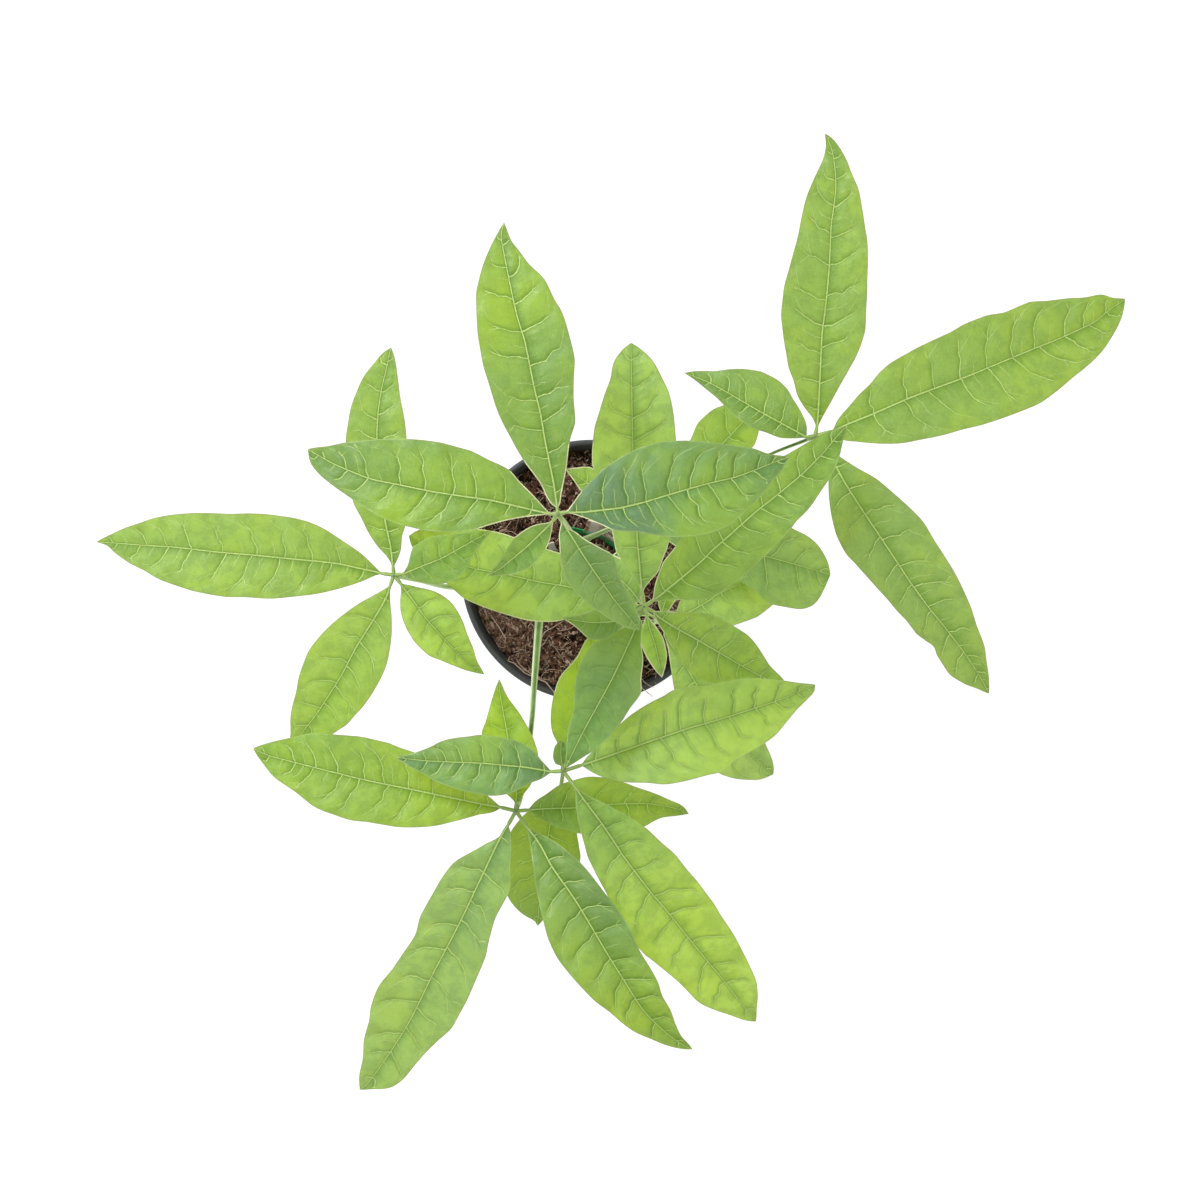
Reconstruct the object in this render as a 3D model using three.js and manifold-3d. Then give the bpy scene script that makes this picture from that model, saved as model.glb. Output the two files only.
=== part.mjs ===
// A potted money tree (Pachira): three loosely braided trunks in a round
// nursery pot, each ending in a green shoot that carries palmate leaves.
// Millimetres, +Z up. The origin is the centre of the underside of the pot.
import * as THREE from 'three';
import { mergeVertices } from 'three/addons/utils/BufferGeometryUtils.js';
import Module from 'manifold-3d';

// ---- driving dimensions -------------------------------------------------
const POT_HEIGHT = 105;
const POT_RIM_RADIUS = 62;
const POT_BASE_RADIUS = 43.5;
const POT_WALL = 1.5;
const POT_INSET = 4.9;            // from the rim's outside to the inner wall below it
const POT_STEP = 11.5;            // from the rim's top down to where the rim widens
const POT_FLOOR = 2.0;
const DRAIN_HOLES = 8;
const DRAIN_HOLE_RADIUS = 4.2;
const DRAIN_CIRCLE_RADIUS = 30;
const SOIL_TOP = 96.5;
const SOIL_BOTTOM = 2.4;
const GAP = 0.35;                 // between neighbouring pieces
const BRAID_CENTRE = [-4.85, -3.24];
const BRAID_PITCH = 130;          // height of one full turn of a strand
const BRAID_BOTTOM = 68;
const BRAID_TOP = 165;
const BRAID_HALF_WIDTH = 10;      // strand swing, left and right
const BRAID_HALF_DEPTH = 6.7;     // strand swing, front and back
const TRUNK_RADIUS = 4.3;
const TRUNK_SIDES = 12;
const LEAF_THICKNESS = 0.7;
const HUB_RADIUS = 1.5;
const STALK_HALF_WIDTH = 0.5;     // the short stalk of each leaflet
const LABEL_LOW = 93.5;           // lower edge, in the soil
const LABEL_HIGH = 114;           // top edge where the label is whole
const LABEL_LEAN = 8;             // how far the top leans outwards
const LABEL_END_LEAN = 1.65;      // how much more its far end leans
// Lower edge of the label, seen from above.
const LABEL_PATH = [[11.7, 6.6], [8.6, 10.4], [3.9, 13.4], [-1.2, 15.2], [-6, 16.3], [-10.8, 17], [-13.4, 14], [-14.2, 10.6], [-16, 8.6], [-20.4, 8.2]];
// Height of its top edge, at shares of its length: whole, then its lower band
// alone, then down in the soil, then its far end.
const LABEL_TOP = [[0, 114], [0.45, 114], [0.475, 104], [0.635, 104], [0.67, 97.3], [0.86, 97.3], [0.9, 103.5], [1, 103.5]];
const LABEL_THICKNESS = 0.6;


// Points where each leaf's leaflets meet, at the end of its stalk, then each
// leaflet: base, tip, and at stations v from base to tip the distance of the
// midrib and of both edges from the straight line between them.
const HUBS = {
  A: [-11.8, 18.3, 346],
  B: [-82.1, -3.4, 240],
  C: [-31, -101.3, 246],
  D: [-11.2, -83.6, 262],
  E: [21.3, -16.6, 288],
  G: [90.4, 52.2, 275],
  K: [30.2, -22.9, 205],
  I: [20.7, 19, 230],
};

const LEAFLETS = {
  leaflet_A1: { hub: 'A', base: [-12.2, 20.9, 346], tip: [-32.3, 128.2, 338], arch: 8, fold: 0.1,
    mid: [[0.092,-0.4],[0.23,-0.2],[0.31,-0.4],[0.414,0.1],[0.554,0.3],[0.683,1.6],[0.817,2],[0.941,2.1]],
    left: [[0.01,1.7],[0.09,4.6],[0.173,8.9],[0.254,12],[0.354,15.1],[0.45,16.4],[0.536,17.3],[0.61,17.2],[0.694,16.3],[0.767,15.1],[0.813,13.1],[0.858,10.9],[0.914,7.3],[0.96,3.8]],
    right: [[0.008,-1.3],[0.037,-2.4],[0.117,-5.9],[0.214,-9.4],[0.277,-12.7],[0.345,-13.5],[0.418,-15],[0.492,-16.7],[0.57,-16.3],[0.647,-15.3],[0.696,-13.4],[0.769,-11.2],[0.842,-6.2],[0.89,-3.8],[0.931,-1.6]] },
  leaflet_A2: { hub: 'A', base: [-14.8, 18.3, 346], tip: [-107.1, 43.5, 330], arch: 8, fold: 0.12,
    mid: [[0.119,0.5],[0.223,0.9],[0.356,2.4],[0.475,3.6],[0.597,4.3],[0.716,4.9],[0.807,4],[0.878,3],[0.953,1.3]],
    left: [[0.025,1.1],[0.09,3.6],[0.151,6.4],[0.213,9.9],[0.271,13.4],[0.319,15.2],[0.371,16.8],[0.432,18],[0.496,18.5],[0.553,18.6],[0.608,18.2],[0.684,16.6],[0.753,14.5],[0.809,12.7],[0.861,10.9],[0.927,8.1],[0.976,4.6]],
    right: [[0.025,-1.6],[0.078,-4.8],[0.145,-8.5],[0.203,-11.9],[0.288,-13.4],[0.377,-14.9],[0.462,-14.9],[0.538,-14.3],[0.616,-13],[0.694,-11.1],[0.775,-8.7],[0.849,-6.2],[0.921,-3]] },
  leaflet_A3: { hub: 'A', base: [-8.5, 19, 346], tip: [75.4, 40.3, 334], arch: 6, fold: 0.1,
    mid: [[0.071,-1.6],[0.153,-2.6],[0.235,-3.5],[0.319,-3.6],[0.427,-3.2],[0.535,-2.8],[0.635,-2.6],[0.73,-2.7],[0.837,-1.8],[0.933,-0.6]],
    left: [[0.035,2.7],[0.097,7],[0.149,9.7],[0.196,12.1],[0.259,14.2],[0.326,15.8],[0.395,16.6],[0.462,16.7],[0.54,15.6],[0.62,13.8],[0.682,11.9],[0.74,10.2],[0.798,8.2],[0.848,6.5],[0.918,2.7]],
    right: [[0.034,-1.9],[0.069,-3.9],[0.106,-6.2],[0.14,-8.5],[0.173,-10.8],[0.222,-12.4],[0.271,-13.7],[0.351,-16.8],[0.437,-19.3],[0.497,-20.2],[0.558,-20.7],[0.603,-20.5],[0.65,-20],[0.706,-18.1],[0.758,-15.7],[0.829,-12.1],[0.897,-7.7],[0.949,-4.5]] },
  leaflet_A4: { hub: 'A', base: [-14.1, 15.4, 344], tip: [-38.6, -4.4, 332], arch: 3, fold: 0.16,
    mid: [[0.201,0.7],[0.496,1.3],[0.761,1.3]],
    left: [[0.033,1.6],[0.099,3.3],[0.145,4.5],[0.257,6.5],[0.38,7.7],[0.515,8.1],[0.663,7.2],[0.841,4.3]],
    right: [[0.072,-1.3],[0.154,-2.9],[0.293,-4.1],[0.439,-4.4],[0.555,-3.6],[0.662,-2.5],[0.822,-1.2]] },
  leaflet_A5: { hub: 'A', base: [-10.4, 15.7, 344], tip: [18.9, -25.4, 318], arch: 5, fold: 0.08,
    mid: [[0.139,-0.4],[0.305,-0.9],[0.492,-1.1],[0.685,-1.1],[0.842,-0.5]],
    left: [[0.058,0.2],[0.126,1.9],[0.197,3],[0.33,6.1],[0.427,8.2],[0.473,7.9],[0.534,6.4],[0.666,4.9],[0.783,4.6],[0.848,3.9],[0.92,3]],
    right: [[0.024,-1.5],[0.072,-4],[0.134,-6],[0.184,-7.6],[0.265,-9.6],[0.344,-11],[0.41,-11.6],[0.474,-11.6],[0.572,-10.5],[0.674,-9.1],[0.787,-7],[0.899,-4.4],[0.958,-2.3]] },
  leaflet_B1: { hub: 'B', base: [-87.1, -2.8, 240], tip: [-209.6, 10.8, 222], arch: 8, fold: 0.08,
    mid: [[0.075,-1.1],[0.171,-2.1],[0.307,-1.9],[0.448,-1.7],[0.569,-1.3],[0.69,-1.4],[0.841,-0.7]],
    left: [[0.019,1],[0.062,4.1],[0.106,6.7],[0.159,9.3],[0.212,11.5],[0.291,13.8],[0.375,15.7],[0.447,16.1],[0.52,16.9],[0.608,16.3],[0.694,14.6],[0.754,12.8],[0.815,9.8],[0.873,7.3],[0.925,4],[0.962,1]],
    right: [[0.009,-0.9],[0.034,-3.4],[0.078,-7.5],[0.148,-12.1],[0.218,-16.3],[0.275,-18.3],[0.331,-19.1],[0.397,-19.3],[0.462,-18.9],[0.534,-17.8],[0.607,-17.2],[0.702,-15.7],[0.796,-12.8],[0.854,-9.7],[0.908,-6.9],[0.958,-3.4]] },
  leaflet_B2: { hub: 'B', base: [-82.4, 0.3, 241], tip: [-83.6, 91.7, 236], arch: 6, fold: 0.08,
    mid: [[0.073,0.6],[0.209,2.8],[0.391,4.6],[0.587,5.7],[0.693,5.2],[0.794,4],[0.915,1.6]],
    left: [[0.017,0.9],[0.043,2.4],[0.085,5.8],[0.147,9.5],[0.218,12.5],[0.296,16],[0.392,17.8],[0.483,18.5],[0.57,18.6],[0.643,17.7],[0.712,16.8],[0.787,14.5],[0.862,11.4],[0.93,7],[0.973,3.8]],
    right: [[0.013,-1.1],[0.079,-3.6],[0.135,-4.1],[0.181,-5.5],[0.298,-6.1],[0.457,-6.4],[0.585,-6.6],[0.64,-6.1],[0.695,-5.4],[0.779,-3.9],[0.872,-2.8],[0.944,-1.8]] },
  leaflet_B3: { hub: 'B', base: [-83.8, -8, 239], tip: [-132.3, -81, 200], arch: 6, fold: 0.1,
    mid: [[0.069,1.4],[0.193,1.8],[0.314,1.8],[0.511,2.8],[0.692,2.5],[0.881,0.9]],
    left: [[0.025,1.3],[0.067,3.9],[0.127,8.1],[0.214,12.7],[0.3,15.8],[0.353,17.1],[0.412,17.8],[0.485,18],[0.557,17.7],[0.617,16.8],[0.675,16.1],[0.751,13.4],[0.856,9.5],[0.945,4.6]],
    right: [[0.026,-1.2],[0.09,-4.1],[0.144,-6.6],[0.212,-9.1],[0.275,-11.1],[0.338,-12.6],[0.404,-13.7],[0.478,-14.3],[0.546,-13.6],[0.615,-12.3],[0.691,-9.9],[0.762,-8.3],[0.821,-6.4],[0.907,-2.3]] },
  leaflet_B4: { hub: 'B', base: [-79.2, -7.2, 239], tip: [-45.6, -45.4, 218], arch: 3, fold: 0.1,
    mid: [[0.162,-0.8],[0.393,-2],[0.612,-2.1],[0.821,-1.8]],
    left: [[0.041,2],[0.104,4.2],[0.17,6.7],[0.237,8.7],[0.316,10],[0.39,10.5],[0.477,9.9],[0.565,8.6],[0.678,6.1],[0.782,4.2],[0.878,1.8]],
    right: [[0.037,-1.7],[0.098,-5],[0.163,-7.7],[0.247,-9.8],[0.342,-11.3],[0.452,-12.1],[0.574,-11.7],[0.68,-9.3],[0.791,-6.7],[0.873,-4.6],[0.938,-2.5]] },
  leaflet_B5: { hub: 'B', base: [-78.2, -3, 241], tip: [-41.2, 14.9, 240], arch: 3, fold: 0.08,
    mid: [[0.188,-0.5],[0.429,-1.2],[0.659,-0.7],[0.865,-0.1]],
    left: [[0.086,2.5],[0.159,6],[0.216,8.2],[0.3,8.7],[0.393,9],[0.493,7.9],[0.608,6.3],[0.752,4.4],[0.893,2.2]],
    right: [[0.075,-4.3],[0.191,-8],[0.28,-10.1],[0.366,-11.3],[0.442,-11.6],[0.514,-11.2],[0.599,-9.7],[0.684,-7.2],[0.795,-4.3],[0.902,-1.8]] },
  leaflet_C1: { hub: 'C', base: [-37.6, -99.7, 246], tip: [-142.2, -76.4, 229], arch: 8, fold: 0.1,
    mid: [[0.078,0.3],[0.165,0.4],[0.354,0.7],[0.55,1.3],[0.725,1.3],[0.92,1.3]],
    left: [[0.008,1.5],[0.077,5.1],[0.146,8.9],[0.224,13],[0.321,16],[0.398,17.4],[0.474,17.7],[0.56,18.8],[0.631,18.2],[0.705,17],[0.796,13],[0.89,9.3],[0.955,4.7]],
    right: [[0.013,-1.1],[0.059,-3.8],[0.132,-6.8],[0.218,-10.3],[0.302,-13],[0.373,-14.6],[0.426,-15.2],[0.487,-16.1],[0.564,-16],[0.639,-15.1],[0.679,-14.4],[0.774,-12.5],[0.858,-8.5],[0.941,-4.1]] },
  leaflet_C2: { hub: 'C', base: [-31, -98, 246], tip: [-38.4, -47.2, 234], arch: 2, fold: 0.1,
    mid: [[0.087,-0.8],[0.306,-0.5],[0.528,-0.4],[0.633,-0.2],[0.899,0.4]],
    left: [[0.018,0.7],[0.091,3.6],[0.227,8.4],[0.403,10.5],[0.588,10.1],[0.693,7.6],[0.889,3.2]],
    right: [[0.006,-1.3],[0.039,-2.6],[0.132,-7.3],[0.24,-10.2],[0.357,-12],[0.48,-11.1],[0.585,-9.3],[0.72,-6.3],[0.854,-2.5]] },
  leaflet_C3: { hub: 'C', base: [-34.5, -107.6, 245], tip: [-99.4, -224.4, 208], arch: 9, fold: 0.08,
    mid: [[0.019,-0.3],[0.172,0.8],[0.352,2.3],[0.521,2.9],[0.703,4.1],[0.862,3.1],[0.97,1.5]],
    left: [[0.005,1.3],[0.049,5.3],[0.102,8.8],[0.186,14],[0.257,14.1],[0.335,16.2],[0.397,18.6],[0.474,19.8],[0.571,20.9],[0.641,21],[0.725,18.2],[0.807,15.6],[0.883,14.2],[0.931,11.7],[0.952,9.1],[0.973,5.1]],
    right: [[0.03,-0.4],[0.093,-5.2],[0.195,-12.6],[0.257,-13.5],[0.373,-13.6],[0.448,-11.6],[0.499,-12.1],[0.575,-13],[0.651,-14.5],[0.721,-13.3],[0.767,-11],[0.828,-9.3],[0.899,-5.4],[0.957,-3.1]] },
  leaflet_C4: { hub: 'C', base: [-26.4, -107.8, 247], tip: [42.5, -202.6, 232], arch: 12, fold: 0.1,
    mid: [[0.06,0.3],[0.173,-1],[0.281,-1.1],[0.399,-2.1],[0.523,-3.6],[0.646,-4.8],[0.767,-5.9],[0.863,-4.8],[0.947,-2.6]],
    left: [[0.031,1.8],[0.08,5],[0.128,7.3],[0.21,9.5],[0.276,10.3],[0.351,10.5],[0.419,10.8],[0.487,10.4],[0.587,7.8],[0.656,7.1],[0.716,6.1],[0.767,4.1],[0.832,3],[0.886,1.1],[0.939,0],[0.983,0.3]],
    right: [[0.015,-0.9],[0.049,-2.8],[0.116,-6.7],[0.198,-11.8],[0.291,-16.5],[0.368,-19.7],[0.453,-21.3],[0.531,-20.7],[0.628,-19.6],[0.704,-17.4],[0.817,-14.2],[0.877,-10.7],[0.928,-7.5],[0.971,-3.7]] },
  leaflet_C5: { hub: 'C', base: [-25.8, -101, 245], tip: [41.1, -103.7, 231], arch: 3, fold: 0.08,
    mid: [[0.101,0.8],[0.298,1.6],[0.53,3.5],[0.709,4],[0.844,3.1],[0.936,1.7]],
    left: [[0.038,3.6],[0.105,6.9],[0.187,11],[0.258,12.8],[0.387,14.8],[0.497,14.4],[0.579,12.9],[0.659,10.9],[0.785,8.3],[0.876,5.7],[0.96,3.2]],
    right: [[0.045,-2.2],[0.123,-5.1],[0.193,-7],[0.27,-8],[0.32,-9],[0.449,-9],[0.604,-7.9],[0.731,-5.3],[0.779,-3.4],[0.837,-1.7],[0.937,-0.9]] },
  leaflet_D1: { hub: 'D', base: [-3.5, -81.1, 263], tip: [91.4, -48.4, 264], arch: 6, fold: 0.1,
    mid: [[0.077,0],[0.164,0.2],[0.321,0.4],[0.451,0.4],[0.58,-0.3],[0.723,-0.7],[0.847,-0.9],[0.955,-0.2]],
    left: [[0.025,2.2],[0.066,4.3],[0.139,7.9],[0.23,12.2],[0.288,14.1],[0.346,15.3],[0.398,16],[0.45,17.1],[0.525,16.1],[0.602,14],[0.665,13.5],[0.746,11.9],[0.816,9.2],[0.885,5.9],[0.946,2.7]],
    right: [[0.029,-4],[0.065,-7.3],[0.136,-11.7],[0.223,-14.9],[0.303,-18.2],[0.383,-19.4],[0.461,-19.8],[0.514,-20.4],[0.597,-17.8],[0.674,-16.3],[0.732,-15.2],[0.777,-13.9],[0.836,-10.5],[0.893,-7.1],[0.953,-4.3],[0.991,-2]] },
  leaflet_D2: { hub: 'D', base: [-16.1, -83.9, 262], tip: [-79.8, -78.5, 255], arch: 5, fold: 0.12,
    mid: [[0.09,-0.6],[0.193,-1.1],[0.401,-1.2],[0.666,-0.4],[0.843,0.1]],
    left: [[0.057,3.1],[0.127,5.3],[0.194,8.1],[0.259,10.2],[0.383,11.6],[0.523,10.8],[0.622,9.6],[0.723,8.1],[0.812,5.6],[0.916,3]],
    right: [[0.066,-4.3],[0.132,-8.7],[0.219,-11.2],[0.289,-12.2],[0.36,-12.7],[0.45,-12.8],[0.553,-11.5],[0.65,-10.1],[0.721,-8.4],[0.787,-5.7],[0.888,-2.6]] },
  leaflet_D3: { hub: 'D', base: [-10.4, -79.9, 262], tip: [11.1, -25.2, 269], arch: 1, fold: 0.06,
    mid: [[0.124,0.7],[0.324,0.9],[0.531,1.3],[0.717,1.3],[0.871,0.5]],
    left: [[0.034,2.8],[0.105,5.8],[0.149,8.7],[0.198,10.6],[0.254,12.1],[0.34,13.6],[0.418,14.4],[0.493,14.8],[0.559,14.4],[0.641,12.6],[0.728,11.1],[0.818,10.6],[0.899,8.5],[0.958,4.7]],
    right: [[0.068,-1.8],[0.157,-4.3],[0.283,-6.2],[0.422,-6.9],[0.574,-7.3],[0.72,-6.9],[0.859,-5.5],[0.947,-3.2]] },
  leaflet_D4: { hub: 'D', base: [-6.6, -89.8, 261], tip: [70.5, -194.2, 213], arch: 2, fold: 0.08,
    mid: [[0.053,-0.3],[0.14,-0.4],[0.2,-0.8],[0.295,-1.6],[0.414,-1.7],[0.515,-1.1],[0.612,-0.9],[0.719,-0.6],[0.815,-0.1],[0.897,-0.2],[0.968,-0.1]],
    left: [[0.023,0.8],[0.088,4.5],[0.134,7.3],[0.194,10.7],[0.248,13],[0.311,14.3],[0.381,16],[0.438,16.1],[0.495,16.5],[0.566,16.5],[0.637,15.7],[0.703,15.2],[0.766,14],[0.828,12.5],[0.881,10.9],[0.926,7.8],[0.964,3.9]],
    right: [[0.017,-1.2],[0.052,-4.3],[0.114,-8.4],[0.164,-11],[0.216,-13.6],[0.273,-15],[0.342,-16.5],[0.387,-17.9],[0.445,-19.3],[0.508,-20.2],[0.575,-19.8],[0.619,-18.4],[0.673,-16.9],[0.725,-15.6],[0.77,-15],[0.812,-14.4],[0.879,-10.9],[0.935,-6.5],[0.973,-3.5]] },
  leaflet_D5: { hub: 'D', base: [-11.5, -81.4, 264.5], tip: [-11.7, -70.6, 271], arch: 2, fold: 0.45,
    mid: [[0.445,0.4],[0.717,0.3]],
    left: [[0.11,2.7],[0.403,3.6],[0.654,3.2],[0.871,2.1]],
    right: [[0.166,-1.4],[0.407,-2.3],[0.642,-2.5],[0.87,-1.8]] },
  leaflet_D6: { hub: 'D', base: [-12.5, -92.1, 237], tip: [-23.1, -154.3, 205], arch: 3, fold: 0.08,
    mid: [[0.114,-0.9],[0.306,-1.9],[0.519,-1.5],[0.737,-1.1],[0.899,-0.5]],
    left: [[0.045,3.5],[0.126,6.8],[0.218,8.7],[0.299,10],[0.379,11.7],[0.465,13.2],[0.562,13.2],[0.685,11],[0.816,7.1],[0.935,2.6]],
    right: [[0.063,-3.2],[0.151,-9.3],[0.263,-14.7],[0.392,-18.2],[0.538,-18.9],[0.681,-18],[0.808,-15.1],[0.893,-10.7],[0.947,-5.4],[0.968,-1.7]] },
  leaflet_E1: { hub: 'E', base: [24.9, -14, 289], tip: [101.6, 55, 292], arch: 6, fold: 0.1,
    mid: [[0.033,-0.4],[0.096,-0.7],[0.244,-1.2],[0.299,-0.9],[0.396,-1],[0.498,-1],[0.615,-1.7],[0.74,-2.2],[0.854,-1.6],[0.961,-0.2]],
    left: [[0.021,2.1],[0.045,4.1],[0.085,6.5],[0.132,8.8],[0.184,9.7],[0.229,10.8],[0.315,13.4],[0.411,13.9],[0.506,13],[0.596,11.6],[0.681,9.5],[0.761,7.4],[0.853,5.4],[0.941,3]],
    right: [[0.024,-2.5],[0.05,-4.3],[0.1,-9.1],[0.154,-13.5],[0.209,-15.4],[0.263,-16.2],[0.306,-16.5],[0.352,-16.5],[0.413,-16.4],[0.472,-16.1],[0.521,-15.8],[0.566,-15.3],[0.612,-14.4],[0.649,-14.3],[0.69,-13.8],[0.744,-12.4],[0.801,-11],[0.847,-9.4],[0.892,-7.2],[0.949,-3.4]] },
  leaflet_E2: { hub: 'E', base: [24.9, -18.4, 288], tip: [83, -51.5, 236], arch: 0, fold: 0.08,
    mid: [[0.056,-0.8],[0.155,-1.1],[0.318,-1],[0.474,-1],[0.634,-1.1],[0.816,-0.8]],
    left: [[0.041,1.8],[0.109,4.1],[0.192,7],[0.275,9.8],[0.345,11],[0.429,11.3],[0.476,11.3],[0.568,11.1],[0.652,9.7],[0.734,7.2],[0.81,4.8],[0.928,2.7]],
    right: [[0.025,-1.6],[0.056,-2.9],[0.084,-4],[0.119,-5.1],[0.153,-6.3],[0.193,-7.9],[0.236,-9.8],[0.279,-11.7],[0.363,-13.6],[0.437,-14.5],[0.538,-13.3],[0.662,-12.1],[0.788,-9.5],[0.903,-5.4]] },
  leaflet_E3: { hub: 'E', base: [22.3, -19.6, 290], tip: [28.3, -44.4, 295], arch: 1, fold: 0.25,
    mid: [[0.179,-0.1],[0.499,0.4],[0.852,0.2]],
    left: [[0.08,0.9],[0.23,2.7],[0.461,4.3],[0.631,4.2],[0.812,2.8],[0.924,1.3]],
    right: [[0.088,-1.6],[0.242,-3.8],[0.448,-4.9],[0.601,-4.3],[0.862,-2]] },
  leaflet_E4: { hub: 'E', base: [20.7, -10.7, 289], tip: [16.1, 87.3, 297], arch: 6, fold: 0.1,
    mid: [[0.049,0.4],[0.129,0.8],[0.234,1.2],[0.37,1.4],[0.529,1.4],[0.609,1.2],[0.729,0.9],[0.854,0.5]],
    left: [[0.025,0.7],[0.06,3.5],[0.096,5.7],[0.133,8],[0.17,9.8],[0.25,11],[0.335,12.6],[0.415,14.2],[0.476,16.2],[0.524,17.6],[0.568,17.4],[0.616,16.8],[0.659,16.1],[0.726,13.9],[0.8,11.3],[0.858,8.9],[0.917,7.5],[0.969,4.1]],
    right: [[0.02,-1.3],[0.047,-3.6],[0.074,-6.2],[0.14,-9.1],[0.174,-10.6],[0.221,-11.8],[0.282,-13.2],[0.362,-14.3],[0.441,-15.4],[0.52,-15.8],[0.6,-15.7],[0.66,-15.5],[0.712,-15.2],[0.786,-14],[0.861,-11.1],[0.917,-8.5],[0.971,-4]] },
  leaflet_E5: { hub: 'E', base: [18.3, -18, 289], tip: [-11.5, -21, 285], arch: 2, fold: 0.06,
    mid: [[0.12,2],[0.337,3.4],[0.563,3.1],[0.824,1.4]],
    left: [[0.041,2.3],[0.158,5.3],[0.328,8.4],[0.493,10.1],[0.645,9.7],[0.748,6.7],[0.832,3.9],[0.919,1.8]],
    right: [[0.068,-1.6],[0.159,-2.3],[0.316,-3],[0.504,-2.3],[0.682,-1.1],[0.858,-0.3]] },
  leaflet_E6: { hub: 'E', base: [19.2, -20.6, 287], tip: [-10, -81.1, 280], arch: -2, fold: 0.06,
    mid: [[0.06,0.8],[0.157,1.1],[0.372,1.3],[0.564,0.8],[0.725,0.2],[0.87,0]],
    left: [[0.014,1.7],[0.058,3.9],[0.138,5.8],[0.215,9.1],[0.325,11.8],[0.402,14.1],[0.519,12.8],[0.593,12.3],[0.71,10.3],[0.813,7.9],[0.893,4.7],[0.959,2]],
    right: [[0.041,-1.1],[0.091,-3.5],[0.156,-7.1],[0.225,-10.2],[0.3,-12.6],[0.394,-12.8],[0.507,-11.7],[0.59,-9.4],[0.677,-7.1],[0.77,-6.1],[0.868,-3.8],[0.94,-1.8]] },
  leaflet_E7: { hub: 'E', base: [19.6, -14.4, 286.6], tip: [1.4, 3.9, 272], arch: 1, fold: 0.08,
    mid: [[0.283,-0.8],[0.678,-0.8]],
    left: [[0.081,3.2],[0.282,5.4],[0.555,5.7],[0.799,4]],
    right: [[0.06,-2.7],[0.295,-6.2],[0.558,-7.3],[0.74,-6.4],[0.892,-4]] },
  leaflet_G1: { hub: 'G', base: [91.1, 55.7, 276], tip: [93.7, 172.3, 283], arch: 8, fold: 0.1,
    mid: [[0.04,-0.2],[0.158,-0.3],[0.296,-0.4],[0.39,-1.3],[0.481,-2.1],[0.576,-2.6],[0.669,-2.8],[0.745,-3.8],[0.818,-4.5],[0.909,-3.6],[0.968,-1.8]],
    left: [[0.027,1.7],[0.069,5.7],[0.109,8.7],[0.151,10.2],[0.199,12.6],[0.252,13.9],[0.315,15.3],[0.375,16.3],[0.422,15.9],[0.467,15.4],[0.525,13.7],[0.583,12.1],[0.648,10.2],[0.71,9],[0.756,7.9],[0.795,6.5],[0.861,3.3],[0.924,0.3],[0.96,-0.3]],
    right: [[0.038,-2.3],[0.091,-5.5],[0.143,-8.5],[0.192,-11.5],[0.237,-14.2],[0.289,-16.4],[0.34,-17.5],[0.401,-17.5],[0.462,-17.7],[0.527,-17.7],[0.588,-17.5],[0.629,-17.2],[0.67,-16.4],[0.735,-15.2],[0.797,-13.7],[0.854,-11],[0.906,-8.9],[0.961,-5.2],[0.989,-2.3]] },
  leaflet_G2: { hub: 'G', base: [97.7, 54.2, 275], tip: [216.7, 108.2, 268], arch: 9, fold: 0.1,
    mid: [[0.036,-0],[0.137,-0.5],[0.236,-0.7],[0.336,-1.5],[0.434,-2.4],[0.548,-2.9],[0.66,-3.3],[0.756,-3.8],[0.856,-3.7],[0.948,-1.2]],
    left: [[0.026,3.3],[0.076,6.5],[0.116,9],[0.158,10.9],[0.202,13.7],[0.246,15.3],[0.299,15.9],[0.351,16.4],[0.394,16.4],[0.436,16.4],[0.497,17.1],[0.559,16.7],[0.627,14.8],[0.7,14.6],[0.762,12],[0.824,9.8],[0.877,7.2],[0.932,5.6],[0.966,2.4]],
    right: [[0.006,-3],[0.018,-5.2],[0.049,-7.7],[0.08,-10.2],[0.125,-13.4],[0.172,-16],[0.231,-17.9],[0.292,-19.8],[0.358,-21.1],[0.423,-22.7],[0.507,-23.8],[0.596,-24.3],[0.668,-22.7],[0.741,-20.2],[0.796,-18.4],[0.851,-15.9],[0.897,-12.8],[0.948,-8],[0.982,-3.5]] },
  leaflet_G3: { hub: 'G', base: [97, 45.8, 274], tip: [164.4, -52.4, 250], arch: 8, fold: 0.08,
    mid: [[0.05,-1.7],[0.133,-2.6],[0.247,-2.9],[0.369,-2.9],[0.492,-2.9],[0.611,-2.3],[0.722,-0.9],[0.84,0.2],[0.926,0.5]],
    left: [[0.031,1.9],[0.104,5.5],[0.169,9.1],[0.24,11.5],[0.32,13.7],[0.389,14.8],[0.46,14.4],[0.543,14.3],[0.622,13.8],[0.691,12.6],[0.767,10.5],[0.847,8.7],[0.907,5.6],[0.966,2.5]],
    right: [[0.029,-3.6],[0.077,-7.7],[0.13,-11.6],[0.196,-15.4],[0.257,-17.7],[0.309,-18.3],[0.36,-17.3],[0.402,-16.7],[0.462,-15.7],[0.512,-14.7],[0.566,-13.9],[0.627,-12.7],[0.667,-12.5],[0.716,-10.6],[0.75,-9.1],[0.785,-9.9],[0.849,-9.9],[0.919,-6.7],[0.962,-3.1]] },
  leaflet_G4: { hub: 'G', base: [86.7, 51.7, 276], tip: [38.2, 77.9, 271], arch: 3, fold: 0.08,
    mid: [[0.134,-0.1],[0.301,-0.1],[0.552,-0.5],[0.787,-1]],
    left: [[0.067,2.6],[0.18,5.5],[0.278,6.2],[0.378,7.3],[0.493,6.5],[0.608,4.9],[0.712,3.1],[0.814,1.9],[0.915,0.7]],
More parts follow.
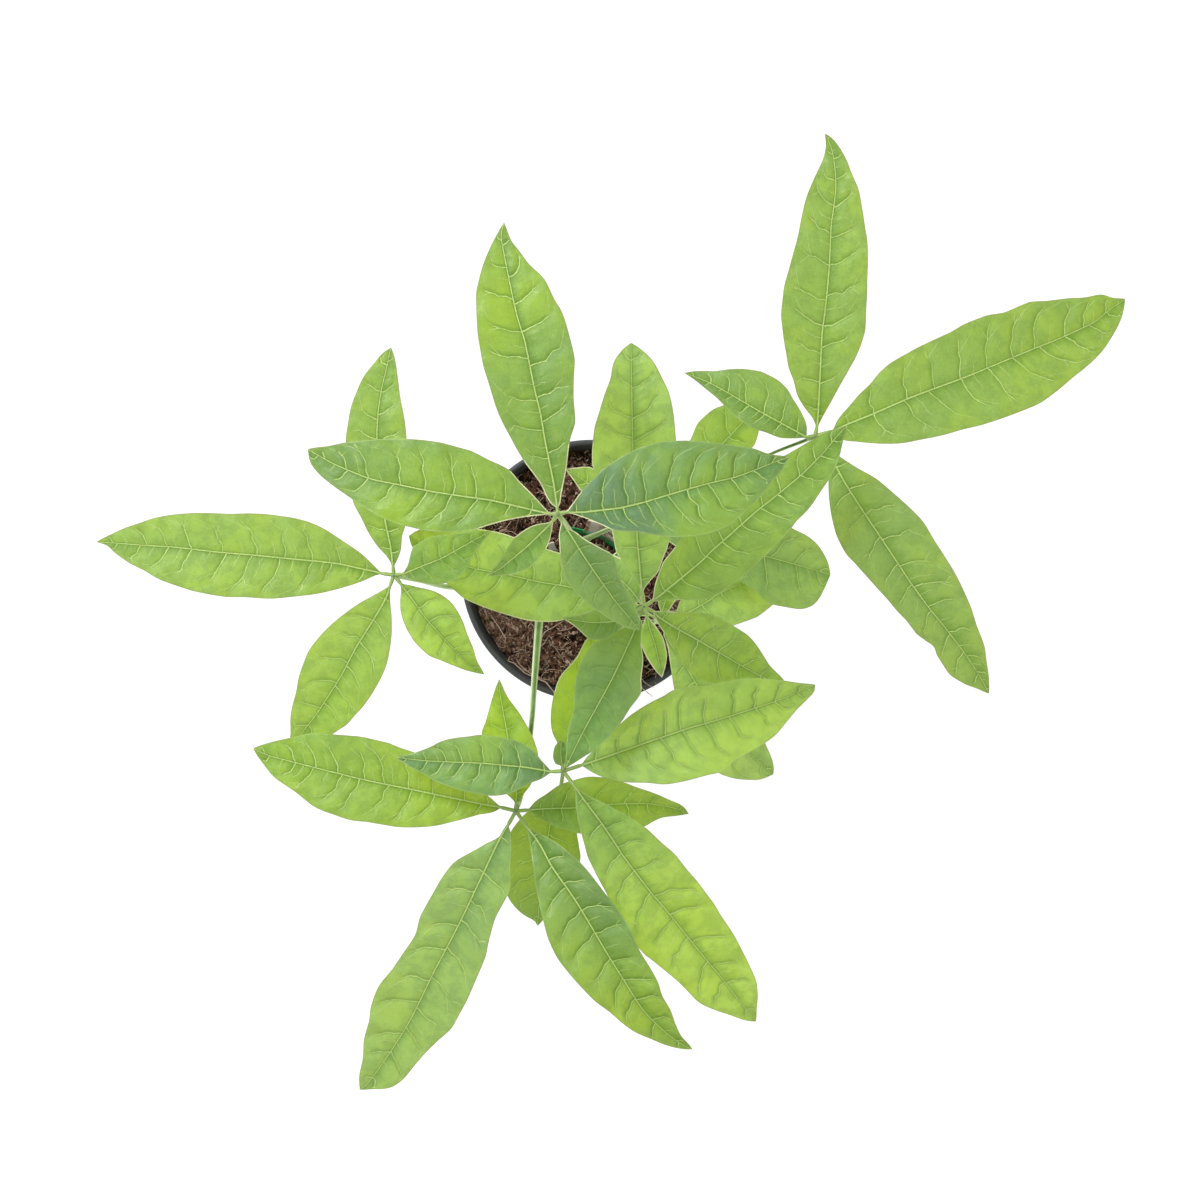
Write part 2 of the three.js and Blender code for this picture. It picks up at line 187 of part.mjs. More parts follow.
    right: [[0.03,-3.7],[0.12,-7.8],[0.216,-10.8],[0.297,-13.5],[0.4,-14.7],[0.495,-14.6],[0.58,-13.3],[0.66,-11.5],[0.736,-9.1],[0.814,-6.2],[0.911,-3.5]] },
  leaflet_H1: { hub: 'K', base: [26.3, -20.7, 206], tip: [-77.2, 13.3, 222], arch: 1, fold: 0.06,
    mid: [[0.053,-0.8],[0.198,-0.6],[0.335,-0.7],[0.461,1.2],[0.6,2.6],[0.742,4.5],[0.863,3.6],[0.951,1.4]],
    left: [[0.045,1.6],[0.125,2.9],[0.217,5.5],[0.308,12.3],[0.382,16.3],[0.486,18.7],[0.596,19],[0.709,18.2],[0.784,15.1],[0.846,11.9],[0.912,7.6],[0.973,4.2]],
    right: [[0.049,-2.3],[0.15,-5.5],[0.246,-9.7],[0.337,-12.3],[0.422,-13.3],[0.467,-13.2],[0.545,-13.3],[0.649,-13.6],[0.747,-12.3],[0.843,-10.1],[0.933,-6.4],[0.974,-3.6]] },
  leaflet_H2: { hub: 'K', base: [30.5, -19.4, 207], tip: [49.3, 20.4, 212], arch: 2, fold: 0.08,
    mid: [[0.116,0.8],[0.34,1.4],[0.613,1],[0.826,0.2]],
    left: [[0.04,2.3],[0.117,4.2],[0.255,5.4],[0.438,5.4],[0.641,4.4],[0.836,3.3]],
    right: [[0.047,-2.3],[0.155,-2.9],[0.327,-5.4],[0.535,-6.8],[0.739,-5.8],[0.889,-3.7]] },
  leaflet_H3: { hub: 'K', base: [34.4, -22.5, 206], tip: [88.6, -2.7, 208], arch: 3, fold: 0.08,
    mid: [[0.155,0.7],[0.313,2.3],[0.393,3.5],[0.533,4.3],[0.688,3.8],[0.839,2.5]],
    left: [[0.056,2.6],[0.116,6.6],[0.209,9.4],[0.338,11.2],[0.503,12.3],[0.661,12.1],[0.807,10],[0.935,5]],
    right: [[0.122,-4.4],[0.253,-8.5],[0.417,-11.3],[0.51,-11.4],[0.589,-11.4],[0.673,-10.3],[0.757,-8.5],[0.88,-4.8]] },
  leaflet_H4: { hub: 'K', base: [31.5, -26.4, 205], tip: [79.4, -90, 192], arch: 3, fold: 0.08,
    mid: [[0.1,-1.7],[0.268,-2.5],[0.434,-3.7],[0.635,-4.3],[0.826,-2.8],[0.926,-1.1]],
    left: [[0.034,2.8],[0.106,7.7],[0.19,12.3],[0.288,14],[0.424,14],[0.577,12.1],[0.717,8.7],[0.834,5.4],[0.909,4.1],[0.967,2.3]],
    right: [[0.024,-1.7],[0.069,-2.8],[0.186,-7.6],[0.298,-12.3],[0.412,-16],[0.533,-18.4],[0.664,-19.1],[0.797,-18.7],[0.873,-15.4],[0.946,-9.5],[0.984,-5]] },
  leaflet_I1: { hub: 'I', base: [17.7, 21.1, 231], tip: [-10.4, 40.7, 236], arch: 1, fold: 0.08,
    mid: [[0.227,-0.1],[0.505,-0.6],[0.759,-0.6]],
    left: [[0.103,3],[0.323,4.8],[0.542,4.9],[0.71,3.6],[0.862,1.7]],
    right: [[0.12,-2.2],[0.359,-5.1],[0.583,-7.3],[0.765,-6.8],[0.894,-3.6]] },
  leaflet_I2: { hub: 'I', base: [23.6, 22.3, 231], tip: [69.3, 66.6, 240], arch: 2, fold: 0.08,
    mid: [[0.282,-1.3],[0.466,-1.1],[0.677,-0.9],[0.875,-0.4]],
    left: [[0.087,2.7],[0.247,5.5],[0.394,8],[0.527,9.4],[0.672,12.5],[0.761,12.3],[0.853,10.2],[0.942,6.4]],
    right: [[0.079,-3.8],[0.274,-7.8],[0.472,-9.7],[0.642,-10.4],[0.789,-10.8],[0.904,-7.5]] },
  leaflet_I3: { hub: 'I', base: [25.7, 17.3, 230], tip: [101.5, -3.2, 223], arch: 3, fold: 0.06,
    mid: [[0.267,-0],[0.45,0],[0.629,0.3],[0.809,0.3]],
    left: [[0.052,5.9],[0.171,11.5],[0.323,15.6],[0.485,17.3],[0.628,16.4],[0.729,14.7],[0.825,13.2],[0.881,11.2],[0.924,8.6],[0.973,4.3]],
    right: [[0.104,-4.4],[0.236,-7.2],[0.377,-9.4],[0.52,-12.1],[0.632,-15.3],[0.734,-18.6],[0.806,-18.2],[0.877,-17.6],[0.94,-15.2],[0.983,-9],[0.994,-3.1]] },
};

// Trunks above the braid: control points [x, y, z, radius].
const SHOOTS = {
  trunk_1: [[-6.05, 8.96, 186, 3.3], [-6.65, 10.86, 204, 2.7], [-6.25, 10.16, 232, 2.4], [-5.95, 9.46, 262, 2.0]],
  trunk_2: [[-19.45, -6.74, 178, 3.4], [-20.25, -11.64, 190.5, 2.8]],
  trunk_3: [[1.65, -10.74, 184, 3.3], [3.45, -22.94, 205, 2.5], [5.15, -24.04, 225, 2.3], [12.85, -22.04, 256, 2.0], [19.55, -17.84, 281, 1.5], [21.35, -16.64, 288, 1.5]],
};
// Phase of each strand, in degrees, at the top of the braid.
const STRAND_PHASE = { trunk_1: 30, trunk_2: 270, trunk_3: 150 };

// Leaf stalks: control points [x, y, z, radius]; each ends at its hub.
const PETIOLES = {
  petiole_A: { hub: 'A', points: [[-6.45, 9.96, 265.2, 1.7], [-9.05, 14.66, 305, 1.25]] },
  petiole_B: { hub: 'B', points: [[-11.65, -4.04, 193, 1.7], [-24.85, -6.44, 194, 1.5], [-39.45, -7.64, 200, 1.3], [-59.85, -8.24, 213, 1.15], [-72.05, -5.64, 227, 1.05], [-79.45, -4.04, 236.4, 1.1]] },
  petiole_C: { hub: 'C', points: [[-21.15, -15.04, 193.5, 2.1], [-22.35, -23.34, 205, 1.85], [-23.75, -45.24, 220, 1.4], [-25.05, -66.84, 231.5, 1.15], [-27.95, -90.24, 237, 1], [-29.75, -97.84, 241.5, 1.1]] },
  petiole_D: { hub: 'D', points: [[3.25, -27.64, 217.5, 1.6], [-0.35, -37.04, 227, 1.4], [-4.45, -55.34, 243, 1.15], [-9.05, -74.84, 253, 1.05], [-10.65, -81.44, 258, 1.1]] },
  petiole_G: { hub: 'G', points: [[-3, 11.41, 233.6, 1.15], [7.8, 15.81, 243, 0.85], [44.85, 32.06, 258, 0.7], [73.55, 45.66, 266.5, 0.68], [87.55, 50.96, 271.6, 0.8]] },
  petiole_H: { hub: 'K', points: [[6.45, -19.34, 197.1, 1.2], [11.55, -22.04, 198.6, 1.15], [18.55, -23.54, 199.4, 1.1], [27.35, -23.24, 201.6, 1.1]] },
  petiole_I: { hub: 'I', points: [[-3.15, 8.36, 206, 1.2], [2.05, 5.16, 210.5, 1.05], [8.95, 4.36, 216, 1], [15.35, 9.96, 222, 1], [19.45, 16.56, 227.4, 1.1]] },
};

const COLOURS = {
  pot: [0x3a3b3e, 0.62], soil: [0x3d2820, 0.95], label: [0xe9e4df, 0.45],
  trunk: [0x8b7c5c, 0.85], petiole: [0x6f9a45, 0.5], leaflet: [0x96c14f, 0.42],
};

// ---- helpers --------------------------------------------------------------
// Monotone cubic interpolation through [position, value] pairs.
function curveThrough(pairs) {
  const x = pairs.map((p) => p[0]), y = pairs.map((p) => p[1]), n = x.length;
  const d = [], m = new Array(n).fill(0);
  for (let i = 0; i < n - 1; i++) d.push((y[i + 1] - y[i]) / (x[i + 1] - x[i]));
  for (let i = 1; i < n - 1; i++) {
    if (d[i - 1] * d[i] <= 0) continue;
    const a = x[i] - x[i - 1], b = x[i + 1] - x[i];
    m[i] = (3 * (a + b)) / ((2 * b + a) / d[i - 1] + (b + 2 * a) / d[i]);
  }
  m[0] = d[0] * 1.4; m[n - 1] = d[n - 2] * 1.4;
  return (t) => {
    const s = Math.min(Math.max(t, x[0]), x[n - 1]);
    let i = 0;
    while (i < n - 2 && s > x[i + 1]) i++;
    const h = x[i + 1] - x[i], k = (s - x[i]) / h, k2 = k * k, k3 = k2 * k;
    return y[i] * (2 * k3 - 3 * k2 + 1) + h * m[i] * (k3 - 2 * k2 + k) + y[i + 1] * (3 * k2 - 2 * k3) + h * m[i + 1] * (k3 - k2);
  };
}

function signedVolume(geometry) {
  const p = geometry.attributes.position, ix = geometry.index;
  const a = new THREE.Vector3(), b = new THREE.Vector3(), c = new THREE.Vector3();
  let v = 0;
  for (let i = 0; i < ix.count; i += 3) {
    a.fromBufferAttribute(p, ix.getX(i)); b.fromBufferAttribute(p, ix.getX(i + 1)); c.fromBufferAttribute(p, ix.getX(i + 2));
    v += a.dot(b.clone().cross(c)) / 6;
  }
  return v;
}

// Keeps positions only, joins shared corners and turns the faces outwards.
function closed(geometry) {
  const g = geometry.clone();
  for (const name of Object.keys(g.attributes)) if (name !== 'position') g.deleteAttribute(name);
  const merged = mergeVertices(g, 1e-4);
  const ix = Array.from(merged.index.array), kept = [];
  for (let i = 0; i < ix.length; i += 3) {
    if (ix[i] !== ix[i + 1] && ix[i + 1] !== ix[i + 2] && ix[i] !== ix[i + 2]) kept.push(ix[i], ix[i + 1], ix[i + 2]);
  }
  merged.setIndex(kept);
  if (signedVolume(merged) < 0) {
    for (let i = 0; i < kept.length; i += 3) [kept[i + 1], kept[i + 2]] = [kept[i + 2], kept[i + 1]];
    merged.setIndex(kept);
  }
  return merged;
}

const wasm = await Module();
wasm.setup();
function solid(geometry) {
  const g = closed(geometry);
  return new wasm.Manifold(new wasm.Mesh({
    numProp: 3,
    vertProperties: Float32Array.from(g.attributes.position.array),
    triVerts: Uint32Array.from(g.index.array),
  }));
}
function fromSolid(body) {
  const mesh = body.getMesh();
  const g = new THREE.BufferGeometry();
  g.setAttribute('position', new THREE.BufferAttribute(Float32Array.from(mesh.vertProperties), 3));
  g.setIndex(Array.from(mesh.triVerts));
  return g;
}

// A round stem along a smooth path with its own radius at each control point:
// a capped cylinder whose rings are carried onto the path.
function stem(points, sides, rings, grow = 0) {
  const curve = new THREE.CatmullRomCurve3(points.map((p) => new THREE.Vector3(p[0], p[1], p[2])), false, 'centripetal');
  const lengths = [0];
  for (let i = 1; i < points.length; i++) {
    lengths.push(lengths[i - 1] + Math.hypot(points[i][0] - points[i - 1][0], points[i][1] - points[i - 1][1], points[i][2] - points[i - 1][2]));
  }
  const radius = curveThrough(points.map((p, i) => [lengths[i] / lengths[lengths.length - 1], p[3]]));
  const frames = curve.computeFrenetFrames(rings, false);
  const g = new THREE.CylinderGeometry(1, 1, 1, sides, rings, false);
  const p = g.attributes.position;
  for (let i = 0; i < p.count; i++) {
    const ring = Math.round((p.getY(i) + 0.5) * rings);
    const t = ring / rings, centre = curve.getPointAt(t);
    const r = radius(t) + grow;
    if (ring === 0) centre.addScaledVector(frames.tangents[0], -grow);
    centre.addScaledVector(frames.normals[ring], p.getX(i) * r);
    centre.addScaledVector(frames.binormals[ring], p.getZ(i) * r);
    p.setXYZ(i, centre.x, centre.y, centre.z);
  }
  return closed(g);
}

// ---- pieces ---------------------------------------------------------------
function potGeometry() {
  const w = POT_WALL, b = POT_BASE_RADIUS, h = POT_HEIGHT, r = POT_RIM_RADIUS;
  const outline = [
    [0, 0], [b - 1.2, 0], [b, 1.2], [r - 3.4, h - 12], [r - 1.3, h - 11], [r - 0.5, h - 9.6], [r, h - 1.4],
    [r - 0.6, h - 0.25], [r - 1.5, h], [r - 2.4, h - 0.5], [r - 2.9, h - 2.4], [r - 3.6, h - 8], [r - POT_INSET, h - POT_STEP],
    [b - w + 0.2, POT_FLOOR + 1.2], [b - w - 1, POT_FLOOR], [0, POT_FLOOR],
  ].map((p) => new THREE.Vector2(p[0], p[1]));
  const shell = new THREE.LatheGeometry(outline, 60);
  shell.rotateX(Math.PI / 2);
  let body = solid(shell);
  for (let i = 0; i < DRAIN_HOLES; i++) {
    const a = ((i + 0.5) / DRAIN_HOLES) * 2 * Math.PI;
    const hole = new THREE.CylinderGeometry(DRAIN_HOLE_RADIUS, DRAIN_HOLE_RADIUS, 12, 20);
    hole.rotateX(Math.PI / 2);
    hole.translate(DRAIN_CIRCLE_RADIUS * Math.cos(a), DRAIN_CIRCLE_RADIUS * Math.sin(a), 1);
    body = body.subtract(solid(hole));
  }
  return fromSolid(body);
}

// Three-strand braid: each strand swings left and right once a turn and
// front and back twice, a third of a turn behind the next.
function trunkPoints(name) {
  const points = [], step = 7;
  for (let z = BRAID_BOTTOM; z <= BRAID_TOP + 0.01; z += (BRAID_TOP - BRAID_BOTTOM) / Math.round((BRAID_TOP - BRAID_BOTTOM) / step)) {
    const flare = Math.exp(-Math.max(z - 88, 0) / 22);
    const r = TRUNK_RADIUS + 1.1 * flare;
    const taper = z < 88 ? 0.45 + 0.55 * (z - BRAID_BOTTOM) / (88 - BRAID_BOTTOM) : 1;
    const wide = r / TRUNK_RADIUS;
    const a = THREE.MathUtils.degToRad(STRAND_PHASE[name] + (360 * (z - BRAID_TOP)) / BRAID_PITCH);
    points.push([BRAID_CENTRE[0] + BRAID_HALF_WIDTH * wide * Math.sin(a), BRAID_CENTRE[1] + BRAID_HALF_DEPTH * wide * Math.sin(2 * a), z, r * taper]);
  }
  return points.concat(SHOOTS[name]);
}

// A thin plastic label bent around the stems, torn down to its lower band for a
// part of its length and covered by soil before its far end.
function labelGeometry(grow = 0) {
  const across = 40, up = 4, topEdge = curveThrough(LABEL_TOP);
  const path = new THREE.CatmullRomCurve3(LABEL_PATH.map((q) => new THREE.Vector3(q[0], q[1], 0)), false, 'centripetal');
  const g = new THREE.BoxGeometry(1, 1, 1, across, up, 1);
  const p = g.attributes.position;
  for (let i = 0; i < p.count; i++) {
    const u = p.getX(i) + 0.5, v = p.getY(i) + 0.5;
    const c = path.getPointAt(u), t = path.getTangentAt(u);
    const out = new THREE.Vector3(-t.y, t.x, 0);
    if (out.dot(c.clone().sub(new THREE.Vector3(BRAID_CENTRE[0], BRAID_CENTRE[1], 0))) < 0) out.negate();
    const z = LABEL_LOW - grow + (topEdge(u) - LABEL_LOW + 2 * grow) * v;
    const more = 1 + (LABEL_END_LEAN - 1) * THREE.MathUtils.smoothstep(u, 0.84, 0.9);
    const lean = LABEL_LEAN * more * (Math.max(z - LABEL_LOW, 0) / (LABEL_HIGH - LABEL_LOW)) ** 1.3;
    c.addScaledVector(out, lean + p.getZ(i) * (LABEL_THICKNESS + 2 * grow));
    c.addScaledVector(t, Math.sign(p.getX(i)) * (Math.abs(p.getX(i)) > 0.499 ? grow : 0));
    p.setXYZ(i, c.x, c.y, z);
  }
  return closed(g);
}

function soilGeometry() {
  const foot = POT_BASE_RADIUS - POT_WALL + 0.2, top = POT_RIM_RADIUS - POT_INSET, low = POT_FLOOR + 1.2, high = POT_HEIGHT - POT_STEP;
  const wall = (z) => foot + ((top - foot) * (z - low)) / (high - low) - GAP;
  const b = SOIL_BOTTOM, t = SOIL_TOP, r = POT_RIM_RADIUS;
  const outline = [[0, b], [wall(b + 1) - 1.2, b], [wall(b + 1.4), b + 1.4], [wall(50), 50], [wall(high - 0.3), high - 0.3], [r - 4.3, t - 0.3], [r - 4.9, t], [30, t + 0.5], [0, t + 0.9]]
    .map((p) => new THREE.Vector2(p[0], p[1]));
  const plug = new THREE.LatheGeometry(outline, 60);
  plug.rotateX(Math.PI / 2);
  let body = solid(plug);
  for (const name of Object.keys(SHOOTS)) {
    const points = trunkPoints(name);
    body = body.subtract(solid(stem(points, TRUNK_SIDES, points.length + 16, GAP)));
  }
  body = body.subtract(solid(labelGeometry(GAP + 0.15)));
  return fromSolid(body);
}

function petioleGeometry(spec) {
  const hub = HUBS[spec.hub], last = spec.points[spec.points.length - 1];
  const d = new THREE.Vector3(hub[0] - last[0], hub[1] - last[1], hub[2] - last[2]).normalize();
  const at = (k, r) => [hub[0] + d.x * k, hub[1] + d.y * k, hub[2] + d.z * k, r];
  const points = spec.points.concat([at(-1.1, HUB_RADIUS * 0.86), at(0, HUB_RADIUS * 0.92), at(0.9, HUB_RADIUS * 0.62)]);
  return stem(points, 8, 5 + Math.round(points.length * 1.3));
}

// A leaflet: a short stalk from the hub, then a blade whose left and right
// edges and midrib are given by their distance from the straight line between
// base and tip, at stations along it. The blade arches and folds at the midrib.
function leafletGeometry(spec) {
  const base = new THREE.Vector3(...spec.base), tip = new THREE.Vector3(...spec.tip), hub = new THREE.Vector3(...HUBS[spec.hub]);
  const forward = new THREE.Vector3(tip.x - base.x, tip.y - base.y, 0), length = forward.length();
  forward.divideScalar(length);
  const side = new THREE.Vector3(-forward.y, forward.x, 0);
  const mid = curveThrough([[0, 0], ...spec.mid, [1, 0]]);
  const left = curveThrough([[0, 0], ...spec.left, [1, 0]]);
  const right = curveThrough([[0, 0], ...spec.right, [1, 0]]);
  const height = (v) => spec.base[2] + (spec.tip[2] - spec.base[2]) * v + spec.arch * 4 * v * (1 - v);
  const rows = [];
  const out = base.clone().sub(hub), reach = out.length();
  out.divideScalar(reach);
  const flat = new THREE.Vector3(out.x, out.y, 0);
  if (flat.length() < 0.3) flat.copy(forward);
  const stalkSide = new THREE.Vector3(-flat.y, flat.x, 0).normalize();
  if (stalkSide.dot(side) < 0) stalkSide.copy(side);
  const start = HUB_RADIUS + 0.6;
  if (reach > start + 0.6) {
    for (const k of [start, (start + reach) / 2]) {
      const c = hub.clone().addScaledVector(out, k);
      rows.push([c.clone().addScaledVector(stalkSide, STALK_HALF_WIDTH), c, c.clone().addScaledVector(stalkSide, -STALK_HALF_WIDTH)]);
    }
  }
  const steps = Math.max(7, Math.round(5 + length / 14));
  for (let i = 0; i <= steps; i++) {
    const s = i / steps;
    let v = 0.62 * s + 0.38 * (0.5 - 0.5 * Math.cos(Math.PI * s));
    if (reach <= start + 0.6 && i === 0) v = Math.min(0.12, (start - reach + 0.8) / length);
    const m = mid(v);
    const floor = i === steps ? 0.25 : STALK_HALF_WIDTH;
    const l = Math.max(left(v) - m, floor), r = Math.max(m - right(v), floor);
    const z = height(v);
    const at = (offset, up) => new THREE.Vector3(base.x + forward.x * length * v + side.x * offset, base.y + forward.y * length * v + side.y * offset, z + up);
    rows.push([at(m + l, spec.fold * l), at(m, 0), at(m - r, spec.fold * r)]);
  }
  const n = rows.length - 1;
  const g = new THREE.BoxGeometry(2, 1, 1, 2, n, 1);
  const p = g.attributes.position;
  for (let i = 0; i < p.count; i++) {
    const row = rows[Math.round((p.getY(i) + 0.5) * n)];
    const c = row[Math.round(p.getX(i)) + 1];
    p.setXYZ(i, c.x, c.y, c.z + p.getZ(i) * LEAF_THICKNESS);
  }
  return closed(g);
}

// ---- assembly -------------------------------------------------------------
const plant = new THREE.Group();
function add(parent, name, geometry, kind) {
  const [color, roughness] = COLOURS[kind];
  const mesh = new THREE.Mesh(geometry, new THREE.MeshStandardMaterial({ color, roughness, metalness: 0 }));
  mesh.name = name;
  parent.add(mesh);
}

const container = new THREE.Group();
add(container, 'pot', potGeometry(), 'pot');
add(container, 'soil', soilGeometry(), 'soil');
add(container, 'label', labelGeometry(), 'label');
plant.add(container);

const wood = new THREE.Group();
for (const name of Object.keys(SHOOTS)) {
  const points = trunkPoints(name);
  add(wood, name, stem(points, TRUNK_SIDES, points.length + 16), 'trunk');
}
plant.add(wood);

const foliage = new THREE.Group();
for (const [name, spec] of Object.entries(PETIOLES)) add(foliage, name, petioleGeometry(spec), 'petiole');
for (const [name, spec] of Object.entries(LEAFLETS)) add(foliage, name, leafletGeometry(spec), 'leaflet');
plant.add(foliage);

export default plant;
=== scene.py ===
"""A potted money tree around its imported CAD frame: leaves, stalks, braided
trunks, potting mix, nursery pot and plant label, all procedural."""
import math

import bpy
import numpy as np
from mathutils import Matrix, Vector


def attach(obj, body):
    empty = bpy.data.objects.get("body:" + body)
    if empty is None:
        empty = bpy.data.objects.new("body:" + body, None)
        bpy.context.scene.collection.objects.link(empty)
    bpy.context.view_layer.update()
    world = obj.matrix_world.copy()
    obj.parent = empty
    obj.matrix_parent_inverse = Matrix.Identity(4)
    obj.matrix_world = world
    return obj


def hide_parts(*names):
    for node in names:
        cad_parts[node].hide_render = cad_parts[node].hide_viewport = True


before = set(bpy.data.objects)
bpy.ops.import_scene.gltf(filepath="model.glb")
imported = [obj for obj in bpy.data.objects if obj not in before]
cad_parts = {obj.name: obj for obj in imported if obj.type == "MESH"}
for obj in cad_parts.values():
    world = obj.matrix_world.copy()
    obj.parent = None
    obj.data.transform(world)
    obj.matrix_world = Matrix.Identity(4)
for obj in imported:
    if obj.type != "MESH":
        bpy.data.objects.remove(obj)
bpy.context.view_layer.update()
scene = bpy.context.scene
MM = 0.001

# ---- camera: straight down, at the height that gives the leaves their sizes
cam_data = bpy.data.cameras.new("camera")
cam_data.sensor_fit = "HORIZONTAL"
cam_data.sensor_width = 36.0
cam_data.lens = 36.0 * 2434.0 / 1200.0
cam_data.clip_start = 0.01
cam_data.clip_end = 20.0
camera = bpy.data.objects.new("camera", cam_data)
camera.location = (0.00385, -0.01384, 1.255)
camera.rotation_euler = (0.0, 0.0, 0.0)
scene.collection.objects.link(camera)
scene.camera = camera
scene.view_settings.view_transform = "Standard"
scene.view_settings.look = "None"
scene.view_settings.exposure = 0.0
scene.view_settings.gamma = 1.0

# ---- leaf tables, in millimetres, as in the CAD -----------------------------
HUBS = {
    "A": (-11.8, 18.3, 346),
    "B": (-82.1, -3.4, 240),
    "C": (-31, -101.3, 246),
    "D": (-11.2, -83.6, 262),
    "E": (21.3, -16.6, 288),
    "G": (90.4, 52.2, 275),
    "K": (30.2, -22.9, 205),
    "I": (20.7, 19, 230),
}

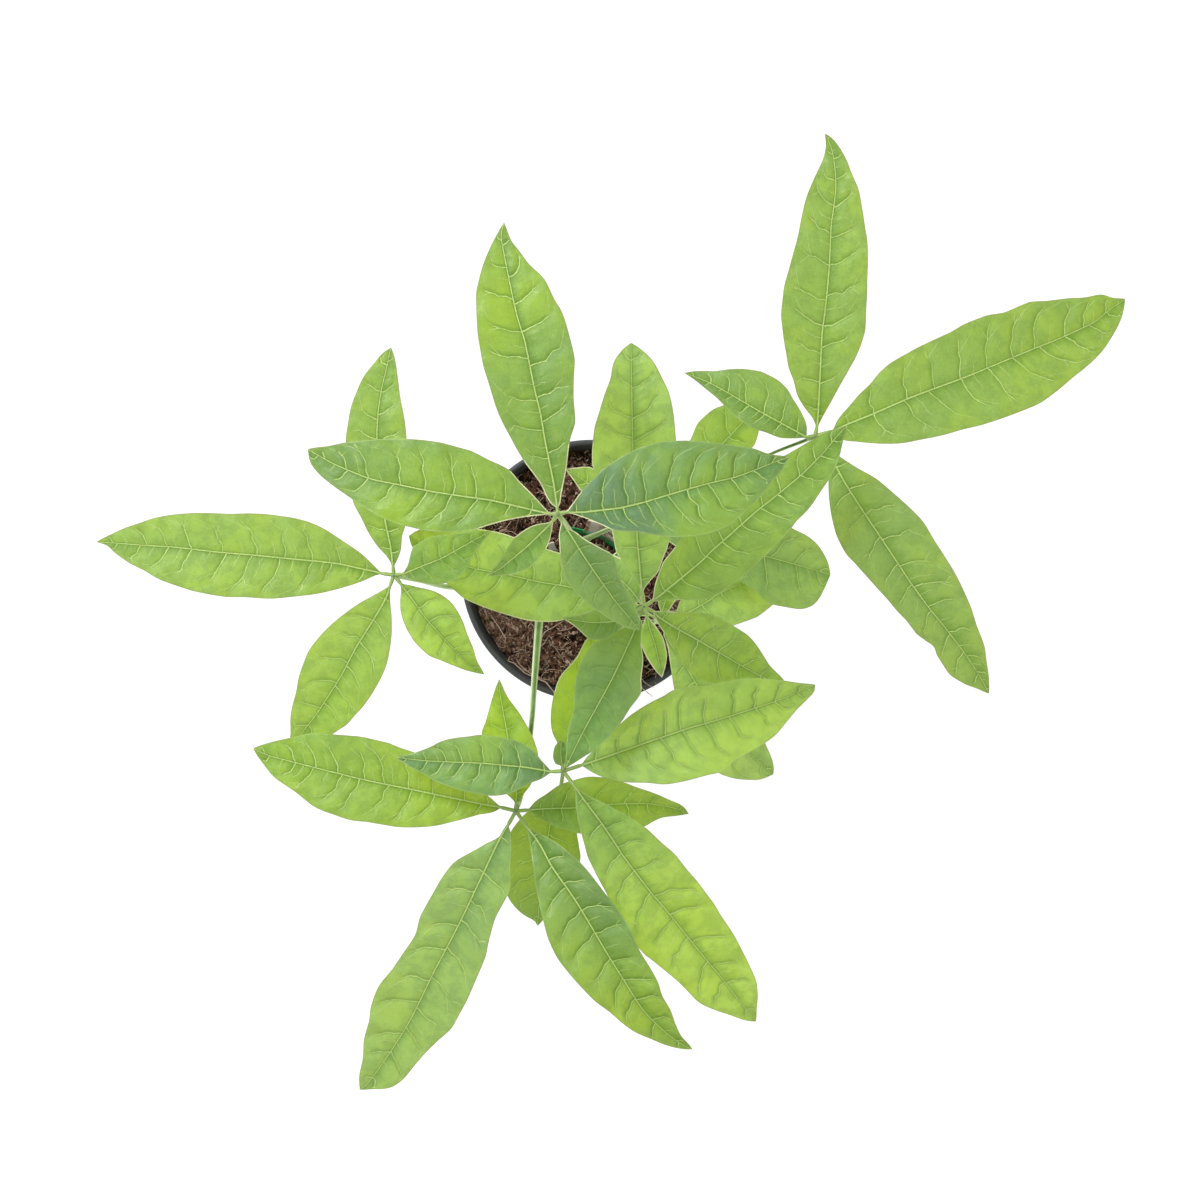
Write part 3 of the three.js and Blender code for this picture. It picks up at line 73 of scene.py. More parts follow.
LEAFLETS = {
    "leaflet_A1": dict(hub="A", base=(-12.2, 20.9, 346), tip=(-32.3, 128.2, 338), arch=8, fold=0.1,
        mid=((0.092, -0.4), (0.23, -0.2), (0.31, -0.4), (0.414, 0.1), (0.554, 0.3), (0.683, 1.6), (0.817, 2), (0.941, 2.1)),
        left=((0.01, 1.7), (0.09, 4.6), (0.173, 8.9), (0.254, 12), (0.354, 15.1), (0.45, 16.4), (0.536, 17.3), (0.61, 17.2), (0.694, 16.3), (0.767, 15.1), (0.813, 13.1), (0.858, 10.9), (0.914, 7.3), (0.96, 3.8)),
        right=((0.008, -1.3), (0.037, -2.4), (0.117, -5.9), (0.214, -9.4), (0.277, -12.7), (0.345, -13.5), (0.418, -15), (0.492, -16.7), (0.57, -16.3), (0.647, -15.3), (0.696, -13.4), (0.769, -11.2), (0.842, -6.2), (0.89, -3.8), (0.931, -1.6))),
    "leaflet_A2": dict(hub="A", base=(-14.8, 18.3, 346), tip=(-107.1, 43.5, 330), arch=8, fold=0.12,
        mid=((0.119, 0.5), (0.223, 0.9), (0.356, 2.4), (0.475, 3.6), (0.597, 4.3), (0.716, 4.9), (0.807, 4), (0.878, 3), (0.953, 1.3)),
        left=((0.025, 1.1), (0.09, 3.6), (0.151, 6.4), (0.213, 9.9), (0.271, 13.4), (0.319, 15.2), (0.371, 16.8), (0.432, 18), (0.496, 18.5), (0.553, 18.6), (0.608, 18.2), (0.684, 16.6), (0.753, 14.5), (0.809, 12.7), (0.861, 10.9), (0.927, 8.1), (0.976, 4.6)),
        right=((0.025, -1.6), (0.078, -4.8), (0.145, -8.5), (0.203, -11.9), (0.288, -13.4), (0.377, -14.9), (0.462, -14.9), (0.538, -14.3), (0.616, -13), (0.694, -11.1), (0.775, -8.7), (0.849, -6.2), (0.921, -3))),
    "leaflet_A3": dict(hub="A", base=(-8.5, 19, 346), tip=(75.4, 40.3, 334), arch=6, fold=0.1,
        mid=((0.071, -1.6), (0.153, -2.6), (0.235, -3.5), (0.319, -3.6), (0.427, -3.2), (0.535, -2.8), (0.635, -2.6), (0.73, -2.7), (0.837, -1.8), (0.933, -0.6)),
        left=((0.035, 2.7), (0.097, 7), (0.149, 9.7), (0.196, 12.1), (0.259, 14.2), (0.326, 15.8), (0.395, 16.6), (0.462, 16.7), (0.54, 15.6), (0.62, 13.8), (0.682, 11.9), (0.74, 10.2), (0.798, 8.2), (0.848, 6.5), (0.918, 2.7)),
        right=((0.034, -1.9), (0.069, -3.9), (0.106, -6.2), (0.14, -8.5), (0.173, -10.8), (0.222, -12.4), (0.271, -13.7), (0.351, -16.8), (0.437, -19.3), (0.497, -20.2), (0.558, -20.7), (0.603, -20.5), (0.65, -20), (0.706, -18.1), (0.758, -15.7), (0.829, -12.1), (0.897, -7.7), (0.949, -4.5))),
    "leaflet_A4": dict(hub="A", base=(-14.1, 15.4, 344), tip=(-38.6, -4.4, 332), arch=3, fold=0.16,
        mid=((0.201, 0.7), (0.496, 1.3), (0.761, 1.3)),
        left=((0.033, 1.6), (0.099, 3.3), (0.145, 4.5), (0.257, 6.5), (0.38, 7.7), (0.515, 8.1), (0.663, 7.2), (0.841, 4.3)),
        right=((0.072, -1.3), (0.154, -2.9), (0.293, -4.1), (0.439, -4.4), (0.555, -3.6), (0.662, -2.5), (0.822, -1.2))),
    "leaflet_A5": dict(hub="A", base=(-10.4, 15.7, 344), tip=(18.9, -25.4, 318), arch=5, fold=0.08,
        mid=((0.139, -0.4), (0.305, -0.9), (0.492, -1.1), (0.685, -1.1), (0.842, -0.5)),
        left=((0.058, 0.2), (0.126, 1.9), (0.197, 3), (0.33, 6.1), (0.427, 8.2), (0.473, 7.9), (0.534, 6.4), (0.666, 4.9), (0.783, 4.6), (0.848, 3.9), (0.92, 3)),
        right=((0.024, -1.5), (0.072, -4), (0.134, -6), (0.184, -7.6), (0.265, -9.6), (0.344, -11), (0.41, -11.6), (0.474, -11.6), (0.572, -10.5), (0.674, -9.1), (0.787, -7), (0.899, -4.4), (0.958, -2.3))),
    "leaflet_B1": dict(hub="B", base=(-87.1, -2.8, 240), tip=(-209.6, 10.8, 222), arch=8, fold=0.08,
        mid=((0.075, -1.1), (0.171, -2.1), (0.307, -1.9), (0.448, -1.7), (0.569, -1.3), (0.69, -1.4), (0.841, -0.7)),
        left=((0.019, 1), (0.062, 4.1), (0.106, 6.7), (0.159, 9.3), (0.212, 11.5), (0.291, 13.8), (0.375, 15.7), (0.447, 16.1), (0.52, 16.9), (0.608, 16.3), (0.694, 14.6), (0.754, 12.8), (0.815, 9.8), (0.873, 7.3), (0.925, 4), (0.962, 1)),
        right=((0.009, -0.9), (0.034, -3.4), (0.078, -7.5), (0.148, -12.1), (0.218, -16.3), (0.275, -18.3), (0.331, -19.1), (0.397, -19.3), (0.462, -18.9), (0.534, -17.8), (0.607, -17.2), (0.702, -15.7), (0.796, -12.8), (0.854, -9.7), (0.908, -6.9), (0.958, -3.4))),
    "leaflet_B2": dict(hub="B", base=(-82.4, 0.3, 241), tip=(-83.6, 91.7, 236), arch=6, fold=0.08,
        mid=((0.073, 0.6), (0.209, 2.8), (0.391, 4.6), (0.587, 5.7), (0.693, 5.2), (0.794, 4), (0.915, 1.6)),
        left=((0.017, 0.9), (0.043, 2.4), (0.085, 5.8), (0.147, 9.5), (0.218, 12.5), (0.296, 16), (0.392, 17.8), (0.483, 18.5), (0.57, 18.6), (0.643, 17.7), (0.712, 16.8), (0.787, 14.5), (0.862, 11.4), (0.93, 7), (0.973, 3.8)),
        right=((0.013, -1.1), (0.079, -3.6), (0.135, -4.1), (0.181, -5.5), (0.298, -6.1), (0.457, -6.4), (0.585, -6.6), (0.64, -6.1), (0.695, -5.4), (0.779, -3.9), (0.872, -2.8), (0.944, -1.8))),
    "leaflet_B3": dict(hub="B", base=(-83.8, -8, 239), tip=(-132.3, -81, 200), arch=6, fold=0.1,
        mid=((0.069, 1.4), (0.193, 1.8), (0.314, 1.8), (0.511, 2.8), (0.692, 2.5), (0.881, 0.9)),
        left=((0.025, 1.3), (0.067, 3.9), (0.127, 8.1), (0.214, 12.7), (0.3, 15.8), (0.353, 17.1), (0.412, 17.8), (0.485, 18), (0.557, 17.7), (0.617, 16.8), (0.675, 16.1), (0.751, 13.4), (0.856, 9.5), (0.945, 4.6)),
        right=((0.026, -1.2), (0.09, -4.1), (0.144, -6.6), (0.212, -9.1), (0.275, -11.1), (0.338, -12.6), (0.404, -13.7), (0.478, -14.3), (0.546, -13.6), (0.615, -12.3), (0.691, -9.9), (0.762, -8.3), (0.821, -6.4), (0.907, -2.3))),
    "leaflet_B4": dict(hub="B", base=(-79.2, -7.2, 239), tip=(-45.6, -45.4, 218), arch=3, fold=0.1,
        mid=((0.162, -0.8), (0.393, -2), (0.612, -2.1), (0.821, -1.8)),
        left=((0.041, 2), (0.104, 4.2), (0.17, 6.7), (0.237, 8.7), (0.316, 10), (0.39, 10.5), (0.477, 9.9), (0.565, 8.6), (0.678, 6.1), (0.782, 4.2), (0.878, 1.8)),
        right=((0.037, -1.7), (0.098, -5), (0.163, -7.7), (0.247, -9.8), (0.342, -11.3), (0.452, -12.1), (0.574, -11.7), (0.68, -9.3), (0.791, -6.7), (0.873, -4.6), (0.938, -2.5))),
    "leaflet_B5": dict(hub="B", base=(-78.2, -3, 241), tip=(-41.2, 14.9, 240), arch=3, fold=0.08,
        mid=((0.188, -0.5), (0.429, -1.2), (0.659, -0.7), (0.865, -0.1)),
        left=((0.086, 2.5), (0.159, 6), (0.216, 8.2), (0.3, 8.7), (0.393, 9), (0.493, 7.9), (0.608, 6.3), (0.752, 4.4), (0.893, 2.2)),
        right=((0.075, -4.3), (0.191, -8), (0.28, -10.1), (0.366, -11.3), (0.442, -11.6), (0.514, -11.2), (0.599, -9.7), (0.684, -7.2), (0.795, -4.3), (0.902, -1.8))),
    "leaflet_C1": dict(hub="C", base=(-37.6, -99.7, 246), tip=(-142.2, -76.4, 229), arch=8, fold=0.1,
        mid=((0.078, 0.3), (0.165, 0.4), (0.354, 0.7), (0.55, 1.3), (0.725, 1.3), (0.92, 1.3)),
        left=((0.008, 1.5), (0.077, 5.1), (0.146, 8.9), (0.224, 13), (0.321, 16), (0.398, 17.4), (0.474, 17.7), (0.56, 18.8), (0.631, 18.2), (0.705, 17), (0.796, 13), (0.89, 9.3), (0.955, 4.7)),
        right=((0.013, -1.1), (0.059, -3.8), (0.132, -6.8), (0.218, -10.3), (0.302, -13), (0.373, -14.6), (0.426, -15.2), (0.487, -16.1), (0.564, -16), (0.639, -15.1), (0.679, -14.4), (0.774, -12.5), (0.858, -8.5), (0.941, -4.1))),
    "leaflet_C2": dict(hub="C", base=(-31, -98, 246), tip=(-38.4, -47.2, 234), arch=2, fold=0.1,
        mid=((0.087, -0.8), (0.306, -0.5), (0.528, -0.4), (0.633, -0.2), (0.899, 0.4)),
        left=((0.018, 0.7), (0.091, 3.6), (0.227, 8.4), (0.403, 10.5), (0.588, 10.1), (0.693, 7.6), (0.889, 3.2)),
        right=((0.006, -1.3), (0.039, -2.6), (0.132, -7.3), (0.24, -10.2), (0.357, -12), (0.48, -11.1), (0.585, -9.3), (0.72, -6.3), (0.854, -2.5))),
    "leaflet_C3": dict(hub="C", base=(-34.5, -107.6, 245), tip=(-99.4, -224.4, 208), arch=9, fold=0.08,
        mid=((0.019, -0.3), (0.172, 0.8), (0.352, 2.3), (0.521, 2.9), (0.703, 4.1), (0.862, 3.1), (0.97, 1.5)),
        left=((0.005, 1.3), (0.049, 5.3), (0.102, 8.8), (0.186, 14), (0.257, 14.1), (0.335, 16.2), (0.397, 18.6), (0.474, 19.8), (0.571, 20.9), (0.641, 21), (0.725, 18.2), (0.807, 15.6), (0.883, 14.2), (0.931, 11.7), (0.952, 9.1), (0.973, 5.1)),
        right=((0.03, -0.4), (0.093, -5.2), (0.195, -12.6), (0.257, -13.5), (0.373, -13.6), (0.448, -11.6), (0.499, -12.1), (0.575, -13), (0.651, -14.5), (0.721, -13.3), (0.767, -11), (0.828, -9.3), (0.899, -5.4), (0.957, -3.1))),
    "leaflet_C4": dict(hub="C", base=(-26.4, -107.8, 247), tip=(42.5, -202.6, 232), arch=12, fold=0.1,
        mid=((0.06, 0.3), (0.173, -1), (0.281, -1.1), (0.399, -2.1), (0.523, -3.6), (0.646, -4.8), (0.767, -5.9), (0.863, -4.8), (0.947, -2.6)),
        left=((0.031, 1.8), (0.08, 5), (0.128, 7.3), (0.21, 9.5), (0.276, 10.3), (0.351, 10.5), (0.419, 10.8), (0.487, 10.4), (0.587, 7.8), (0.656, 7.1), (0.716, 6.1), (0.767, 4.1), (0.832, 3), (0.886, 1.1), (0.939, 0), (0.983, 0.3)),
        right=((0.015, -0.9), (0.049, -2.8), (0.116, -6.7), (0.198, -11.8), (0.291, -16.5), (0.368, -19.7), (0.453, -21.3), (0.531, -20.7), (0.628, -19.6), (0.704, -17.4), (0.817, -14.2), (0.877, -10.7), (0.928, -7.5), (0.971, -3.7))),
    "leaflet_C5": dict(hub="C", base=(-25.8, -101, 245), tip=(41.1, -103.7, 231), arch=3, fold=0.08,
        mid=((0.101, 0.8), (0.298, 1.6), (0.53, 3.5), (0.709, 4), (0.844, 3.1), (0.936, 1.7)),
        left=((0.038, 3.6), (0.105, 6.9), (0.187, 11), (0.258, 12.8), (0.387, 14.8), (0.497, 14.4), (0.579, 12.9), (0.659, 10.9), (0.785, 8.3), (0.876, 5.7), (0.96, 3.2)),
        right=((0.045, -2.2), (0.123, -5.1), (0.193, -7), (0.27, -8), (0.32, -9), (0.449, -9), (0.604, -7.9), (0.731, -5.3), (0.779, -3.4), (0.837, -1.7), (0.937, -0.9))),
    "leaflet_D1": dict(hub="D", base=(-3.5, -81.1, 263), tip=(91.4, -48.4, 264), arch=6, fold=0.1,
        mid=((0.077, 0), (0.164, 0.2), (0.321, 0.4), (0.451, 0.4), (0.58, -0.3), (0.723, -0.7), (0.847, -0.9), (0.955, -0.2)),
        left=((0.025, 2.2), (0.066, 4.3), (0.139, 7.9), (0.23, 12.2), (0.288, 14.1), (0.346, 15.3), (0.398, 16), (0.45, 17.1), (0.525, 16.1), (0.602, 14), (0.665, 13.5), (0.746, 11.9), (0.816, 9.2), (0.885, 5.9), (0.946, 2.7)),
        right=((0.029, -4), (0.065, -7.3), (0.136, -11.7), (0.223, -14.9), (0.303, -18.2), (0.383, -19.4), (0.461, -19.8), (0.514, -20.4), (0.597, -17.8), (0.674, -16.3), (0.732, -15.2), (0.777, -13.9), (0.836, -10.5), (0.893, -7.1), (0.953, -4.3), (0.991, -2))),
    "leaflet_D2": dict(hub="D", base=(-16.1, -83.9, 262), tip=(-79.8, -78.5, 255), arch=5, fold=0.12,
        mid=((0.09, -0.6), (0.193, -1.1), (0.401, -1.2), (0.666, -0.4), (0.843, 0.1)),
        left=((0.057, 3.1), (0.127, 5.3), (0.194, 8.1), (0.259, 10.2), (0.383, 11.6), (0.523, 10.8), (0.622, 9.6), (0.723, 8.1), (0.812, 5.6), (0.916, 3)),
        right=((0.066, -4.3), (0.132, -8.7), (0.219, -11.2), (0.289, -12.2), (0.36, -12.7), (0.45, -12.8), (0.553, -11.5), (0.65, -10.1), (0.721, -8.4), (0.787, -5.7), (0.888, -2.6))),
    "leaflet_D3": dict(hub="D", base=(-10.4, -79.9, 262), tip=(11.1, -25.2, 269), arch=1, fold=0.06,
        mid=((0.124, 0.7), (0.324, 0.9), (0.531, 1.3), (0.717, 1.3), (0.871, 0.5)),
        left=((0.034, 2.8), (0.105, 5.8), (0.149, 8.7), (0.198, 10.6), (0.254, 12.1), (0.34, 13.6), (0.418, 14.4), (0.493, 14.8), (0.559, 14.4), (0.641, 12.6), (0.728, 11.1), (0.818, 10.6), (0.899, 8.5), (0.958, 4.7)),
        right=((0.068, -1.8), (0.157, -4.3), (0.283, -6.2), (0.422, -6.9), (0.574, -7.3), (0.72, -6.9), (0.859, -5.5), (0.947, -3.2))),
    "leaflet_D4": dict(hub="D", base=(-6.6, -89.8, 261), tip=(70.5, -194.2, 213), arch=2, fold=0.08,
        mid=((0.053, -0.3), (0.14, -0.4), (0.2, -0.8), (0.295, -1.6), (0.414, -1.7), (0.515, -1.1), (0.612, -0.9), (0.719, -0.6), (0.815, -0.1), (0.897, -0.2), (0.968, -0.1)),
        left=((0.023, 0.8), (0.088, 4.5), (0.134, 7.3), (0.194, 10.7), (0.248, 13), (0.311, 14.3), (0.381, 16), (0.438, 16.1), (0.495, 16.5), (0.566, 16.5), (0.637, 15.7), (0.703, 15.2), (0.766, 14), (0.828, 12.5), (0.881, 10.9), (0.926, 7.8), (0.964, 3.9)),
        right=((0.017, -1.2), (0.052, -4.3), (0.114, -8.4), (0.164, -11), (0.216, -13.6), (0.273, -15), (0.342, -16.5), (0.387, -17.9), (0.445, -19.3), (0.508, -20.2), (0.575, -19.8), (0.619, -18.4), (0.673, -16.9), (0.725, -15.6), (0.77, -15), (0.812, -14.4), (0.879, -10.9), (0.935, -6.5), (0.973, -3.5))),
    "leaflet_D5": dict(hub="D", base=(-11.5, -81.4, 264.5), tip=(-11.7, -70.6, 271), arch=2, fold=0.45,
        mid=((0.445, 0.4), (0.717, 0.3)),
        left=((0.11, 2.7), (0.403, 3.6), (0.654, 3.2), (0.871, 2.1)),
        right=((0.166, -1.4), (0.407, -2.3), (0.642, -2.5), (0.87, -1.8))),
    "leaflet_D6": dict(hub="D", base=(-12.5, -92.1, 237), tip=(-23.1, -154.3, 205), arch=3, fold=0.08,
        mid=((0.114, -0.9), (0.306, -1.9), (0.519, -1.5), (0.737, -1.1), (0.899, -0.5)),
        left=((0.045, 3.5), (0.126, 6.8), (0.218, 8.7), (0.299, 10), (0.379, 11.7), (0.465, 13.2), (0.562, 13.2), (0.685, 11), (0.816, 7.1), (0.935, 2.6)),
        right=((0.063, -3.2), (0.151, -9.3), (0.263, -14.7), (0.392, -18.2), (0.538, -18.9), (0.681, -18), (0.808, -15.1), (0.893, -10.7), (0.947, -5.4), (0.968, -1.7))),
    "leaflet_E1": dict(hub="E", base=(24.9, -14, 289), tip=(101.6, 55, 292), arch=6, fold=0.1,
        mid=((0.033, -0.4), (0.096, -0.7), (0.244, -1.2), (0.299, -0.9), (0.396, -1), (0.498, -1), (0.615, -1.7), (0.74, -2.2), (0.854, -1.6), (0.961, -0.2)),
        left=((0.021, 2.1), (0.045, 4.1), (0.085, 6.5), (0.132, 8.8), (0.184, 9.7), (0.229, 10.8), (0.315, 13.4), (0.411, 13.9), (0.506, 13), (0.596, 11.6), (0.681, 9.5), (0.761, 7.4), (0.853, 5.4), (0.941, 3)),
        right=((0.024, -2.5), (0.05, -4.3), (0.1, -9.1), (0.154, -13.5), (0.209, -15.4), (0.263, -16.2), (0.306, -16.5), (0.352, -16.5), (0.413, -16.4), (0.472, -16.1), (0.521, -15.8), (0.566, -15.3), (0.612, -14.4), (0.649, -14.3), (0.69, -13.8), (0.744, -12.4), (0.801, -11), (0.847, -9.4), (0.892, -7.2), (0.949, -3.4))),
    "leaflet_E2": dict(hub="E", base=(24.9, -18.4, 288), tip=(83, -51.5, 236), arch=0, fold=0.08,
        mid=((0.056, -0.8), (0.155, -1.1), (0.318, -1), (0.474, -1), (0.634, -1.1), (0.816, -0.8)),
        left=((0.041, 1.8), (0.109, 4.1), (0.192, 7), (0.275, 9.8), (0.345, 11), (0.429, 11.3), (0.476, 11.3), (0.568, 11.1), (0.652, 9.7), (0.734, 7.2), (0.81, 4.8), (0.928, 2.7)),
        right=((0.025, -1.6), (0.056, -2.9), (0.084, -4), (0.119, -5.1), (0.153, -6.3), (0.193, -7.9), (0.236, -9.8), (0.279, -11.7), (0.363, -13.6), (0.437, -14.5), (0.538, -13.3), (0.662, -12.1), (0.788, -9.5), (0.903, -5.4))),
    "leaflet_E3": dict(hub="E", base=(22.3, -19.6, 290), tip=(28.3, -44.4, 295), arch=1, fold=0.25,
        mid=((0.179, -0.1), (0.499, 0.4), (0.852, 0.2)),
        left=((0.08, 0.9), (0.23, 2.7), (0.461, 4.3), (0.631, 4.2), (0.812, 2.8), (0.924, 1.3)),
        right=((0.088, -1.6), (0.242, -3.8), (0.448, -4.9), (0.601, -4.3), (0.862, -2))),
    "leaflet_E4": dict(hub="E", base=(20.7, -10.7, 289), tip=(16.1, 87.3, 297), arch=6, fold=0.1,
        mid=((0.049, 0.4), (0.129, 0.8), (0.234, 1.2), (0.37, 1.4), (0.529, 1.4), (0.609, 1.2), (0.729, 0.9), (0.854, 0.5)),
        left=((0.025, 0.7), (0.06, 3.5), (0.096, 5.7), (0.133, 8), (0.17, 9.8), (0.25, 11), (0.335, 12.6), (0.415, 14.2), (0.476, 16.2), (0.524, 17.6), (0.568, 17.4), (0.616, 16.8), (0.659, 16.1), (0.726, 13.9), (0.8, 11.3), (0.858, 8.9), (0.917, 7.5), (0.969, 4.1)),
        right=((0.02, -1.3), (0.047, -3.6), (0.074, -6.2), (0.14, -9.1), (0.174, -10.6), (0.221, -11.8), (0.282, -13.2), (0.362, -14.3), (0.441, -15.4), (0.52, -15.8), (0.6, -15.7), (0.66, -15.5), (0.712, -15.2), (0.786, -14), (0.861, -11.1), (0.917, -8.5), (0.971, -4))),
    "leaflet_E5": dict(hub="E", base=(18.3, -18, 289), tip=(-11.5, -21, 285), arch=2, fold=0.06,
        mid=((0.12, 2), (0.337, 3.4), (0.563, 3.1), (0.824, 1.4)),
        left=((0.041, 2.3), (0.158, 5.3), (0.328, 8.4), (0.493, 10.1), (0.645, 9.7), (0.748, 6.7), (0.832, 3.9), (0.919, 1.8)),
        right=((0.068, -1.6), (0.159, -2.3), (0.316, -3), (0.504, -2.3), (0.682, -1.1), (0.858, -0.3))),
    "leaflet_E6": dict(hub="E", base=(19.2, -20.6, 287), tip=(-10, -81.1, 280), arch=-2, fold=0.06,
        mid=((0.06, 0.8), (0.157, 1.1), (0.372, 1.3), (0.564, 0.8), (0.725, 0.2), (0.87, 0)),
        left=((0.014, 1.7), (0.058, 3.9), (0.138, 5.8), (0.215, 9.1), (0.325, 11.8), (0.402, 14.1), (0.519, 12.8), (0.593, 12.3), (0.71, 10.3), (0.813, 7.9), (0.893, 4.7), (0.959, 2)),
        right=((0.041, -1.1), (0.091, -3.5), (0.156, -7.1), (0.225, -10.2), (0.3, -12.6), (0.394, -12.8), (0.507, -11.7), (0.59, -9.4), (0.677, -7.1), (0.77, -6.1), (0.868, -3.8), (0.94, -1.8))),
    "leaflet_E7": dict(hub="E", base=(19.6, -14.4, 286.6), tip=(1.4, 3.9, 272), arch=1, fold=0.08,
        mid=((0.283, -0.8), (0.678, -0.8)),
        left=((0.081, 3.2), (0.282, 5.4), (0.555, 5.7), (0.799, 4)),
        right=((0.06, -2.7), (0.295, -6.2), (0.558, -7.3), (0.74, -6.4), (0.892, -4))),
    "leaflet_G1": dict(hub="G", base=(91.1, 55.7, 276), tip=(93.7, 172.3, 283), arch=8, fold=0.1,
        mid=((0.04, -0.2), (0.158, -0.3), (0.296, -0.4), (0.39, -1.3), (0.481, -2.1), (0.576, -2.6), (0.669, -2.8), (0.745, -3.8), (0.818, -4.5), (0.909, -3.6), (0.968, -1.8)),
        left=((0.027, 1.7), (0.069, 5.7), (0.109, 8.7), (0.151, 10.2), (0.199, 12.6), (0.252, 13.9), (0.315, 15.3), (0.375, 16.3), (0.422, 15.9), (0.467, 15.4), (0.525, 13.7), (0.583, 12.1), (0.648, 10.2), (0.71, 9), (0.756, 7.9), (0.795, 6.5), (0.861, 3.3), (0.924, 0.3), (0.96, -0.3)),
        right=((0.038, -2.3), (0.091, -5.5), (0.143, -8.5), (0.192, -11.5), (0.237, -14.2), (0.289, -16.4), (0.34, -17.5), (0.401, -17.5), (0.462, -17.7), (0.527, -17.7), (0.588, -17.5), (0.629, -17.2), (0.67, -16.4), (0.735, -15.2), (0.797, -13.7), (0.854, -11), (0.906, -8.9), (0.961, -5.2), (0.989, -2.3))),
    "leaflet_G2": dict(hub="G", base=(97.7, 54.2, 275), tip=(216.7, 108.2, 268), arch=9, fold=0.1,
        mid=((0.036, -0), (0.137, -0.5), (0.236, -0.7), (0.336, -1.5), (0.434, -2.4), (0.548, -2.9), (0.66, -3.3), (0.756, -3.8), (0.856, -3.7), (0.948, -1.2)),
        left=((0.026, 3.3), (0.076, 6.5), (0.116, 9), (0.158, 10.9), (0.202, 13.7), (0.246, 15.3), (0.299, 15.9), (0.351, 16.4), (0.394, 16.4), (0.436, 16.4), (0.497, 17.1), (0.559, 16.7), (0.627, 14.8), (0.7, 14.6), (0.762, 12), (0.824, 9.8), (0.877, 7.2), (0.932, 5.6), (0.966, 2.4)),
        right=((0.006, -3), (0.018, -5.2), (0.049, -7.7), (0.08, -10.2), (0.125, -13.4), (0.172, -16), (0.231, -17.9), (0.292, -19.8), (0.358, -21.1), (0.423, -22.7), (0.507, -23.8), (0.596, -24.3), (0.668, -22.7), (0.741, -20.2), (0.796, -18.4), (0.851, -15.9), (0.897, -12.8), (0.948, -8), (0.982, -3.5))),
    "leaflet_G3": dict(hub="G", base=(97, 45.8, 274), tip=(164.4, -52.4, 250), arch=8, fold=0.08,
        mid=((0.05, -1.7), (0.133, -2.6), (0.247, -2.9), (0.369, -2.9), (0.492, -2.9), (0.611, -2.3), (0.722, -0.9), (0.84, 0.2), (0.926, 0.5)),
        left=((0.031, 1.9), (0.104, 5.5), (0.169, 9.1), (0.24, 11.5), (0.32, 13.7), (0.389, 14.8), (0.46, 14.4), (0.543, 14.3), (0.622, 13.8), (0.691, 12.6), (0.767, 10.5), (0.847, 8.7), (0.907, 5.6), (0.966, 2.5)),
        right=((0.029, -3.6), (0.077, -7.7), (0.13, -11.6), (0.196, -15.4), (0.257, -17.7), (0.309, -18.3), (0.36, -17.3), (0.402, -16.7), (0.462, -15.7), (0.512, -14.7), (0.566, -13.9), (0.627, -12.7), (0.667, -12.5), (0.716, -10.6), (0.75, -9.1), (0.785, -9.9), (0.849, -9.9), (0.919, -6.7), (0.962, -3.1))),
    "leaflet_G4": dict(hub="G", base=(86.7, 51.7, 276), tip=(38.2, 77.9, 271), arch=3, fold=0.08,
        mid=((0.134, -0.1), (0.301, -0.1), (0.552, -0.5), (0.787, -1)),
        left=((0.067, 2.6), (0.18, 5.5), (0.278, 6.2), (0.378, 7.3), (0.493, 6.5), (0.608, 4.9), (0.712, 3.1), (0.814, 1.9), (0.915, 0.7)),
        right=((0.03, -3.7), (0.12, -7.8), (0.216, -10.8), (0.297, -13.5), (0.4, -14.7), (0.495, -14.6), (0.58, -13.3), (0.66, -11.5), (0.736, -9.1), (0.814, -6.2), (0.911, -3.5))),
    "leaflet_H1": dict(hub="K", base=(26.3, -20.7, 206), tip=(-77.2, 13.3, 222), arch=1, fold=0.06,
        mid=((0.053, -0.8), (0.198, -0.6), (0.335, -0.7), (0.461, 1.2), (0.6, 2.6), (0.742, 4.5), (0.863, 3.6), (0.951, 1.4)),
        left=((0.045, 1.6), (0.125, 2.9), (0.217, 5.5), (0.308, 12.3), (0.382, 16.3), (0.486, 18.7), (0.596, 19), (0.709, 18.2), (0.784, 15.1), (0.846, 11.9), (0.912, 7.6), (0.973, 4.2)),
        right=((0.049, -2.3), (0.15, -5.5), (0.246, -9.7), (0.337, -12.3), (0.422, -13.3), (0.467, -13.2), (0.545, -13.3), (0.649, -13.6), (0.747, -12.3), (0.843, -10.1), (0.933, -6.4), (0.974, -3.6))),
    "leaflet_H2": dict(hub="K", base=(30.5, -19.4, 207), tip=(49.3, 20.4, 212), arch=2, fold=0.08,
        mid=((0.116, 0.8), (0.34, 1.4), (0.613, 1), (0.826, 0.2)),
        left=((0.04, 2.3), (0.117, 4.2), (0.255, 5.4), (0.438, 5.4), (0.641, 4.4), (0.836, 3.3)),
        right=((0.047, -2.3), (0.155, -2.9), (0.327, -5.4), (0.535, -6.8), (0.739, -5.8), (0.889, -3.7))),
    "leaflet_H3": dict(hub="K", base=(34.4, -22.5, 206), tip=(88.6, -2.7, 208), arch=3, fold=0.08,
        mid=((0.155, 0.7), (0.313, 2.3), (0.393, 3.5), (0.533, 4.3), (0.688, 3.8), (0.839, 2.5)),
        left=((0.056, 2.6), (0.116, 6.6), (0.209, 9.4), (0.338, 11.2), (0.503, 12.3), (0.661, 12.1), (0.807, 10), (0.935, 5)),
        right=((0.122, -4.4), (0.253, -8.5), (0.417, -11.3), (0.51, -11.4), (0.589, -11.4), (0.673, -10.3), (0.757, -8.5), (0.88, -4.8))),
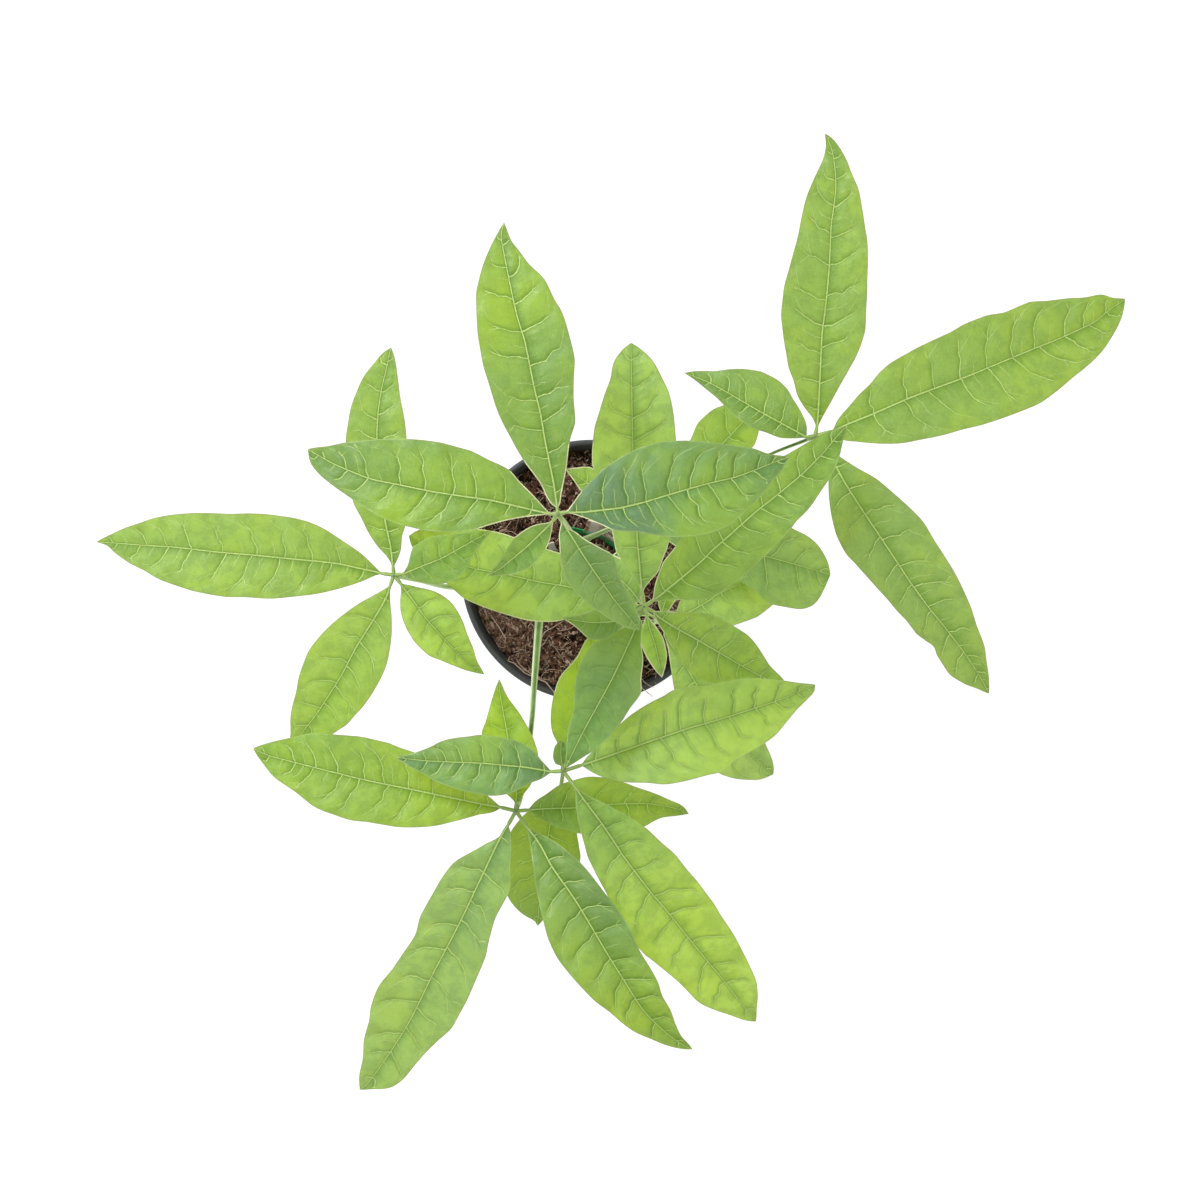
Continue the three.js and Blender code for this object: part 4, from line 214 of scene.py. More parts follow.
    "leaflet_H4": dict(hub="K", base=(31.5, -26.4, 205), tip=(79.4, -90, 192), arch=3, fold=0.08,
        mid=((0.1, -1.7), (0.268, -2.5), (0.434, -3.7), (0.635, -4.3), (0.826, -2.8), (0.926, -1.1)),
        left=((0.034, 2.8), (0.106, 7.7), (0.19, 12.3), (0.288, 14), (0.424, 14), (0.577, 12.1), (0.717, 8.7), (0.834, 5.4), (0.909, 4.1), (0.967, 2.3)),
        right=((0.024, -1.7), (0.069, -2.8), (0.186, -7.6), (0.298, -12.3), (0.412, -16), (0.533, -18.4), (0.664, -19.1), (0.797, -18.7), (0.873, -15.4), (0.946, -9.5), (0.984, -5))),
    "leaflet_I1": dict(hub="I", base=(17.7, 21.1, 231), tip=(-10.4, 40.7, 236), arch=1, fold=0.08,
        mid=((0.227, -0.1), (0.505, -0.6), (0.759, -0.6)),
        left=((0.103, 3), (0.323, 4.8), (0.542, 4.9), (0.71, 3.6), (0.862, 1.7)),
        right=((0.12, -2.2), (0.359, -5.1), (0.583, -7.3), (0.765, -6.8), (0.894, -3.6))),
    "leaflet_I2": dict(hub="I", base=(23.6, 22.3, 231), tip=(69.3, 66.6, 240), arch=2, fold=0.08,
        mid=((0.282, -1.3), (0.466, -1.1), (0.677, -0.9), (0.875, -0.4)),
        left=((0.087, 2.7), (0.247, 5.5), (0.394, 8), (0.527, 9.4), (0.672, 12.5), (0.761, 12.3), (0.853, 10.2), (0.942, 6.4)),
        right=((0.079, -3.8), (0.274, -7.8), (0.472, -9.7), (0.642, -10.4), (0.789, -10.8), (0.904, -7.5))),
    "leaflet_I3": dict(hub="I", base=(25.7, 17.3, 230), tip=(101.5, -3.2, 223), arch=3, fold=0.06,
        mid=((0.267, -0), (0.45, 0), (0.629, 0.3), (0.809, 0.3)),
        left=((0.052, 5.9), (0.171, 11.5), (0.323, 15.6), (0.485, 17.3), (0.628, 16.4), (0.729, 14.7), (0.825, 13.2), (0.881, 11.2), (0.924, 8.6), (0.973, 4.3)),
        right=((0.104, -4.4), (0.236, -7.2), (0.377, -9.4), (0.52, -12.1), (0.632, -15.3), (0.734, -18.6), (0.806, -18.2), (0.877, -17.6), (0.94, -15.2), (0.983, -9), (0.994, -3.1))),
}

# How each leaflet looks: tone (0 dark and cool, 1 bright and yellow; besides the
# leaf's own colour it paints the light each leaf catches from its tilt), quilting
# between the veins in mm, wave of the margin in mm, and pairs of side veins.
LOOK = {
    "A1": (0.45, 0.61, 0.7, 9), "A2": (0.42, 0.68, 0.5, 9), "A3": (0.30, 1.20, 0.5, 10), "A4": (0.42, 0.68, 0.6, 6), "A5": (0.60, 0.42, 0.4, 6),
    "B1": (0.62, 0.42, 0.6, 10), "B2": (0.60, 0.42, 0.5, 8), "B3": (0.78, 0.42, 0.5, 8), "B4": (1.25, 0.36, 0.4, 6), "B5": (0.55, 0.49, 0.4, 6),
    "C1": (0.64, 0.55, 0.7, 10), "C2": (0.74, 0.30, 0.4, 6), "C3": (0.67, 0.61, 0.9, 10), "C4": (0.52, 1.11, 0.8, 10), "C5": (0.52, 0.42, 0.4, 6),
    "D1": (1.10, 1.05, 0.7, 10), "D2": (0.53, 0.93, 0.5, 8), "D3": (0.80, 0.30, 0.5, 6), "D4": (0.95, 0.61, 0.8, 10), "D5": (0.50, 0.17, 0.1, 4), "D6": (0.10, 0.30, 0.4, 7),
    "E1": (0.61, 0.49, 0.6, 10), "E2": (0.72, 0.42, 0.4, 7), "E3": (1.40, 0.24, 0.2, 5), "E4": (0.92, 0.49, 0.5, 9), "E5": (0.50, 0.30, 0.3, 5), "E6": (0.68, 0.36, 0.4, 7), "E7": (0.80, 0.30, 0.3, 5),
    "G1": (0.48, 0.49, 0.7, 10), "G2": (0.42, 0.49, 0.7, 11), "G3": (0.49, 0.42, 0.7, 10), "G4": (0.18, 0.42, 0.5, 7),
    "H1": (0.88, 0.42, 0.5, 9), "H2": (0.80, 0.30, 0.3, 5), "H3": (0.82, 0.30, 0.3, 6), "H4": (0.82, 0.36, 0.5, 7),
    "I1": (0.75, 0.30, 0.3, 5), "I2": (0.62, 0.36, 0.4, 6), "I3": (0.61, 0.42, 0.5, 7),
}
HUB_RADIUS = 1.5
# Blades on which the side veins hardly show.
VEINS = {"A4": 0.35, "A5": 0.65, "E6": 0.4, "E3": 0.5, "E5": 0.45, "B5": 0.6, "D5": 0.3, "C2": 0.6, "D3": 0.6, "H2": 0.6, "E7": 0.6}
# Painted bluish sheen on the blade, against the usual: blue added where a leaf shows more gloss, taken away where it
# shows less.
SHEEN_BLUE = {"H4": 0.21, "E4": 0.12, "H3": 0.14, "C3": 0.125, "I3": 0.17, "A3": 0.09, "D2": 0.10, "D1": 0.095, "H1": 0.06, "C2": -0.16, "C1": -0.06, "D3": -0.10, "E2": -0.03, "A5": 0.06, "G3": 0.05, "E6": 0.03, "G4": 0.03, "G1": 0.02, "B4": 0.03}
LIGHT_FROM = np.array([-0.70, 0.71])

# Broad patches on the blades: place along, place across (-1 right edge to 1 left
# edge), size as a share of the length, and amount (plus is cool and dark, minus
# is yellow and bright).
PATCHES = {
    "A2": ((0.62, 0.75, 0.16, -0.8), (0.35, -0.6, 0.2, -0.4), (0.85, 0.5, 0.15, 0.45), (0.8, -0.4, 0.14, 0.3)),
    "A1": ((0.72, 0.5, 0.16, -0.6), (0.55, 0.7, 0.14, -0.4), (0.7, -0.7, 0.14, -0.4), (0.4, -0.3, 0.22, 0.35)),
    "A3": ((0.18, 0.4, 0.16, 1.0), (0.10, -0.1, 0.12, 0.7), (0.30, -0.7, 0.12, 0.8), (0.66, -0.6, 0.18, -1.0), (0.52, -0.9, 0.13, -0.8), (0.62, 0.5, 0.2, -0.2)),
    "A5": ((0.35, 0.3, 0.3, 0.6), (0.75, 0.3, 0.2, 0.3)),
    "A4": ((0.4, 0.2, 0.25, 0.45), (0.35, 0.8, 0.2, -0.6)),
    "D1": ((0.2, 0.0, 0.2, 0.2), (0.5, 0.5, 0.2, 0.15), (0.62, -0.8, 0.25, -0.8), (0.82, 0.4, 0.16, -0.5), (0.35, -0.9, 0.16, -0.3)),
    "D2": ((0.12, 0.2, 0.16, 0.6), (0.45, -0.6, 0.2, -0.8), (0.55, 0.7, 0.2, -0.3), (0.8, 0.4, 0.15, -0.5)),
    "D3": ((0.5, 0.0, 0.4, -0.6),),
    "D6": ((0.5, 0.0, 0.4, 0.3),),
    "E3": ((0.5, 0.0, 0.6, -0.7),),
    "E1": ((0.85, 0.0, 0.2, -0.5), (0.3, 0.3, 0.2, 0.3)),
    "B3": ((0.5, 0.3, 0.2, -0.3), (0.3, -0.4, 0.18, 0.25)),
    "C1": ((0.3, 0.2, 0.2, -0.3), (0.6, -0.3, 0.2, 0.3), (0.8, 0.3, 0.15, -0.3)),
    "C3": ((0.35, 0.2, 0.2, 0.25), (0.7, -0.3, 0.16, -0.4)),
    "D4": ((0.25, -0.3, 0.16, 0.35), (0.6, 0.4, 0.2, -0.4)),
    "H1": ((0.35, 0.0, 0.2, 0.25), (0.7, 0.3, 0.2, -0.3)),
    "G2": ((0.3, -0.3, 0.2, 0.25), (0.7, 0.4, 0.2, 0.2)),
    "C4": ((0.25, 0.4, 0.2, 0.45), (0.5, 0.3, 0.2, 0.5), (0.6, -0.8, 0.2, -0.5), (0.8, 0.0, 0.14, -0.4)),
    "E6": ((0.4, 0.0, 0.3, 0.55),),
    "G3": ((0.3, 0.2, 0.25, 0.35), (0.7, -0.3, 0.2, 0.3)),
    "E5": ((0.5, 0.0, 0.4, 0.3),),
}


def curve_through(pairs):
    """Monotone cubic through (position, value) pairs, as the CAD has it."""
    x = np.array([p[0] for p in pairs], float)
    y = np.array([p[1] for p in pairs], float)
    h = np.diff(x)
    d = np.diff(y) / h
    m = np.zeros(len(x))
    for i in range(1, len(x) - 1):
        if d[i - 1] * d[i] > 0:
            a, b = h[i - 1], h[i]
            m[i] = 3 * (a + b) / ((2 * b + a) / d[i - 1] + (b + 2 * a) / d[i])
    m[0], m[-1] = d[0] * 1.4, d[-1] * 1.4

    def value(t):
        t = np.clip(np.asarray(t, float), x[0], x[-1])
        i = np.clip(np.searchsorted(x, t, side="right") - 1, 0, len(h) - 1)
        k = (t - x[i]) / h[i]
        k2, k3 = k * k, k * k * k
        return (y[i] * (2 * k3 - 3 * k2 + 1) + h[i] * m[i] * (k3 - 2 * k2 + k)
                + y[i + 1] * (3 * k2 - 2 * k3) + h[i] * m[i + 1] * (k3 - k2))

    return value


def smooth(a, b, x):
    t = np.clip((x - a) / (b - a), 0, 1)
    return t * t * (3 - 2 * t)


def value_noise(p, seed):
    """Smooth noise from -1 to 1 at points p (n, 2 or 3), one cell a unit."""
    p = np.asarray(p, float)
    if p.shape[1] == 2:
        p = np.column_stack([p, np.full(len(p), 0.37)])
    i = np.floor(p).astype(np.int64)
    f = p - i
    f = f * f * (3 - 2 * f)
    out = np.zeros(len(p))
    for dx in (0, 1):
        for dy in (0, 1):
            for dz in (0, 1):
                q = (i[:, 0] + dx) * 73856093 ^ (i[:, 1] + dy) * 19349663 ^ (i[:, 2] + dz) * 83492791 ^ (seed * 2654435761)
                q = (q ^ (q >> 13)) * 1274126177 & 0xFFFFFFFF
                q = (q ^ (q >> 16)) & 0xFFFF
                w = (f[:, 0] if dx else 1 - f[:, 0]) * (f[:, 1] if dy else 1 - f[:, 1]) * (f[:, 2] if dz else 1 - f[:, 2])
                out += w * (q / 32767.5 - 1)
    return out


def fractal(p, seed, octaves=3):
    total, size, gain = 0.0, 1.0, 0.0
    for k in range(octaves):
        total = total + size * value_noise(np.asarray(p) * 2 ** k, seed + k)
        gain += size
        size *= 0.5
    return total / gain


def make_mesh(name, verts, faces, attributes=None, sharp=None):
    """A mesh piece from millimetres, with smooth faces and point attributes."""
    mesh = bpy.data.meshes.new(name)
    mesh.from_pydata((np.asarray(verts, float) * MM).tolist(), [], faces if isinstance(faces, list) else faces.tolist())
    mesh.validate()
    mesh.polygons.foreach_set("use_smooth", [True] * len(mesh.polygons))
    for key, data in (attributes or {}).items():
        layer = mesh.attributes.new(key, "FLOAT", "POINT")
        layer.data.foreach_set("value", np.asarray(data, np.float32))
    if sharp is not None:
        on_rim = np.zeros(len(mesh.vertices), np.int64)
        for k, ring in enumerate(sharp):
            on_rim[ring] = k + 1
        ends = np.zeros(len(mesh.edges) * 2, np.int64)
        mesh.edges.foreach_get("vertices", ends)
        ends = ends.reshape(-1, 2)
        a, b = on_rim[ends[:, 0]], on_rim[ends[:, 1]]
        layer = mesh.attributes.new("sharp_edge", "BOOLEAN", "EDGE")
        layer.data.foreach_set("value", (a > 0) & (a == b))
    mesh.update()
    ob = bpy.data.objects.new(name, mesh)
    scene.collection.objects.link(ob)
    return ob


def settle(ob, slot, material, *nodes):
    ob.data.materials.clear()
    ob.data.materials.append(material)
    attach(ob, "root")
    if nodes:
        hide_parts(*nodes)
    return ob


# ---- material nodes ---------------------------------------------------------
class Nodes:
    """Short names for building one material's node tree."""

    def __init__(self, name):
        self.mat = bpy.data.materials.new(name)
        self.mat.use_nodes = True
        self.tree = self.mat.node_tree
        self.tree.nodes.clear()
        self.out = self.tree.nodes.new("ShaderNodeOutputMaterial")
        self.coords = self.tree.nodes.new("ShaderNodeTexCoord").outputs["Object"]

    def put(self, socket, value):
        if isinstance(value, bpy.types.NodeSocket):
            self.tree.links.new(value, socket)
        elif isinstance(value, (tuple, list)) and len(value) == 3 and socket.type == "RGBA":
            socket.default_value = (*value, 1.0)
        else:
            socket.default_value = value

    def attr(self, name):
        n = self.tree.nodes.new("ShaderNodeAttribute")
        n.attribute_name = name
        return n.outputs["Fac"]

    def math(self, operation, a, b=None, c=None):
        n = self.tree.nodes.new("ShaderNodeMath")
        n.operation = operation
        for socket, value in zip(n.inputs, (a, b, c)):
            if value is not None:
                self.put(socket, value)
        return n.outputs[0]

    def scaled(self, x, y, z, source=None):
        n = self.tree.nodes.new("ShaderNodeMapping")
        self.put(n.inputs["Vector"], source or self.coords)
        n.inputs["Scale"].default_value = (x, y, z)
        return n.outputs[0]

    def noise(self, vector, scale, detail=2.0, rough=0.5, distortion=0.0, out="Fac"):
        n = self.tree.nodes.new("ShaderNodeTexNoise")
        self.put(n.inputs["Vector"], vector)
        n.inputs["Scale"].default_value = scale
        n.inputs["Detail"].default_value = detail
        n.inputs["Roughness"].default_value = rough
        n.inputs["Distortion"].default_value = distortion
        return n.outputs[out]

    def voronoi(self, vector, scale, feature="F1", out="Distance", random=1.0, dims="3D"):
        n = self.tree.nodes.new("ShaderNodeTexVoronoi")
        n.voronoi_dimensions = dims
        n.feature = feature
        self.put(n.inputs["Vector"], vector)
        n.inputs["Scale"].default_value = scale
        n.inputs["Randomness"].default_value = random
        return n.outputs[out]

    def step(self, x, a, b, low=0.0, high=1.0):
        """low before a, high after b, smooth between; a may be above b."""
        n = self.tree.nodes.new("ShaderNodeMapRange")
        n.interpolation_type = "SMOOTHSTEP"
        if a > b:
            a, b, low, high = b, a, high, low
        self.put(n.inputs["Value"], x)
        for key, value in (("From Min", a), ("From Max", b), ("To Min", low), ("To Max", high)):
            n.inputs[key].default_value = value
        return n.outputs[0]

    def mix(self, share, a, b, blend="MIX"):
        n = self.tree.nodes.new("ShaderNodeMix")
        n.data_type = "RGBA"
        n.blend_type = blend
        n.clamp_factor = True
        self.put(n.inputs["Factor"], share)
        self.put(n.inputs[6], a)
        self.put(n.inputs[7], b)
        return n.outputs[2]

    def bump(self, height, distance, strength=1.0, normal=None):
        n = self.tree.nodes.new("ShaderNodeBump")
        self.put(n.inputs["Height"], height)
        n.inputs["Distance"].default_value = distance
        n.inputs["Strength"].default_value = strength
        if normal is not None:
            self.put(n.inputs["Normal"], normal)
        return n.outputs[0]

    def principled(self, colour, rough, normal=None, specular=0.5, coat=0.0, coat_rough=0.2):
        n = self.tree.nodes.new("ShaderNodeBsdfPrincipled")
        self.put(n.inputs["Base Color"], colour)
        self.put(n.inputs["Roughness"], rough)
        n.inputs["Specular IOR Level"].default_value = specular
        n.inputs["Coat Weight"].default_value = coat
        n.inputs["Coat Roughness"].default_value = coat_rough
        if normal is not None:
            self.put(n.inputs["Normal"], normal)
        return n.outputs[0]

    def finish(self, shader):
        self.tree.links.new(shader, self.out.inputs["Surface"])
        return self.mat


def leaf_material():
    """Green blade with pale veins: light from below shows through it yellow."""
    k = Nodes("leaf_blade")
    mul, div, add, sub = (lambda a, b, o=o: k.math(o, a, b) for o in ("MULTIPLY", "DIVIDE", "ADD", "SUBTRACT"))
    size = lambda a: k.math("ABSOLUTE", a)
    mm = k.scaled(1000.0, 1000.0, 1000.0)
    tone, under, edge, across = k.attr("tone"), k.attr("under"), k.attr("edge"), k.attr("across")
    bulge, along, quilt, patchy = k.attr("bulge"), k.attr("along"), k.attr("quilt"), k.attr("patch")
    rib_s, rib_w, leaf_id, facing = k.attr("rib_s"), k.attr("rib_w"), k.attr("leaf_id"), k.attr("facing")
    from_rib = size(rib_s)
    rib = k.step(div(from_rib, rib_w), 1.0, 0.62)
    groove = k.step(div(from_rib, rib_w), 2.9, 1.2)
    side = k.step(rib_s, -0.01, 0.01)

    # side veins run along whole numbers of a coordinate kept on the mesh
    wave = mul(sub(k.noise(mm, 0.30, 2.0, 0.6), 0.5), 0.10)
    q = add(add(k.attr("turn_b"), mul(side, sub(k.attr("turn_a"), k.attr("turn_b")))), wave)
    gap = add(k.attr("gap_b"), mul(side, sub(k.attr("gap_a"), k.attr("gap_b"))))

    def chance(number, salt):
        join = k.tree.nodes.new("ShaderNodeCombineXYZ")
        k.put(join.inputs[0], number)
        k.put(join.inputs[1], add(leaf_id, mul(side, 5.0)))
        join.inputs[2].default_value = salt
        dice = k.tree.nodes.new("ShaderNodeTexWhiteNoise")
        dice.noise_dimensions = "3D"
        k.tree.links.new(join.outputs[0], dice.inputs[0])
        out = k.tree.nodes.new("ShaderNodeSeparateColor")
        k.tree.links.new(dice.outputs["Color"], out.inputs[0])
        return out.outputs[0], out.outputs[1], out.outputs[2]

    def line(away, half, soft=1.0):
        return k.step(div(size(away), half), 1.0 + 0.35 * soft, 1.0 - 0.35 * soft)

    whole = k.math("ROUND", q)
    off = mul(sub(q, whole), gap)
    r1, r2, r3 = chance(whole, 0.5)
    stop = k.math("MULTIPLY_ADD", r1, 0.26, 0.66)
    fade = k.step(sub(across, stop), 0.02, -0.10)
    width = k.math("MULTIPLY_ADD", across, -0.10, 0.215)
    width = mul(width, k.math("MULTIPLY_ADD", r2, 0.4, 0.75))
    vein = mul(line(off, width), fade)
    near_vein = mul(k.step(size(off), 1.9, 0.3), k.step(sub(across, stop), 0.05, -0.2))
    cell = k.math("FLOOR", q)
    part = sub(q, cell)
    c1, c2, c3 = chance(cell, 3.5)
    f1, f2, f3 = chance(cell, 7.5)
    # a short one between two long ones
    reach = k.math("MULTIPLY_ADD", c2, 0.36, 0.24)
    short = line(mul(sub(part, k.math("MULTIPLY_ADD", c1, 0.3, 0.35)), gap), 0.14)
    short = mul(mul(short, k.step(sub(across, reach), 0.0, -0.10)), k.step(c3, 0.30, 0.32))
    # forks near the end, forwards and backwards
    split_a = sub(across, k.math("MULTIPLY_ADD", f1, 0.26, 0.46))
    fork = line(mul(sub(part, mul(split_a, k.math("MULTIPLY_ADD", c1, 1.3, 0.9))), mul(gap, 0.75)), 0.135)
    fork = mul(mul(fork, k.step(split_a, 0.0, 0.01)), k.step(split_a, 0.30, 0.2))
    split_b = sub(across, k.math("MULTIPLY_ADD", f2, 0.30, 0.44))
    back = line(mul(sub(sub(1.0, part), mul(split_b, k.math("MULTIPLY_ADD", c2, 1.2, 0.8))), mul(gap, 0.75)), 0.125)
    back = mul(mul(back, k.step(split_b, 0.0, 0.01)), mul(k.step(split_b, 0.24, 0.14), k.step(f3, 0.4, 0.42)))
    minor = k.math("MAXIMUM", k.math("MAXIMUM", mul(fork, 0.8), mul(back, 0.7)), mul(short, 0.75))
    minor = mul(minor, k.step(gap, 1.5, 3.5))
    vein = mul(vein, k.step(gap, 0.8, 2.0))
    lines = mul(k.math("MAXIMUM", vein, minor), k.attr("veins"))

    # a faint net of the finest veins, in cells of about 3 mm
    warp = k.noise(mm, 0.35, 1.0, out="Color")
    warped = k.tree.nodes.new("ShaderNodeVectorMath")
    warped.operation = "MULTIPLY_ADD"
    k.put(warped.inputs[0], warp)
    warped.inputs[1].default_value = (1.8, 1.8, 1.8)
    k.put(warped.inputs[2], mm)
    net = k.step(k.voronoi(warped.outputs[0], 0.34, "DISTANCE_TO_EDGE", dims="2D"), 0.08, 0.015)
    fine = k.step(k.voronoi(warped.outputs[0], 0.95, "DISTANCE_TO_EDGE", dims="2D"), 0.13, 0.02)
    patch = k.noise(mm, 0.042, 3.0, 0.55)
    mottle = k.noise(mm, 0.16, 4.0, 0.62)
    grain = k.noise(mm, 0.85, 3.0, 0.7)
    speck = k.step(k.noise(mm, 0.95, 0.0), 0.80, 0.84)

    # dark streaks square to the midrib, on the side turned from the light
    lane = k.tree.nodes.new("ShaderNodeCombineXYZ")
    k.put(lane.inputs[0], mul(add(along, mul(from_rib, -0.25)), 0.50))
    k.put(lane.inputs[1], mul(rib_s, 0.09))
    k.put(lane.inputs[2], leaf_id)
    streak = k.step(k.noise(lane.outputs[0], 1.0, 3.0, 0.7), 0.44, 0.68)
    lee = k.step(mul(rib_s, facing), 0.35, -0.35)
    lee = k.math("MULTIPLY_ADD", lee, 0.75, 0.25)
    streak = mul(mul(streak, lee), k.step(from_rib, 10.0, 0.5))
    rib_shade = mul(k.step(from_rib, 4.2, 0.3), lee)
    # beside each side vein, painted shade on the half turned from the light and a painted highlight on the bulge of the
    # half turned to it
    vein_shade = mul(k.step(mul(off, k.attr("lit")), -0.15, 0.45), near_vein)
    bulge_highlight = mul(k.step(mul(off, k.attr("lit")), 0.15, -0.6), mul(k.step(size(off), 3.2, 0.9), bulge))

    warm = k.math("MAXIMUM", k.step(patchy, 0.0, -1.0), 0.0)
    cool = k.step(patchy, 0.0, 1.0)

    # colour of light sent back; its raised blue partly paints the whitish sheen of the sky on the gloss
    blade = k.mix(tone, (0.040, 0.175, 0.205), (0.195, 0.560, 0.270))
    blade = k.mix(k.step(patch, 0.40, 0.62, 0.0, 0.65), blade, (0.195, 0.480, 0.175))
    blade = k.mix(k.step(mottle, 0.42, 0.60, 0.0, 0.70), blade, (0.052, 0.212, 0.180))
    blade = k.mix(k.step(grain, 0.47, 0.66, 0.0, 0.62), blade, (0.25, 0.46, 0.27))
    blade = k.mix(k.step(k.noise(mm, 1.9, 2.0, 0.6), 0.42, 0.66, 0.0, 0.38), blade, (0.040, 0.17, 0.10))
    blade = k.mix(mul(warm, 0.7), blade, (0.195, 0.485, 0.085))
    blade = k.mix(mul(cool, 0.85), blade, (0.090, 0.215, 0.250))
    blade = k.mix(mul(streak, 0.60), blade, (0.035, 0.170, 0.045))
    blade = k.mix(mul(rib_shade, 0.60), blade, (0.035, 0.165, 0.055))
    blade = k.mix(mul(vein_shade, k.math("MULTIPLY_ADD", quilt, 0.44, 0.15)), blade, (0.018, 0.110, 0.026))
    blade = k.mix(mul(bulge_highlight, mul(quilt, 0.40)), blade, (0.42, 0.62, 0.42))
    # higher tone brightens the blade: partly the leaf's own colour, partly painted light on leaves that catch more of
    # it
    blade = k.mix(k.step(tone, 0.5, 1.0), blade, (0.20, 0.26, 0.06), "ADD")
    blade = k.mix(k.step(tone, 1.0, 1.4), blade, (0.13, 0.16, 0.04), "ADD")
    # painted sheen: blue added to or taken from the blade, leaf by leaf
    blade = k.mix(k.math("MAXIMUM", k.attr("sheen_blue"), 0.0), blade, (0.0, 0.0, 1.0), "ADD")
    blade = k.mix(k.math("MAXIMUM", mul(k.attr("sheen_blue"), -1.0), 0.0), blade, (0.0, 0.0, 1.0), "SUBTRACT")
    blade = k.mix(mul(fine, 0.07), blade, (0.42, 0.62, 0.30))
    blade = k.mix(mul(net, 0.14), blade, (0.42, 0.62, 0.30))
    # painted shade in the groove beside the midrib, deeper on the side turned from the light
    rib_groove_shade = mul(groove, k.math("MULTIPLY_ADD", lee, 0.32, 0.42))
    # painted shade in the groove along each side vein
    vein_groove_shade = mul(mul(k.step(size(off), 1.05, 0.35), fade), mul(k.step(gap, 1.5, 3.5), k.attr("veins")))
    blade = k.mix(mul(vein_groove_shade, 0.30), blade, (0.030, 0.140, 0.035))
    blade = k.mix(rib_groove_shade, blade, (0.022, 0.115, 0.030))
    blade = k.mix(mul(lines, 0.96), blade, (0.76, 1.0, 0.35))
    blade = k.mix(mul(rib, 0.97), blade, (0.71, 0.96, 0.32))
    blade = k.mix(mul(speck, 0.45), blade, (0.72, 0.80, 0.55))
    # painted highlight along the margin where the pot, soil or another leaf lies behind it as seen from the camera; a
    # dull margin where the table lies behind
    margin = k.step(edge, 0.62, 0.34)
    rim_highlight = mul(margin, k.attr("over"))
    dull_rim = mul(k.step(edge, 0.50, 0.22), k.step(k.attr("over"), 0.30, 0.0))
    ground = k.step(k.attr("over"), 0.45, 0.95)
    blade = k.mix(mul(rim_highlight, 0.95), blade, k.mix(ground, (0.78, 0.97, 0.28), (0.98, 0.99, 0.50)))
    blade = k.mix(mul(dull_rim, 0.62), blade, (0.30, 0.29, 0.17))
    blade = k.mix(mul(k.step(edge, 0.05, 0.02), 0.8), blade, (0.30, 0.28, 0.18))
    # the leaflet's own stalk: green centre, edges painted pale as a highlight where the pot, soil or another leaf lies
    # behind them, dull where the table does
    own = k.attr("stalk")
    own_edge = k.mix(k.attr("over"), (0.46, 0.56, 0.18), (0.93, 0.98, 0.52))
    own_tone = k.mix(k.step(size(rib_s), 0.34, 0.68), (0.54, 0.76, 0.21), own_edge)
    blade = k.mix(own, blade, own_tone)
    blade = k.mix(mul(under, 0.45), blade, (0.28, 0.46, 0.24))
    # colour of light let through
    glow = k.mix(tone, (0.69, 0.845, 0.12), (0.920, 1.0, 0.17))
    glow = k.mix(k.step(patch, 0.40, 0.64, 0.0, 0.50), glow, (0.90, 0.99, 0.12))
    glow = k.mix(k.step(mottle, 0.40, 0.62, 0.0, 0.55), glow, (0.70, 0.85, 0.13))
    glow = k.mix(k.step(grain, 0.4, 0.75, 0.0, 0.25), glow, (0.92, 0.97, 0.26))
    glow = k.mix(mul(warm, 0.6), glow, (0.94, 1.0, 0.06))
    glow = k.mix(mul(cool, 0.8), glow, (0.62, 0.76, 0.17))
    glow = k.mix(mul(streak, 0.45), glow, (0.60, 0.80, 0.10))
    glow = k.mix(mul(rib_shade, 0.55), glow, (0.60, 0.78, 0.10))
    glow = k.mix(mul(vein_shade, k.math("MULTIPLY_ADD", quilt, 0.46, 0.12)), glow, (0.40, 0.62, 0.06))
    glow = k.mix(mul(net, 0.12), glow, (0.90, 0.96, 0.42))
    glow = k.mix(mul(vein_groove_shade, 0.23), glow, (0.55, 0.74, 0.12))
    glow = k.mix(mul(rib_groove_shade, 0.6), glow, (0.50, 0.70, 0.12))
    glow = k.mix(mul(lines, 0.80), glow, (1.0, 1.0, 0.46))
    glow = k.mix(mul(rib, 0.90), glow, (1.0, 1.0, 0.44))
    glow = k.mix(mul(rim_highlight, 0.9), glow, k.mix(ground, (0.96, 1.0, 0.34), (1.0, 1.0, 0.54)))
    glow = k.mix(mul(dull_rim, 0.7), glow, (0.74, 0.76, 0.44))
    glow = k.mix(own, glow, (0.62, 0.80, 0.17))

